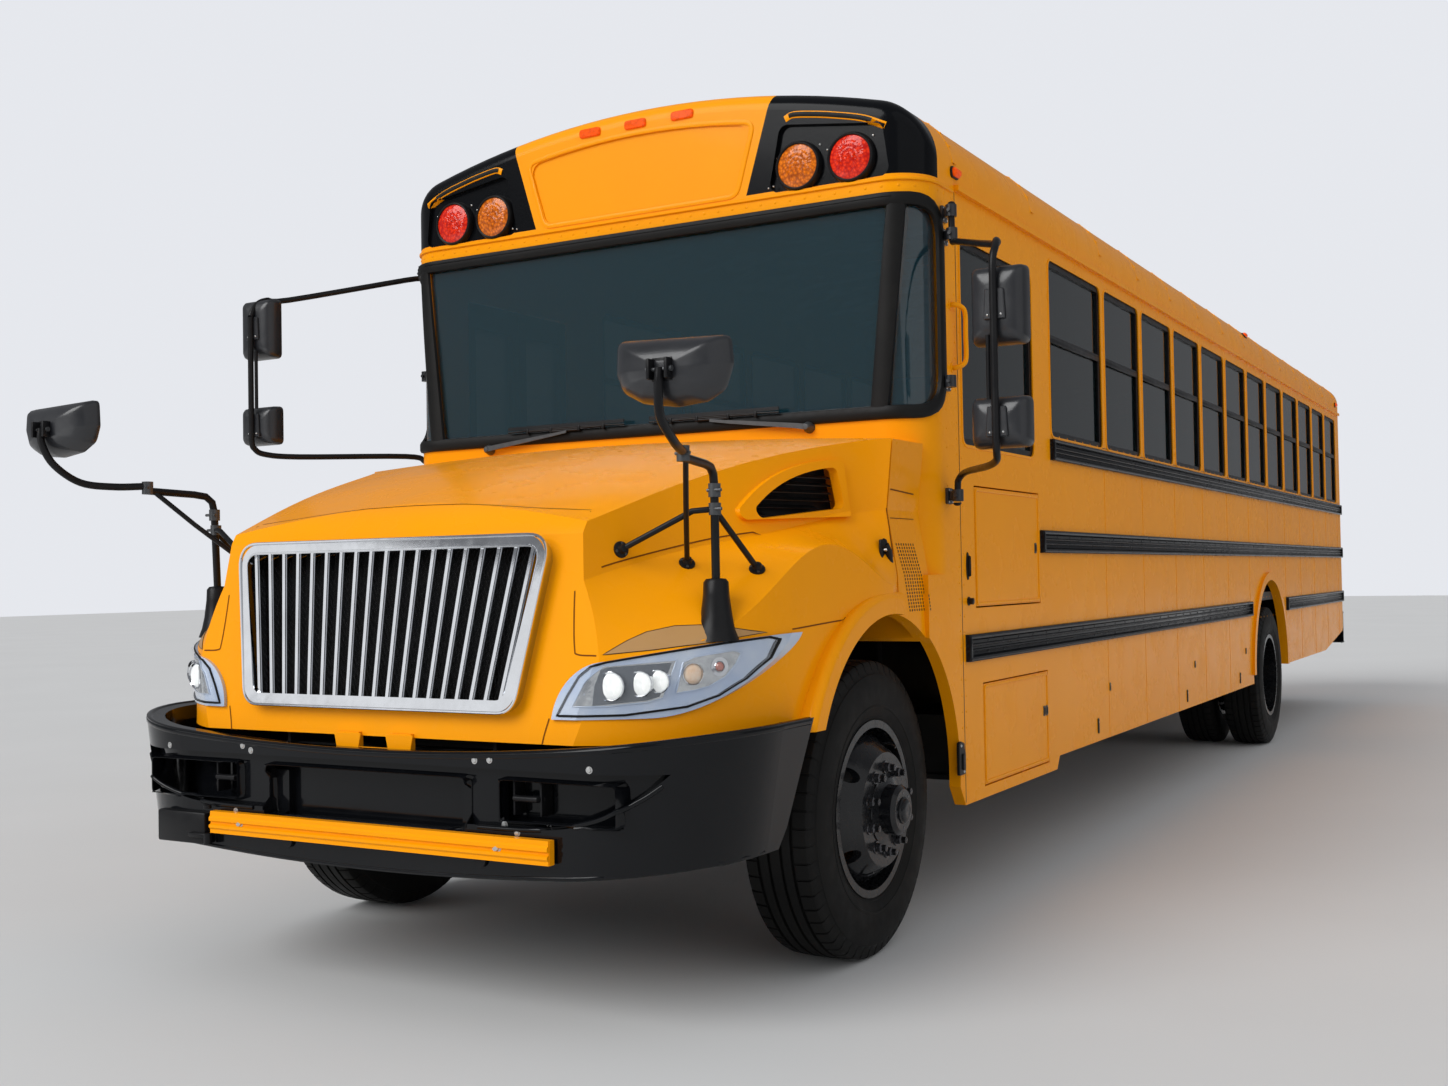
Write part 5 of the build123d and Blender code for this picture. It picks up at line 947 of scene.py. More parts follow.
# Headlamps: outlines in x and z, seen from the front
LAMP_OUTLINE = [(0.69, 0.914), (0.722, 0.972), (0.757, 1.026), (0.796, 1.055), (0.835, 1.067), (0.98, 1.093),
                (1.15, 1.124), (1.16, 1.116), (1.15, 1.062), (1.118, 1.006), (1.074, 0.962), (1.015, 0.934),
                (0.88, 0.916)]
LAMP_LEFT_WELL = [(0.742, 0.941), (0.778, 1.008), (0.806, 1.037), (0.83, 1.056), (0.994, 1.069), (0.99, 1.05),
                  (0.966, 0.962), (0.93, 0.951), (0.84, 0.942)]
LAMP_DARK_WELL = [(0.8, 0.944), (0.806, 1.0), (0.822, 1.046), (0.84, 1.053), (0.984, 1.062), (0.978, 1.04),
                  (0.958, 0.966), (0.93, 0.956)]
LAMP_RIGHT_WELL = [(0.992, 0.974), (1.008, 1.062), (1.03, 1.076), (1.1, 1.09), (1.112, 1.082), (1.104, 1.052),
                   (1.086, 1.014), (1.058, 0.99), (1.03, 0.98)]
COVER_OUT = 0.0145
lamp_silver = surface("lamp_silver", (0.62, 0.64, 0.64), (0.36, 0.38, 0.4), 0.18, metallic=0.8, coat=0.6, scale=22.0,
                      amount=1.0, grain=45, grain_depth=0.002)
lamp_dark = surface("lamp_dark", (0.045, 0.055, 0.07), (0.1, 0.11, 0.12), 0.2, coat=0.8, scale=18.0, grain=60,
                    grain_depth=0.001)
lamp_turn = surface("lamp_turn", (0.8, 0.5, 0.28), (0.86, 0.72, 0.56), 0.25, coat=1.0, scale=40.0, amount=1.0,
                    grain=200, grain_depth=0.001)
lamp_side = surface("lamp_side", (0.42, 0.11, 0.07), (0.5, 0.2, 0.14), 0.25, coat=1.0, scale=40.0, grain=200)
GLOW = (0.86, 0.88, 0.86)
lamp_glow, glow_tree, glow_shader = new_material("lamp_glow", Roughness=0.15, Coat_Weight=1.0, Emission_Color=GLOW,
                                                 Emission_Strength=0.35)
glow_cells = cells_of(glow_tree, 70.0)
feed(glow_tree, glow_shader.inputs["Base Color"],
     blend_colours(glow_tree, glow_cells, GLOW, [c * 0.8 for c in GLOW]))
bump(glow_tree, glow_shader, glow_cells, 0.3, 0.001)

lamp_skin = skin("headlamps")
front_lamp_skin = skin("hood", "headlamps")
wells, darks, silvers, glows, gaskets, turns, small_lights, covers, rims = shapes(9)
BULB = (((-0.004, 1.12), (0.01, 1.12), (0.0115, 1.06), (0.007, 0.95)), 40,
        glows, ((0.003, 1.02), (0.0075, 0.94), (0.011, 0.7), (0.0125, 0.35), (0.013, 0)), 40)
LAMPS = [
    # x, z, radius, how far it is turned to the front; rim and lens as (way out, share of the radius) and segments
    (0.848, 0.999, 0.039, 2, *BULB), (0.917, 1.004, 0.034, 2, *BULB), (0.957, 1.01, 0.031, 2, *BULB),
    (1.026, 1.028, 0.029, 0, ((-0.004, 1.15), (0.008, 1.12), (0.009, 1.04), (0.004, 0.98)), 36,
     turns, ((0.002, 1), (0.007, 0.86), (0.01, 0.5), (0.011, 0)), 36),
    (1.076, 1.045, 0.014, 0, ((-0.004, 2.1), (0.003, 2.0), (0.002, 1.2), (0.004, 1.1)), 30,
     small_lights, ((0.002, 1), (0.008, 0.7), (0.01, 0)), 24),
]
place = seen_on(front_lamp_skin, -1.0)
for side in SIDES:
    for shape, outline, out in ((wells, LAMP_LEFT_WELL, 0.002), (wells, LAMP_RIGHT_WELL, 0.002),
                                (darks, LAMP_DARK_WELL, 0.0032)):
        patch_on(shape, lamp_skin, mirrored(outline, side), out)
    for shape, outline, width, proud in ((gaskets, LAMP_OUTLINE, 0.007, 0.0045), (rims, LAMP_LEFT_WELL, 0.004, 0.004),
                                         (rims, LAMP_RIGHT_WELL, 0.004, 0.004)):
        moulding(shape, mirrored(outline, side), width, proud, place, step=0.012)
    for x, z, radius, turned, rim, rim_segments, shape, dome, segments in LAMPS:
        p, n = from_front(lamp_skin, side * x, z)
        facing = (n + Vector(FRONT) * turned).normalized() if turned else n
        silvers.lathe(p, facing, [(d, radius * share) for d, share in rim], rim_segments)
        shape.lathe(p, facing, [(d, radius * share) for d, share in dome], segments)
    cover = shrunk(mirrored(LAMP_OUTLINE, side)[::-side], 0.004)
    patch_on(covers, lamp_skin, cover, COVER_OUT, 0.02)
    walls = [[place(a, b, out) for out in (0.001, COVER_OUT)] for a, b in map(Vector, cover)]
    covers.sheet(walls + [walls[0]])
wells.piece("headlamp_reflectors", lamp_silver, "hood", "clear_lens")
darks.piece("headlamp_masks", lamp_dark, "hood", "black_paint")
silvers.piece("headlamp_rings", chrome, "hood", "grille_chrome")
glows.piece("headlamp_bulbs", lamp_glow, "hood", "clear_lens")
turns.piece("turn_lamps", lamp_turn, "hood", "amber_lens")
small_lights.piece("corner_lamps", lamp_side, "hood", "red_lens")
gaskets.piece("headlamp_gaskets", rubber, "hood", "rubber")
rims.piece("headlamp_well_edges", lamp_frame, "hood", "clear_lens")
cover_glass = glass_material("headlamp_cover", (0.75, 0.8, 0.88), 0.02, 0.1)
covers.piece("headlamp_covers", cover_glass, "hood", "clear_lens", 50)

# The panel above each lamp, between the lamp's upper edge and the wing
filler_paint = surface("filler_panel", (0.5, 0.28, 0.1), (0.42, 0.22, 0.08), 0.38, coat=0.3, scale=4.0, specular=0.3)
FILLER = [(0.822, 1.088), (0.874, 1.128), (0.909, 1.15), (0.964, 1.165), (1.018, 1.166), (1.088, 1.158),
          (1.14, 1.138), (1.06, 1.116), (0.94, 1.099)]
fillers, filler_edges = shapes(2)
for side in SIDES:
    patch_on(fillers, hood_skin, mirrored(FILLER, side), 0.0015)
    moulding(filler_edges, mirrored(FILLER, side), 0.0022, 0.0022, place, step=0.012)
fillers.piece("lamp_filler_panels", filler_paint, "hood", "yellow_paint")
filler_edges.piece("lamp_filler_edges", black_satin, "hood", "black_paint")

# Front bumper: a rolled lip along its top, a hem along its foot, a rolled edge under the smile, bolts, and dark backing
# that is partly painted shade
bumper_skin = skin("front_bumper")
BUMPER_END = 0.79
BUMPER_FRONT = -1.27


def arc_z(middle, tip):
    """Height of the bumper's upper or lower edge as a function of x."""
    sag = tip - middle
    radius = (1.25 ** 2 + sag ** 2) / (2 * sag)
    return lambda x: middle + radius - math.sqrt(radius ** 2 - x ** 2)


def round_bumper(edge, drop, reach=-0.665):
    """Places and ways out along the bumper's skin, at drop below an edge that is given by a function of x."""
    spots = []
    rays = [((-3, at(reach - back), 0), X, -1.2) for back in (0, 0.09, 0.18)]
    for a in map(math.radians, range(-90, 0, 6)):
        rays.append(((-BUMPER_END + math.sin(a) * 2, at(-0.845) - math.cos(a) * 2, 0), (-math.sin(a), math.cos(a), 0),
                     -1.0 + math.cos(a) * 0.2))
    rays += [((x, at(AHEAD), 0), Y, x) for x in run(-BUMPER_END, BUMPER_END, 0.08)]
    for start, direction, x in rays:
        p, n = land(bumper_skin, (start[0], start[1], edge(x) - drop), direction)
        if p is not None:
            p, n = land(bumper_skin, (start[0], start[1], edge(p.x) - drop), direction)
        if p is not None:
            spots.append((p, n))
    half = [s for s in spots if s[0].x <= -0.75]
    return spots + [(Vector((-p.x, p.y, p.z)), Vector((-n.x, n.y, n.z))) for p, n in half[::-1]]


def roll(shape, spots, radius, sides, turn, start):
    """A rolled edge: part of a round tube along places on a surface, with z up."""
    rings = []
    for p, n in spots:
        out = Vector((n.x, n.y, 0)).normalized()
        centre = p - out * radius * 0.72
        rings.append([centre + out * math.cos(a) * radius + Vector(Z) * math.sin(a) * radius
                      for a in (math.radians(start + turn * k / sides) for k in range(sides + 1))])
    shape.sheet(rings)


lip, pans, fixings, tows = shapes(4)
roll(lip, round_bumper(arc_z(0.796, 0.88), 0.01), 0.013, 10, 230, -70)
roll(lip, round_bumper(arc_z(0.432, 0.507), -0.007, -0.86), 0.008, 8, 200, -120)
place = seen_on(bumper_skin, BUMPER_FRONT)
SMILE = both_ways([(-1.04, 0.742), (-0.985, 0.703), (-0.885, 0.652), (-0.76, 0.621), (-0.64, 0.607),
                   (-0.4, 0.604)])
smile_path = [place(p.x, p.y - 0.012, -0.002) for p in smooth_path([Vector(p).to_3d() for p in SMILE], 8)]
for side in SIDES[::-1]:
    lip.tube([p for p in smile_path if side * p.x > 0.43], 0.008, 8)
for side in SIDES:
    moulding(lip, rectangle((side * 0.53, side * 0.94), (0.612, 0.735), 0.018, 4), 0.01, 0.004, place, step=0.03)
moulding(lip, rectangle((-0.41, 0.41), (0.575, 0.735), 0.022, 4), 0.01, 0.004, place, step=0.03)
lip.piece("bumper_edges", black_paint, "body", "black_paint", 50)

# Painted shade: dark panels behind the bumper's openings, partly a real air dam, and a black shelf and upright plates
# under the nose for the shadow below the hood
BEHIND = both_ways([(-1.1, -0.8), (-1.08, -0.93), (-0.98, -1.08), (-0.8, -1.175), (-0.45, -1.195)])
SHADE_SHELF = both_ways([(-1.135, -0.8), (-1.125, -0.93), (-1.02, -1.1), (-0.82, -1.215), (-0.45, -1.222)])
pans.sweep([[(x, at(s) + back, z) for back, z in ((0, 0.47), (0.01, 0.47), (0.01, 0.745), (0, 0.745))]
            for x, s in BEHIND])
pans.plate((0, 0, 0.733), X, Y, [(x, at(s)) for x, s in SHADE_SHELF], 0.01)
for side in SIDES:
    pans.block((0.4, 1.08), (-0.81, -0.798), (0.735, 0.9), 0.003, side)
pans.piece("bumper_shade_panels", black_paint, "body", "black_paint")

for x, z in ((-0.466, 0.774), (0.448, 0.784), (0.503, 0.788), (-0.503, 0.788), (0.532, 0.6), (0.691, 0.6),
             (0.6, 0.585), (-0.394, 0.556), (-0.537, 0.576), (-0.85, 0.775), (0.85, 0.775)):
    p, n = from_front(bumper_skin, x, z, 0.0, BUMPER_FRONT)
    fixings.lathe(p, n, [(0, 0.0105), (0.0012, 0.0105), (0.0012, 0.0075), (0.004, 0.006), (0.005, 0)], 14)
fixings.piece("bumper_screws", alloy, "body", "exhaust_steel", 40)

# Tow pins across the two recesses beside the middle
for side in SIDES:
    x, y, z = side * 0.611, at(-1.245), 0.678
    tows.tube([(x - 0.045, y + 0.02, z), (x - 0.04, y, z), (x + 0.04, y, z), (x + 0.045, y + 0.02, z)], 0.01, 12)
    for inner, outer in ((-0.052, -0.044), (0.044, 0.052)):
        tows.box((x + inner, y + 0.004, z - 0.05), (x + outer, y + 0.058, z + 0.05), 0.002)
tows.piece("tow_pins", black_satin, "body", "exhaust_steel")

# Crossing arm: its folded section, bolts and hinge
ARM_SECTION = [(0.0, 0.0), (0.0, 0.004), (0.012, 0.004), (0.018, 0.01), (0.026, 0.01), (0.03, 0.002), (0.036, 0.002),
               (0.04, 0.01), (0.05, 0.01), (0.056, 0.004), (0.07, 0.004), (0.07, 0.0)]
arm_y = at(-1.305)
arm, arm_bolts, arm_hinge, rests, tabs = shapes(5)
arm.sweep([[(x, arm_y - h, 0.506 + s) for s, h in ARM_SECTION] for x in (-0.618, 0.733)])
arm.piece("crossing_arm_channel", yellow, "arm", "yellow_paint", 30)
for x in (0.551, -0.485):
    arm_bolts.lathe((x, arm_y - 0.002, 0.545), FRONT, [(0, 0.016), (0.002, 0.0155), (0.002, 0.01), (0.007, 0.0085),
                                                       (0.009, 0)], 18)
arm_bolts.piece("crossing_arm_bolts", alloy, "arm", "exhaust_steel", 40)
arm_hinge.block((-0.88, -0.655), (-1.3, -1.262), (0.462, 0.566), 0.008)
arm_hinge.block((-0.72, -0.64), (-1.312, -1.296), (0.486, 0.5), 0.003)
for z, height in ((0.466, 0.036), (0.581, 0.012)):
    arm_hinge.cylinder(spot(-0.64, -1.3, z), Z, 0.013, height, 16)
arm_hinge.piece("crossing_arm_hinge", black_satin, "body", "black_paint")
for x in (0.47, -0.3):
    rests.lathe(spot(x, -1.262, 0.497), FRONT, [(0, 0.02), (0.022, 0.02), (0.022, 0.0)], 16)
rests.piece("crossing_arm_rests", black_satin, "body", "black_paint")

# The nose's two tabs, joined by a thin bridge
tabs.block((-0.152, 0.152), (-1.2145, -1.2075), (0.783, 0.797), 0.002)
for side in SIDES:
    tabs.plate(spot(0.106, -1.2125, 0.815, side), X, Z,
               [(-0.056, 0.024), (-0.046, -0.02), (0.046, -0.02), (0.056, 0.024)], 0.004, 0.001)
tabs.piece("nose_tabs", yellow, "hood", "yellow_paint")

# Seams of the hood: x, station and height of a few points, and the way out of the surface there
HOOD_SEAMS = [
    ([(0.7, -1.085, 1.29), (0.75, -1.05, 1.325), (0.895, -0.725, 1.404), (0.98, -0.5, 1.437)], (0.55, 0, 1)),
    ([(1.153, 0.084, 1.528), (1.165, 0.084, 1.44), (1.175, 0.084, 1.36)], (1, 0, 0.25)),
    ([(1.17, -0.64, 1.138), (1.17, -0.456, 1.149), (1.17, -0.25, 1.16), (1.17, -0.066, 1.171), (1.17, 0.1, 1.176)],
     (1, 0, 0.25)),
    ([(0.688, -1.0, 1.497), (0.7, -1.04, 1.44), (0.706, -1.085, 1.33), (0.712, -1.13, 1.2),
      (0.722, -1.16, 1.105), (0.735, -1.164, 1.086), (0.8, -1.163, 1.083)], (0.25, -1, 0.3)),
    ([(0.655, -1.186, 0.905), (0.64, -1.192, 0.85), (0.632, -1.196, 0.8)], (0, -1, 0.1)),
]
HOOD_TOP = both_ways([(-0.688, -1.0, 1.497), (-0.6, -1.018, 1.526), (-0.481, -1.027, 1.541), (-0.25, -1.01, 1.547),
                      (0, -1.0, 1.549)])
seam_paint = surface("seam_shadow", (0.2, 0.055, 0.002), (0.12, 0.03, 0.001), 0.6, scale=5.0, grain=200, specular=0.1)
cowl_skin = skin("cowl")
hood_lines, cowl_lines, holes, vents, latches, latch_metal = shapes(6)
for side in SIDES:
    for points, (x, y, z) in HOOD_SEAMS:
        line_near(hood_lines, hood_skin, placed(points, side), (side * x, y, z))
line_near(hood_lines, hood_skin, placed(HOOD_TOP), (0, -0.5, 1), 0.004)
hood_lines.piece("hood_seams", seam_paint, "hood", "black_paint")
for side in SIDES:
    for z, slope, width in ((1.6, 0.05, 0.005), (1.5, 0.0, 0.003)):
        spots = [from_side(cowl_skin, side, s, z - slope * (s - 0.12), 0.001) for s in run(0.11, 0.32, 0.02)]
        ribbon(cowl_lines, [found for found in spots if found[0] is not None], width)
cowl_lines.piece("cowl_seams", seam_paint, "body", "black_paint")

# Perforated panels in the cowl's sides: rows of small square holes
HOLE_HALF = 0.004
for side in SIDES:
    for row in range(20):
        for number in range(8):
            p, n = from_side(cowl_skin, side, 0.128 + 0.0215 * number + 0.0035 * row, 1.408 - 0.0122 * row, 0.0008)
            if p is not None:
                across = (Vector(Y) - n * n.y).normalized() * HOLE_HALF
                up = (Vector(Z) - n * n.z).normalized() * HOLE_HALF
                holes.add([p - across - up, p + across - up, p + across + up, p - across + up], [(0, 1, 2, 3)])
holes.piece("perforations", rubber, "body", "black_paint")


def middle_of(outline):
    return Vector([sum(values) / len(outline) for values in zip(*outline)])


# Vents: a dark back and louvres inside; the outline is in stations and heights
VENT_LINE = [(-0.54, 1.483), (-0.47, 1.545), (-0.4, 1.588), (-0.3, 1.622), (-0.19, 1.65), (-0.085, 1.672),
             (-0.06, 1.532)]
LOUVRE = ((0.062, 0.012), (0.036, 0), (0.038, -0.003), (0.064, 0.009))
for side in SIDES:
    middle = middle_of(VENT_LINE)
    edge = []
    for s, z in VENT_LINE:
        probe = middle + (Vector((s, z)) - middle) * 1.16
        p, _ = from_side(hood_skin, side, *probe)
        edge.append((s, z, abs(p.x) if p is not None else 1.0))
    back = placed([(x - 0.075, s, z) for s, z, x in edge], side)
    centre = sum(back, Vector()) / len(back)
    vents.add([centre + (p - centre) * 1.12 for p in back] + [centre], [(i, (i + 1) % 7, 7) for i in range(7)])
    for k in range(6):
        z = 1.505 + k * 0.026
        row = []
        for s in run(-0.53, -0.07, 0.03):
            top = 1.483 + (s + 0.54) * 0.42 if s < -0.3 else 1.622 + (s + 0.3) * 0.233
            foot = 1.483 + (s + 0.54) * 0.102
            if foot + 0.004 < z < top + 0.03:
                share = (s + 0.54) / 0.48
                row.append((s, edge[0][2] * (1 - share) + (edge[5][2] + edge[6][2]) / 2 * share))
        if len(row) > 1:
            vents.sweep([[(side * (x - deep), at(s), z + up) for deep, up in LOUVRE] for s, x in row])
vents.piece("vent_louvres", black_satin, "hood", "black_paint", 25)

# Hood latches: a rubber strap between two brackets on each side
for side in SIDES:
    p, _ = from_side(hood_skin, side, 0.04, 1.385, 0.0, 1.15)
    strap = [p + Vector((side * a, b, c)) for a, b, c in (
        (0.012, 0, 0.022), (0.016, 0.012, 0.0), (0.014, 0.03, -0.03), (0.012, 0.052, -0.058))]
    bracket = Vector((0.006, 0.02, 0.04))
    latches.box(p - bracket, p + bracket, 0.005)
    latches.tube(strap, [0.012, 0.013, 0.011, 0.008], 10)
    latches.dome(p + Vector((side * 0.005, 0, 0.026)), (side, 0, 0), 0.018, 0.012, 14)
    latch_metal.lathe(p + Vector((side * 0.008, -0.002, 0.004)), (side, 0, 0),
                      [(0, 0.006), (0.01, 0.006), (0.012, 0.0)], 10)
latches.piece("hood_latches", black_satin, "hood", "rubber")
latch_metal.piece("hood_latch_pins", alloy, "hood", "exhaust_steel")

# Hood mirrors: a pillow-shaped shell on a bent tube, clamps, a strut and two braces
HEAD_LINE = [(1.051, 1.934), (1.388, 1.922), (1.395, 1.85), (1.372, 1.785), (1.318, 1.757), (1.228, 1.749),
             (1.128, 1.763), (1.066, 1.795), (1.046, 1.846)]
HEAD_STEPS = [
    # station, size, how far the middle has moved to the bracket
    (-1.38, 0.955, 0.0), (-1.38, 1.0, 0.0), (-1.392, 1.0, 0.0), (-1.397, 0.982, 0.0), (-1.412, 0.94, 0.02),
    (-1.43, 0.84, 0.08), (-1.445, 0.7, 0.2), (-1.455, 0.52, 0.4), (-1.461, 0.33, 0.7), (-1.463, 0.15, 1.0),
]
BRACKET = Vector((1.228, 1.838))
BRACKET_BOXES = [
    # spans of x, station and height
    ((1.196, 1.206), (-1.49, -1.452), (1.812, 1.866)), ((1.25, 1.26), (-1.49, -1.452), (1.812, 1.866)),
    ((1.196, 1.26), (-1.462, -1.454), (1.808, 1.87)),
]
SPINDLE = [(0, 0.0), (0, 0.008), (0.006, 0.008), (0.006, 0.005), (0.07, 0.005), (0.07, 0.008), (0.076, 0.008),
           (0.076, 0.0)]
HEAD_TUBE = [(1.228, -1.474, 1.842), (1.224, -1.474, 1.79), (1.208, -1.44, 1.72), (1.192, -1.35, 1.664),
             (1.15, -1.25, 1.652), (1.098, -1.15, 1.656)]
POLE = [(1.046, -0.89, 1.18), (1.046, -0.89, 1.3), (1.05, -0.898, 1.57), (1.052, -0.906, 1.606),
        (1.057, -0.93, 1.626), (1.066, -0.975, 1.632), (1.1, -1.16, 1.64)]
BRACES = [
    # line, radius
    ([(1.094, -1.13, 1.64), (1.02, -1.01, 1.52), (0.95, -0.87, 1.412)], 0.0085),
    ([(1.048, -0.895, 1.505), (0.99, -0.925, 1.5), (0.793, -1.0, 1.378)], 0.0095),
    ([(1.048, -0.89, 1.5), (1.073, -0.7, 1.322)], 0.0095),
]
BOOT = [
    # height, half the length and the width, how far it leans out
    (1.118, 0.08, 0.07, -0.012), (1.15, 0.062, 0.056, -0.006), (1.19, 0.048, 0.045, 0), (1.25, 0.04, 0.038, 0),
    (1.29, 0.038, 0.036, 0), (1.3, 0.03, 0.028, 0), (1.302, 0.014, 0.013, 0),
]
head_satin = surface("mirror_shell", (0.014, 0.015, 0.018), (0.026, 0.028, 0.032), 0.34, coat=0.2, scale=6.0, grain=420,
                     grain_depth=0.0003, specular=0.5)
dull_steel = surface("dull_steel", (0.1, 0.105, 0.11), (0.05, 0.05, 0.05), 0.4, metallic=0.6, scale=30.0, grain=300)
shells, arms, clamps, mirror_faces = shapes(4)
head_outline = rounded(HEAD_LINE, [0.022, 0.022, 0.03, 0.04, 0.05, 0.08, 0.05, 0.04, 0.03], 4)
middle = middle_of(HEAD_LINE)
for side in SIDES:
    rings = []
    for station, scale_by, share in HEAD_STEPS:
        centre = middle.lerp(BRACKET, share)
        rings.append([spot(centre.x + (a - middle.x) * scale_by, station, centre.y + (b - middle.y) * scale_by, side)
                      for a, b in head_outline])
    shells.sweep(rings)
    inner = [(-side * (middle.x + (a - middle.x) * 0.95), middle.y + (b - middle.y) * 0.95) for a, b in head_outline]
    mirror_faces.plate((0, at(-1.3795), 0), (-1, 0, 0), Z, inner, 0.002)
    for a, b in ((1.372, 1.846), (1.064, 1.868), (1.225, 1.905), (1.372, 1.905)):
        clamps.lathe(spot(a, -1.4, b, side), FRONT, [(0, 0.005), (0.01, 0.005), (0.012, 0.0)], 8)
    for spans in BRACKET_BOXES:
        arms.block(*spans, 0.003, side)
    clamps.lathe(spot(1.19, -1.474, 1.838, side), (side, 0, 0), SPINDLE, 10)
    arms.tube(smooth_path(placed(HEAD_TUBE, side)), 0.0125, 12)
    arms.tube(placed(POLE, side), 0.013, 12)
    for line, radius in BRACES:
        rod = placed(line, side)
        p, n = near(hood_skin, rod[-1], (side * 0.55, 0, 1))
        arms.tube(rod[:-1] + [p + n * 0.004], radius, 10)
        arms.lathe(p - n * 0.001, n, [(0, 0.026), (0.006, 0.025), (0.008, 0.016), (0.022, 0.012), (0.024, 0.0)], 16)
        u = n.orthogonal().normalized()
        for turn in (0.6, 2.6, 4.6):
            foot = p + (u * math.cos(turn) + n.cross(u) * math.sin(turn)) * 0.019
            clamps.lathe(foot + n * 0.004, n, [(0, 0.005), (0.004, 0.0045), (0.005, 0)], 6)
    for x, s, z, half in ((1.098, -1.15, 1.65, 0.022), (1.05, -0.897, 1.56, 0.02), (1.048, -0.893, 1.505, 0.018)):
        clamps.cylinder(spot(x, s, z - half, side), Z, 0.019, 2 * half, 12)
        clamps.tube([(side * (x + end), at(s) - 0.012, z) for end in (-0.018, 0.03)], 0.005, 8)
    arms.sweep([[(side * (1.046 + lean_x) + a, at(-0.89) + b, z) for a, b in circle(rx, ry, 24)]
                for z, rx, ry, lean_x in BOOT])
shells.piece("hood_mirror_shells", head_satin, "hood", "black_paint", 75, "hood_mirrors")
arms.piece("hood_mirror_arms", black_satin, "hood", "black_paint", 40, "hood_mirrors")
clamps.piece("hood_mirror_clamps", dull_steel, "hood", "exhaust_steel", 40, "hood_mirrors")
mirror_faces.piece("hood_mirror_faces", mirror_face, "hood", "mirror", instead_of="hood_mirrors")

# Side mirrors: two pillow-shaped shells on a bent tube, clamped to the body's corner
MIRROR_X = 1.655
HEAD_PROFILE = [
    # station, inset from the edge
    (-0.07, 0.01), (-0.068, 0.006), (-0.069, 0.001), (-0.074, 0.0), (-0.1, 0.002), (-0.116, 0.006), (-0.128, 0.014),
    (-0.136, 0.026), (-0.141, 0.042), (-0.143, 0.06),
]
CLAMP_STATION = 0.538
TUBE_RADIUS = 0.0122
side_shells, side_arms, side_plates, side_screws = shapes(4)


def mirror_head(side, z, half_x, half_z):
    outline = oblong(half_x, half_z, 0.024, 6)
    rings = []
    for station, inset in HEAD_PROFILE:
        shrink_x, shrink_z = 1 - inset / half_x, 1 - inset / half_z
        rings.append([Vector((side * MIRROR_X + a * shrink_x, at(station), z + b * shrink_z)) for a, b in outline])
    side_shells.sweep(rings)
    plate = rounded(trapezium(0.036, -0.05, 0.031, 0.048), 0.006, 3)
    side_plates.plate(spot(MIRROR_X, -0.14, z, side), X, Z, plate, 0.012, 0.003)
    for a, b in ((0.0, 0.0), (0.022, -0.036), (-0.022, -0.036)):
        side_screws.dome((side * MIRROR_X + a, at(-0.152), z + b), FRONT, 0.0042, 0.003)


def clamp(side, x, station, z):
    """A block on the body's corner with an arm that grips the tube at a place."""
    grip = spot(x, station, z, side)
    foot, normal = from_side(front_skin, side, CLAMP_STATION, z)
    across = Vector(Z).cross(normal)
    side_plates.plate(foot - normal * 0.002, across, Z, oblong(0.026, 0.03, 0.006, 3), 0.014, 0.003)
    neck = oblong(0.014, 0.018, 0.004, 2)
    side_plates.sweep([[centre + across * a * wide + Vector((0, 0, b * high)) for a, b in neck]
                       for centre, wide, high in ((foot, 1.0, 1.0), (grip, 0.8, 0.9))])
    side_plates.lathe(grip - Vector((0, 0, 0.022)), Z, [(0, 0.008), (0, 0.021), (0.044, 0.021), (0.044, 0.008)], 16)
    side_plates.cylinder(grip - Vector((0, 0.03, 0)), Y, 0.007, 0.012, 8)
    for a, b in ((-0.018, 0.021), (0.018, 0.021), (-0.018, -0.021), (0.018, -0.021)):
        side_screws.dome(foot + across * a + Vector((0, 0, b)) + normal * 0.011, normal, 0.0045, 0.003)


for side, upper, lower, top in ((1, 2.16, 1.785, 2.16 + 0.35), (-1, 2.4, 1.985, 2.4 + 0.265)):
    mirror_head(side, upper, 0.093, 0.1275)
    mirror_head(side, lower, 0.098, 0.0825)
    riser = min(upper + 0.5, 2.715)
    line = [(1.268, 0.5, riser), (1.268, 0.505, top + 0.06), (1.276, 0.492, top + 0.012), (1.31, 0.44, top),
            (1.6, 0.01, top - 0.125), (1.642, -0.08, top - 0.135), (1.655, -0.128, top - 0.165),
            (1.655, -0.156, top - 0.215), (1.655, -0.158, upper), (1.655, -0.158, lower),
            (1.655, -0.156, lower - 0.075), (1.652, -0.145, lower - 0.1), (1.636, -0.105, lower - 0.122),
            (1.56, 0.02, lower - 0.13), (1.33, 0.44, lower - 0.115), (1.276, 0.505, lower - 0.135),
            (1.268, 0.512, lower - 0.165), (1.268, 0.514, lower - 0.215)]
    side_arms.tube(placed(smooth_path(line, 5), side), TUBE_RADIUS, 12)
    side_arms.tube([spot(1.632, -0.15, z, side) for z in (upper - 0.1, lower + 0.07)], 0.0075, 10)
    for x, station, z in ((1.268, 0.5, riser - 0.02), (1.268, 0.504, top + 0.045), (1.268, 0.512, lower - 0.195),
                          (1.254, 0.5, (upper + lower) / 2 + 0.038)):
        clamp(side, x, station, z)
    for z, way in ((riser + 0.004, 1), (lower - 0.222, -1)):
        side_arms.dome(spot(1.268, 0.505, z, side), (0, 0, way), 0.016, 0.012, 14)
side_shells.piece("side_mirror_shells", head_satin, "body", "black_paint", 40, "side_mirrors")
side_arms.piece("side_mirror_arms", black_satin, "body", "black_paint", 40, "side_mirrors")
side_plates.piece("side_mirror_clamps", head_satin, "body", "black_paint", 40, "side_mirrors")
side_screws.piece("side_mirror_screws", alloy, "body", "exhaust_steel", 50, "side_mirrors")

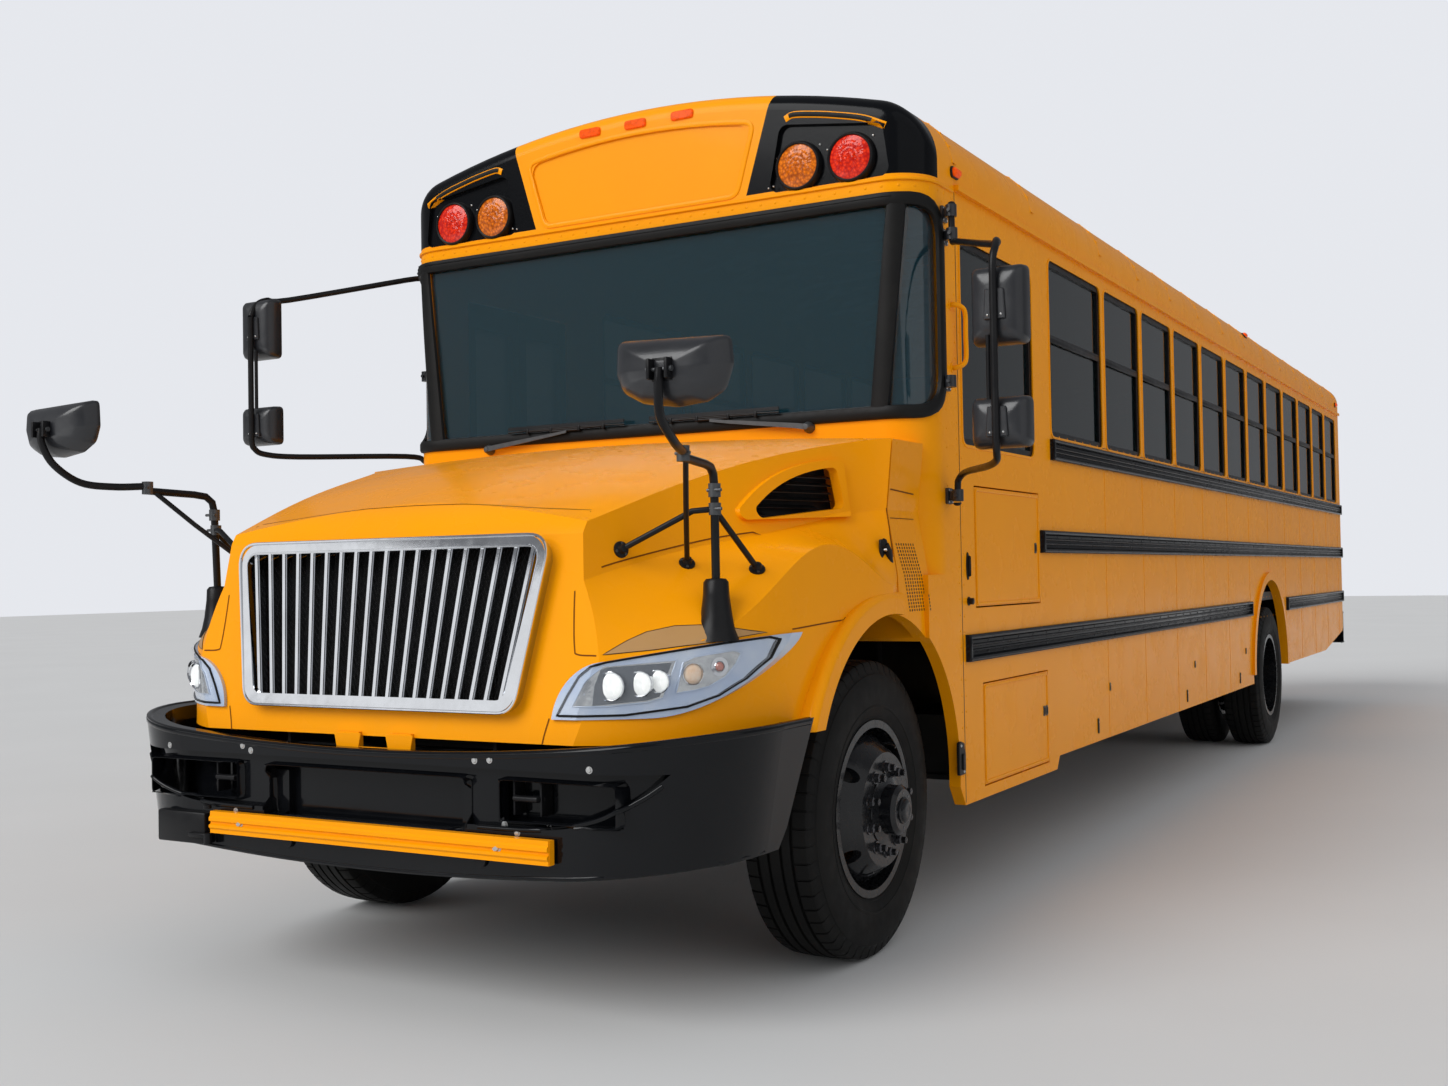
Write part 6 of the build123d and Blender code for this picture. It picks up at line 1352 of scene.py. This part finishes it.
# Grab handles, oval latch, knob, black handle plates, latches of both small doors and of the skirt
PAINT = 1.2185
GRAB = [(1.212, 0.6, 2.312), (1.232, 0.604, 2.312), (1.252, 0.622, 2.306), (1.262, 0.64, 2.282), (1.262, 0.642, 2.2),
        (1.262, 0.642, 2.112), (1.252, 0.63, 2.086), (1.232, 0.614, 2.076), (1.212, 0.61, 2.076)]
HANDLE = rounded([(-0.034, -0.062), (0.03, -0.062), (0.034, 0.02), (0.022, 0.034), (0.022, 0.056), (-0.012, 0.064),
                  (-0.034, 0.06)], 0.009, 3)
grab, grips, grip_screws = shapes(3)
for side in SIDES:
    grab.tube(placed(smooth_path(GRAB, 5), side), 0.0095, 12)
    for s, z in ((0.6, 2.312), (0.61, 2.076)):
        grab.lathe(spot(PAINT, s, z, side), (side, 0, 0), [(0, 0.02), (0.003, 0.019), (0.004, 0.01)], 18)
oval = circle(0.011, 0.05, 28)
grips.plate(spot(PAINT, 0.725, 1.33), Y, Z, [(a * 1.35, b * 1.06) for a, b in oval], 0.005, 0.002)
grips.plate(spot(PAINT + 0.005, 0.725, 1.33), Y, Z, [(a * 0.6, b * 0.8) for a, b in oval], 0.01, 0.004)
grips.lathe(spot(PAINT, 0.73, 1.196), X, [(0, 0.017), (0.004, 0.017), (0.006, 0.012), (0.02, 0.013), (0.022, 0.009),
                                            (0.022, 0.0)], 18)
for side in SIDES:
    grips.plate(spot(PAINT, 0.61, 0.612, side), (0, side, 0), Z, mirrored(HANDLE, side), 0.011, 0.003)
    grips.plate(spot(1.2295, 0.615, 0.603, side), (0, side, 0), Z,
                rectangle((-0.012, 0.012), (-0.034, 0.026), 0.006, 3), 0.006, 0.002)
    for s, z in ((0.596, 0.66), (0.622, 0.562)):
        grip_screws.dome(spot(1.2295, s, z, side), (side, 0, 0), 0.006, 0.004)
for body, places in (("electrical", ((1.545, 1.405),)), ("battery", ((1.62, 0.702), (1.655, 0.702)))):
    latch_plates, levers = shapes(2)
    for s, z in places:
        latch_plates.plate(spot(1.2186, s, z), Y, Z, oblong(0.011, 0.022, 0.004, 3), 0.004, 0.0015)
        levers.plate(spot(1.222, s, z), Y, Z, oblong(0.006, 0.015, 0.002, 2), 0.003, 0.001)
    latch_plates.piece(body + "_latch_plates", dull_steel, body, "exhaust_steel", 30)
    levers.piece(body + "_latch_levers", black_satin, body, "black_paint", 30)
for side in SIDES:
    for s in (2.44, 4.3, 5.86):
        for shift, z, tall in ((0.0, 0.56, 0.036), (0.215, 0.732, 0.02)):
            grips.plate(spot(1.2186, s + shift, z, side), (0, side, 0), Z, oblong(0.009, tall, 0.006, 3), 0.006, 0.002)
            grip_screws.dome(spot(1.224, s + shift, z + tall * 0.5, side), (side, 0, 0), 0.004, 0.003)
grab.piece("grab_handles", yellow, "body", "yellow_paint", 40)
grips.piece("latches_and_grips", black_satin, "body", "black_paint", 30)
grip_screws.piece("grip_screws", alloy, "body", "exhaust_steel", 50)

# Rolled beads round the two small doors
for body, (s0, z0), (s1, z1) in (("electrical", (0.816, 1.174), (1.598, 1.636)),
                                 ("battery", (0.876, 0.48), (1.676, 0.87))):
    door_bead = Shape()
    moulding(door_bead, rectangle((at(s0 + 0.01), at(s1 - 0.01)), (z0 + 0.01, z1 - 0.01), 0.016, 4), 0.013, 0.0042,
             flank(1), step=0.06)
    door_bead.piece(body + "_door_bead", yellow, body, "yellow_paint")

# Rub rails: rolled black steel with ribs, one length for each run
RIBS = [
    # share of the rail's height, share of how proud it stands
    (0.0, -0.1), (0.0, 0.7), (0.03, 0.9), (0.09, 1.0), (0.16, 0.94), (0.2, 0.55), (0.23, 0.34), (0.34, 0.3),
    (0.365, 0.62), (0.4, 0.74), (0.435, 0.62), (0.46, 0.3), (0.54, 0.3), (0.565, 0.62), (0.6, 0.74), (0.635, 0.62),
    (0.66, 0.3), (0.77, 0.34), (0.8, 0.55), (0.84, 0.94), (0.91, 1.0), (0.97, 0.9), (1.0, 0.7), (1.0, -0.1),
]
RAIL_PROUD = 0.0225
RAIL_END = 10.85
rails, rail_heads = shapes(2)
for side in SIDES:
    for low, high, starts in RAIL_RUNS:
        first = starts[SIDES.index(side)]
        runs = [(first, RAIL_END)]
        if low < 1.1:
            runs = [(first, REAR_AXLE - ARCH_REACH), (REAR_AXLE + ARCH_REACH, RAIL_END)]
        for s0, s1 in runs:
            ends = ((s0, 0.0), (s0 + 0.002, 0.7), (s0 + 0.008, 1.0), (s1 - 0.008, 1.0), (s1 - 0.002, 0.7), (s1, 0.0))
            rails.sheet([[spot(HALF + h * RAIL_PROUD * share, s, low + (high - low) * z, side) for z, h in RIBS]
                         for s, share in ends])
            for s in (s0 + 0.004, s1 - 0.024):
                rails.block((HALF, HALF + 0.0215), (s, s + 0.02), (low + 0.003, high - 0.003), 0.005, side)
            for s in run(s0 + 0.045, s1 - 0.045, 0.182):
                for z in (0.285, 0.715):
                    rail_heads.lathe(spot(HALF + 0.31 * RAIL_PROUD, s, low + (high - low) * z, side), (side, 0, 0),
                                     [(0, 0.0045), (0.002, 0.0035), (0.0026, 0)], 7)
rails.piece("ribbed_rails", rail_black, "body", "black_paint", 30, "rub_rails")
rail_heads.piece("rail_rivets", rail_black, "body", "black_paint", 50)

# Warning lamps: a lens with radial facets in a black bezel, with small bright screws round the upper ones
amber_domes, red_domes, bezels, lamp_screws, brow_lips, brow_slots, cap_bead, markers, marker_bases = shapes(9)
BEZEL = [(-0.022, 0.097), (-0.012, 0.096), (0.001, 0.092), (0.005, 0.0895), (0.006, 0.0865), (0.004, 0.0825),
         (-0.002, 0.0805)]
LENS_RADIUS = 0.081
LENS_HEIGHT = 0.014
SPOKES = 72
STEPS = 14
WARNING_LAMPS = [
    # lens, x, station, height, the way it faces
    (amber_domes, 0.725, 0.326, 2.85, -1), (red_domes, 0.943, 0.326, 2.85, -1),
    (amber_domes, 0.725, 11.034, 2.7, 1), (red_domes, 0.943, 11.034, 2.7, 1), (red_domes, 0.96, 11.034, 1.25, 1),
]


def faceted(shape, centre, way):
    """A shallow dome of small raised and sunk facets that run out from its middle."""
    axis = Vector((0, way, 0))
    u = axis.orthogonal().normalized()
    v = axis.cross(u)
    rings = []
    for i in range(SPOKES + 1):
        turn = 2 * math.pi * i / SPOKES
        ring = []
        for j in range(STEPS + 1):
            rough = noise.noise(Vector((i % SPOKES * 0.9, j * 1.7, centre.x * 9))) + (0.6 if (i + j // 3) % 2 else -0.6)
            out = LENS_HEIGHT * (1 - (1 - j / STEPS) ** 2.4) + 0.0016 * rough * math.sin(math.pi * j / STEPS)
            ring.append(centre + axis * out
                        + (u * math.cos(turn) + v * math.sin(turn)) * LENS_RADIUS * (1 - j / STEPS))
        rings.append(ring)
    shape.sheet(rings)


for side in SIDES:
    for shape, x, station, z, way in WARNING_LAMPS:
        centre = spot(x, station, z, side)
        faceted(shape, centre, way)
        bezels.lathe(centre, (0, way, 0), BEZEL, 48)
        for a in map(math.radians, (40, 155, 275) if z > 2.0 else ()):
            foot = (side * x + 0.112 * math.cos(a), at(station) - way * 0.023, z + 0.112 * math.sin(a))
            lamp_screws.dome(foot, (0, way, 0), 0.005, 0.004, 10)
    for x, z in ((0.6, 2.782), (0.622, 2.786)):
        lamp_screws.dome(spot(x, 0.329, z, side), FRONT, 0.004, 0.004, 10)
amber_domes.piece("amber_lenses", amber_lens, "body", "amber_lens", 20)
red_domes.piece("red_lenses", red_lens, "body", "red_lens", 20)
bezels.piece("lamp_bezels", black_satin, "body", "rubber", 40)
lamp_screws.piece("lamp_screws", alloy, "body", "exhaust_steel", 50)

# The cap's brow slots: an orange lip round a black opening over each pair of lamps
BROW = [(0.675, 3.035), (0.71, 3.046), (0.79, 3.035), (0.875, 3.018), (0.994, 2.987), (1.085, 2.946)]
place = seen_on(skin("front_cap"), 0.36)
for side in SIDES:
    line = mirrored(smooth_path(BROW, 5), side)
    moulding(brow_lips, line, 0.027, 0.0035, place, closed=False, step=0.03)
    moulding(brow_slots, line[3:-3], 0.02, 0.0055, place, closed=False, step=0.03)
brow_lips.piece("brow_lips", yellow, "body", "yellow_paint")
brow_slots.piece("brow_slots", rubber, "body", "black_paint")

# A soft bead round the panel in the middle of the cap
ARCH = [(0.5395 * k / 6, 3.092 - 0.045 * (k / 6) ** 2) for k in range(6, -7, -1)]
moulding(cap_bead, rounded([(-0.459, 2.772), (0.459, 2.772)] + ARCH, [0.05] * 3 + [0.0] * 11 + [0.05]), 0.02, 0.0045,
         place, step=0.03)
cap_bead.piece("cap_panel_bead", cap_yellow, "body", "yellow_paint")

# Marker lamps: small ribbed lenses on bases, on the cap's brow, at its corners and on the roof's edge
marker_lens = lens("marker_lens", (0.6, 0.06, 0.002), (0.98, 0.1, 0.004), 0.08, 0.25)
for side in SIDES:
    for s, z, x in ((0.665, 2.824, 1.215), (6.52, 2.973, 1.15), (10.7, 2.85, 1.205)):
        p, n = from_side(roof_skin, side, s, z, 0.0, x)
        along = Vector(Y) * side
        marker_bases.plate(p - n * 0.002, along, n.cross(along), oblong(0.04, 0.022, 0.02), 0.01, 0.003)
        markers.plate(p + n * 0.006, along, n.cross(along), oblong(0.034, 0.017, 0.016), 0.017, 0.009)
cap_lamp_skin = skin("amber_lamps")
for x in (-0.22, 0.0, 0.22):
    p, _ = from_front(cap_lamp_skin, x, 3.128)
    markers.plate(p + Vector((0, 0.008, 0)), X, Z, oblong(0.051, 0.018, 0.014), 0.013, 0.004)
markers.piece("marker_lenses", marker_lens, "body", "amber_lens", 30)
marker_bases.piece("marker_bases", black_satin, "body", "rubber")

# Wheels: domed nuts on washers, hub caps with small bolts, a valve on each
nut_metal = surface("nut_metal", (0.1, 0.1, 0.11), (0.03, 0.03, 0.03), 0.2, metallic=0.8, coat=0.2, scale=60.0,
                    amount=0.9, grain=300)
NUT_CIRCLE = 0.142875
HUB_CAP = [(0, 0.046), (0.008, 0.045), (0.01, 0.04), (0.016, 0.038), (0.02, 0.031), (0.022, 0.016), (0.021, 0.014),
           (0.023, 0.0)]
HUB_RING = [(0, 0.1225), (0.003, 0.1215), (0.004, 0.112), (0.01, 0.092), (0.012, 0.085)]


def on_wheel(side, face, station):
    """A place function of radius, angle and the way out from the wheel's face."""
    return lambda radius, turn, out: Vector((side * (face + out), at(station) + radius * math.cos(turn),
                                             AXLE_HEIGHT + radius * math.sin(turn)))


for end, station, face, hub, bolt_circle, bolt_foot, valve in (("front", 0.0, 1.181, 0.066, 0.058, 0.006, -0.055),
                                                               ("rear", REAR_AXLE, 0.934, 0.136, 0.086, 0.008, -0.002)):
    for word, side in (("left", 1), ("right", -1)):
        nuts, hubs = shapes(2)
        axis = Vector((side, 0, 0))
        rim = on_wheel(side, face, station)
        for k in range(10):
            nuts.nut(rim(NUT_CIRCLE, 2 * math.pi * (k + 0.5) / 10, 0.0), axis, 0.0165, 0.022, 0.02)
        for k in range(8):
            nuts.nut(rim(bolt_circle, 2 * math.pi * k / 8, hub - bolt_foot), axis, 0.0065, 0.007)
        hubs.lathe(rim(0, 0, hub - 0.004), axis, HUB_CAP, 32)
        hubs.lathe(rim(0, 0, 0.001), axis, HUB_RING, 40)
        for turn in (1.1, 1.1 + math.pi):
            foot = rim(0.234, turn, valve)
            bent = Vector((0, -0.012 * math.cos(turn), -0.012 * math.sin(turn)))
            nuts.tube([foot, foot + axis * 0.03 + Vector((0, 0, 0.002)), foot + axis * 0.052 + bent],
                      [0.005, 0.0045, 0.004], 8)
        nuts.piece(f"wheel_{end}_{word}_nuts", nut_metal, f"wheel_{end}_{word}", "exhaust_steel")
        hubs.piece(f"wheel_{end}_{word}_hub", wheel_steel, f"wheel_{end}_{word}", "black_paint")

# Wipers: a capped pivot, a folded arm and a blade with its rubber
ARM_LINE = [(0.755, -0.026, 1.86), (0.7, -0.026, 1.868), (0.56, -0.027, 1.884), (0.42, -0.028, 1.9),
            (0.34, -0.03, 1.91)]
BLADE = (0.06, 0.64)
BLADE_BARS = [
    # both ends, height, sag, thickness
    (*BLADE, 1.928, 0.006, 0.0035), (0.16, 0.54, 1.922, 0.0, 0.004), (0.28, 0.42, 1.915, 0.0, 0.005),
]
EDGE_SECTION = ((-0.029, 1.93), (-0.023, 1.93), (-0.024, 1.944), (-0.028, 1.944))
wiper_arms, wiper_blades = shapes(2)
for side in SIDES:
    wiper_arms.lathe(spot(0.755, FACE, 1.86, side), FRONT, [(0, 0.024), (0.01, 0.022), (0.02, 0.018), (0.03, 0.015),
                                                            (0.036, 0.01), (0.037, 0.0)], 20)
    rings = []
    for k, (x, y, z) in enumerate(ARM_LINE):
        h, w = 0.011 - 0.0015 * k, 0.007 - 0.0008 * k
        rings.append([(side * x, at(FACE) + y + a, z + b) for a, b in ((-w, -h), (-w, h), (w, h), (w, -h))])
    wiper_arms.sweep(rings)
    for x0, x1, z, sag, thick in BLADE_BARS:
        wiper_blades.tube([Vector((side * x, at(FACE) - 0.026, z - sag * (2 * (x - x0) / (x1 - x0) - 1) ** 2))
                           for x in run(x0, x1, 0.04)], thick, 8)
    for x in (0.16, 0.54, 0.28, 0.42):
        wiper_blades.box((side * x - 0.006, at(FACE) - 0.032, 1.91), (side * x + 0.006, at(FACE) - 0.02, 1.932),
                         0.002)
    wiper_blades.sweep([[(side * x, at(FACE) + y, z) for y, z in EDGE_SECTION] for x in run(*BLADE, 0.06)])
wiper_arms.piece("wiper_arms", dull_steel, "body", "black_paint", instead_of="wipers")
wiper_blades.piece("wiper_blades", black_satin, "body", "rubber", instead_of="wipers")

# Side windows: a pressed yellow edge round each opening, black sash catches on the bar
WINDOW_SPANS = [(1.8, 2.63)] + [(PILLARS[k] + 0.03, PILLARS[k + 1] - 0.03) for k in range(11)]
WINDOW_HEIGHTS = (1.9, 2.7)
window_edges, catches = shapes(2)
for side in SIDES:
    openings = [(span, WINDOW_HEIGHTS) for span in WINDOW_SPANS]
    if side > 0:
        openings.append(((0.7, 1.56), (1.79, 2.59)))
    for (s0, s1), heights in openings:
        moulding(window_edges, rectangle((at(s0), at(s1)), heights, 0.05), 0.012, 0.0035, flank(side), step=0.12)
        if heights == WINDOW_HEIGHTS:
            low, high = heights
            bar = low + (high - low) * 0.56
            for s in (s0 + 0.19, s1 - 0.19):
                catches.block((1.18, 1.168), (s - 0.028, s + 0.028), (bar - 0.012, bar + 0.016), 0.004, side)
            for s in (s0 + 0.034, s1 - 0.04):
                catches.block((1.207, 1.214), (s, s + 0.006), (low + 0.032, bar), 0.002, side)
            catches.block((1.205, 1.2155), (s0 + 0.02, s1 - 0.02), (bar - 0.019, bar + 0.002), 0.003, side)
window_edges.piece("window_edges", yellow, "body", "yellow_paint")
catches.piece("sash_details", black_satin, "body", "black_paint")

# Rear end: rubber round windows and door, hinges, handle, rivets, ribs, reflectors
BACK = 11.01


def rear_place(x, z, out=0.0):
    return Vector((x, at(BACK) + out, z))


def rear_places(rows):
    return [rear_place(*row) for row in rows]


rear_rubber, rear_door_rubber, rear_yellow, door_handle, door_studs, rear_studs, reflectors = shapes(7)
for side in SIDES:
    pane = rectangle(sorted((side * 0.6, side * 1.06)), (1.9, 2.54), 0.06)
    moulding(rear_rubber, pane, 0.036, 0.012, rear_place, step=0.1)
for heights in ((1.1, 1.56), (1.78, 2.46)):
    moulding(rear_door_rubber, rectangle((-0.36, 0.36), heights, 0.05), 0.034, 0.012, rear_place, step=0.1)
moulding(rear_rubber, rectangle((-0.496, 0.496), (0.944, 2.576), 0.04, 4), 0.014, 0.008, rear_place, step=0.1)
for z in (1.06, 1.68, 2.5):
    # hinge leaves on the door's left edge, and their barrels
    door_handle.plate(rear_place(-0.446, z, 0.0005), (-1, 0, 0), Z, oblong(0.024, 0.03, 0.006, 3), 0.005, 0.002)
    rear_yellow.tube(rear_places([(-0.4885, z - 0.032, 0.009), (-0.4885, z + 0.032, 0.009)]), 0.0075, 12)
    for a, b in ((0.012, 0.017), (0.012, -0.017), (-0.01, 0.0)):
        door_studs.dome(rear_place(-0.446 + a, z + b, 0.005), Y, 0.005, 0.003, 10)
door_handle.plate(rear_place(0.405, 1.665, 0.0005), (-1, 0, 0), Z, oblong(0.03, 0.055, 0.01, 4), 0.008, 0.003)
door_handle.lathe(rear_place(0.405, 1.665, 0.008), Y, [(0, 0.02), (0.018, 0.017), (0.02, 0.0)], 20)
door_handle.tube(smooth_path(rear_places([(0.405, 1.665, 0.022), (0.375, 1.662, 0.034), (0.33, 1.652, 0.034),
                                          (0.262, 1.64, 0.03)]), 5), [0.011] * 6 + [0.01] * 5 + [0.009] * 5, 12)
for x, z in ((0.383, 1.71), (0.427, 1.71), (0.383, 1.62), (0.427, 1.62)):
    door_studs.dome(rear_place(x, z, 0.0085), Y, 0.005, 0.003, 10)
for x, low, high, step in ((0.545, 0.98, 2.62, 0.075), (1.03, 0.9, 1.15, 0.062)):
    for side in SIDES:
        rivets(rear_studs, rear_place, column(side * x, low, high, step), 0.005)
for half, z in ((1.0, 0.915), (0.96, 2.845)):
    rivets(rear_studs, rear_place, [(x, z) for x in run(-half, half, 0.08)], 0.005)
for side in SIDES:
    for z in (1.79, 1.42):
        moulding(rear_yellow, [(side * 0.56, z), (side * 1.03, z)], 0.03, 0.006, rear_place, closed=False)
rear_rubber.piece("rear_window_rubber", rubber, "body", "rubber")
rear_door_rubber.piece("rear_door_rubber", rubber, "rear_exit", "rubber")
rear_yellow.piece("rear_ribs", yellow, "body", "yellow_paint")
door_handle.piece("rear_door_handle", black_satin, "rear_exit", "black_paint")
door_studs.piece("rear_door_studs", alloy, "rear_exit", "exhaust_steel", 50)
rear_studs.piece("rear_rivets", yellow, "body", "yellow_paint", 60)

# Rear bumper: rolled edges and bolts, and a reflector at each side above it
rear_bumper_edges, rear_bolts, apron = shapes(3)
REAR_LINE = both_ways([(-1.2, 10.905), (-1.195, 11.02), (-1.14, 11.059), (-0.6, 11.0605), (0, 11.0605)])
for z in (0.566, 0.854):
    rear_bumper_edges.tube(smooth_path([spot(x, s, z) for x, s in REAR_LINE]), 0.006, 8)
for side in SIDES:
    for x in (0.34, 0.42):
        for z in (0.64, 0.78):
            rear_bolts.nut(spot(x, 11.0595, z, side), Y, 0.011, 0.009, 0.004)
    reflectors.lathe(rear_place(side * 0.96, 1.045, -0.001), Y, [(0, 0.04), (0.006, 0.04), (0.008, 0.036),
                                                                  (0.007, 0.0)], 28)
rear_bumper_edges.piece("rear_bumper_edges", black_paint, "body", "black_paint")
rear_bolts.piece("rear_bumper_bolts", dull_steel, "body", "exhaust_steel")
reflectors.piece("reflectors", red_lens, "body", "red_lens")

# A dark apron under the floor's end, which shows when the exit door stands open
apron.box((-0.56, 6.158, 0.93), (0.56, 6.172, 1.062), 0.004)
apron.piece("floor_end_apron", black_satin, "body", "black_paint")

# Roof hatches: ribs on the lid and the barrels of its hinge
HATCH_TOP = 3.276


def on_hatch(station):
    return lambda x, y, out=0.0: Vector((x, at(station) + y, HATCH_TOP + out))


for name, station in (("front", 3.7), ("rear", 8.8)):
    lid, hatch_metal = shapes(2)
    for half, proud in ((0.335, 0.006), (0.275, 0.008)):
        moulding(lid, oblong(half, half, 0.05), 0.026, proud, on_hatch(station), step=0.1)
    for x in (-0.16, 0.0, 0.16):
        moulding(lid, [(x, -0.24), (x, 0.24)], 0.034, 0.007, on_hatch(station), closed=False, step=0.1)
    lid.piece("hatch_ribs_" + name, hatch_white, "hatch_" + name, "hatch_plastic", 40)
    for x in (-0.22, 0.22):
        hatch_metal.tube([(x + end, at(station) - 0.37, 3.226) for end in (-0.032, 0.032)], 0.01, 14)
    hatch_metal.piece("hatch_hinges_" + name, dull_steel, "hatch_" + name, "exhaust_steel")

# Entrance doors: a rubber edge on each leaf, gaskets round the panes, hinge barrels
for name, first, last, edge, hinge in (("front", 0.71, 1.087, 1.087 - 0.008, 0.71 + 0.012),
                                       ("rear", 1.093, 1.47, 1.093 + 0.008, 1.47 - 0.012)):
    leaf_rubber, leaf_metal = shapes(2)
    for heights in ((0.62, 1.5), (1.6, 2.48)):
        moulding(leaf_rubber, rectangle((at(first + 0.05), at(last - 0.05)), heights, 0.035), 0.026, 0.007, flank(-1),
                 step=0.1)
    moulding(leaf_rubber, [(at(edge), 0.47), (at(edge), 2.585)], 0.014, 0.008, flank(-1), closed=False, step=0.2)
    for z in (0.62, 1.1, 1.55, 2.0, 2.45):
        leaf_metal.tube([spot(1.2215, hinge, z + end, -1) for end in (-0.035, 0.035)], 0.006, 10)
    leaf_rubber.piece("entrance_rubber_" + name, rubber, "door_" + name, "rubber")
    leaf_metal.piece("entrance_hinges_" + name, black_satin, "door_" + name, "black_paint")

# Stage: a pale floor
FLOOR = 60.0
floor_material, floor_tree, floor_shader = new_material("floor", Roughness=0.75)
feed(floor_tree, floor_shader.inputs["Base Color"],
     blend_colours(floor_tree, noise_of(floor_tree, 0.6, 4.0), (0.62, 0.62, 0.61), (0.67, 0.67, 0.66)))
floor_mesh = bpy.data.meshes.new("stage_floor")
floor_mesh.from_pydata([(-FLOOR, -FLOOR, 0), (FLOOR, -FLOOR, 0), (FLOOR, FLOOR, 0), (-FLOOR, FLOOR, 0)], [],
                       [(0, 1, 2, 3)])
floor_mesh.materials.append(floor_material)
stage_floor = bpy.data.objects.new("stage_floor", floor_mesh)
scene.collection.objects.link(stage_floor)

# The sky looks brighter to the camera and darker in reflections than it lights
world = bpy.data.worlds.new("world")
scene.world = world
world.use_nodes = True
sky = world.node_tree
background = sky.nodes["Background"]
background.inputs["Color"].default_value = (0.93, 0.95, 1.0, 1.0)
rays = add_node(sky, "ShaderNodeLightPath")
seen = maths(sky, "MULTIPLY_ADD", rays.outputs["Is Camera Ray"], 0.3, 0.55)
feed(sky, background.inputs["Strength"], maths(sky, "MULTIPLY_ADD", rays.outputs["Is Glossy Ray"], -0.33, seen))


def place_light(name, kind, place, target, power, **settings):
    data = bpy.data.lights.new(name, kind)
    data.energy = power
    for key, value in settings.items():
        setattr(data, key, value)
    o = bpy.data.objects.new(name, data)
    o.location = place
    o.rotation_euler = (Vector(target) - Vector(place)).to_track_quat("-Z", "Y").to_euler()
    scene.collection.objects.link(o)
    return o


# Two very soft lights at a great distance, so that the floor is lit evenly
place_light("key", "SUN", (-6, -17, 12), (0, -3, 1.2), 1.95, angle=math.radians(40))
place_light("fill", "SUN", (12, -6, 7), (1, -1, 1.2), 0.35, angle=math.radians(70))
# A small card that the chrome of the grille reflects
card = place_light("card", "AREA", (-2.0, -8.2, 1.7), (0, -6.0, 1.15), 5, shape="RECTANGLE", size=2.3, size_y=0.92)
card.visible_camera = False
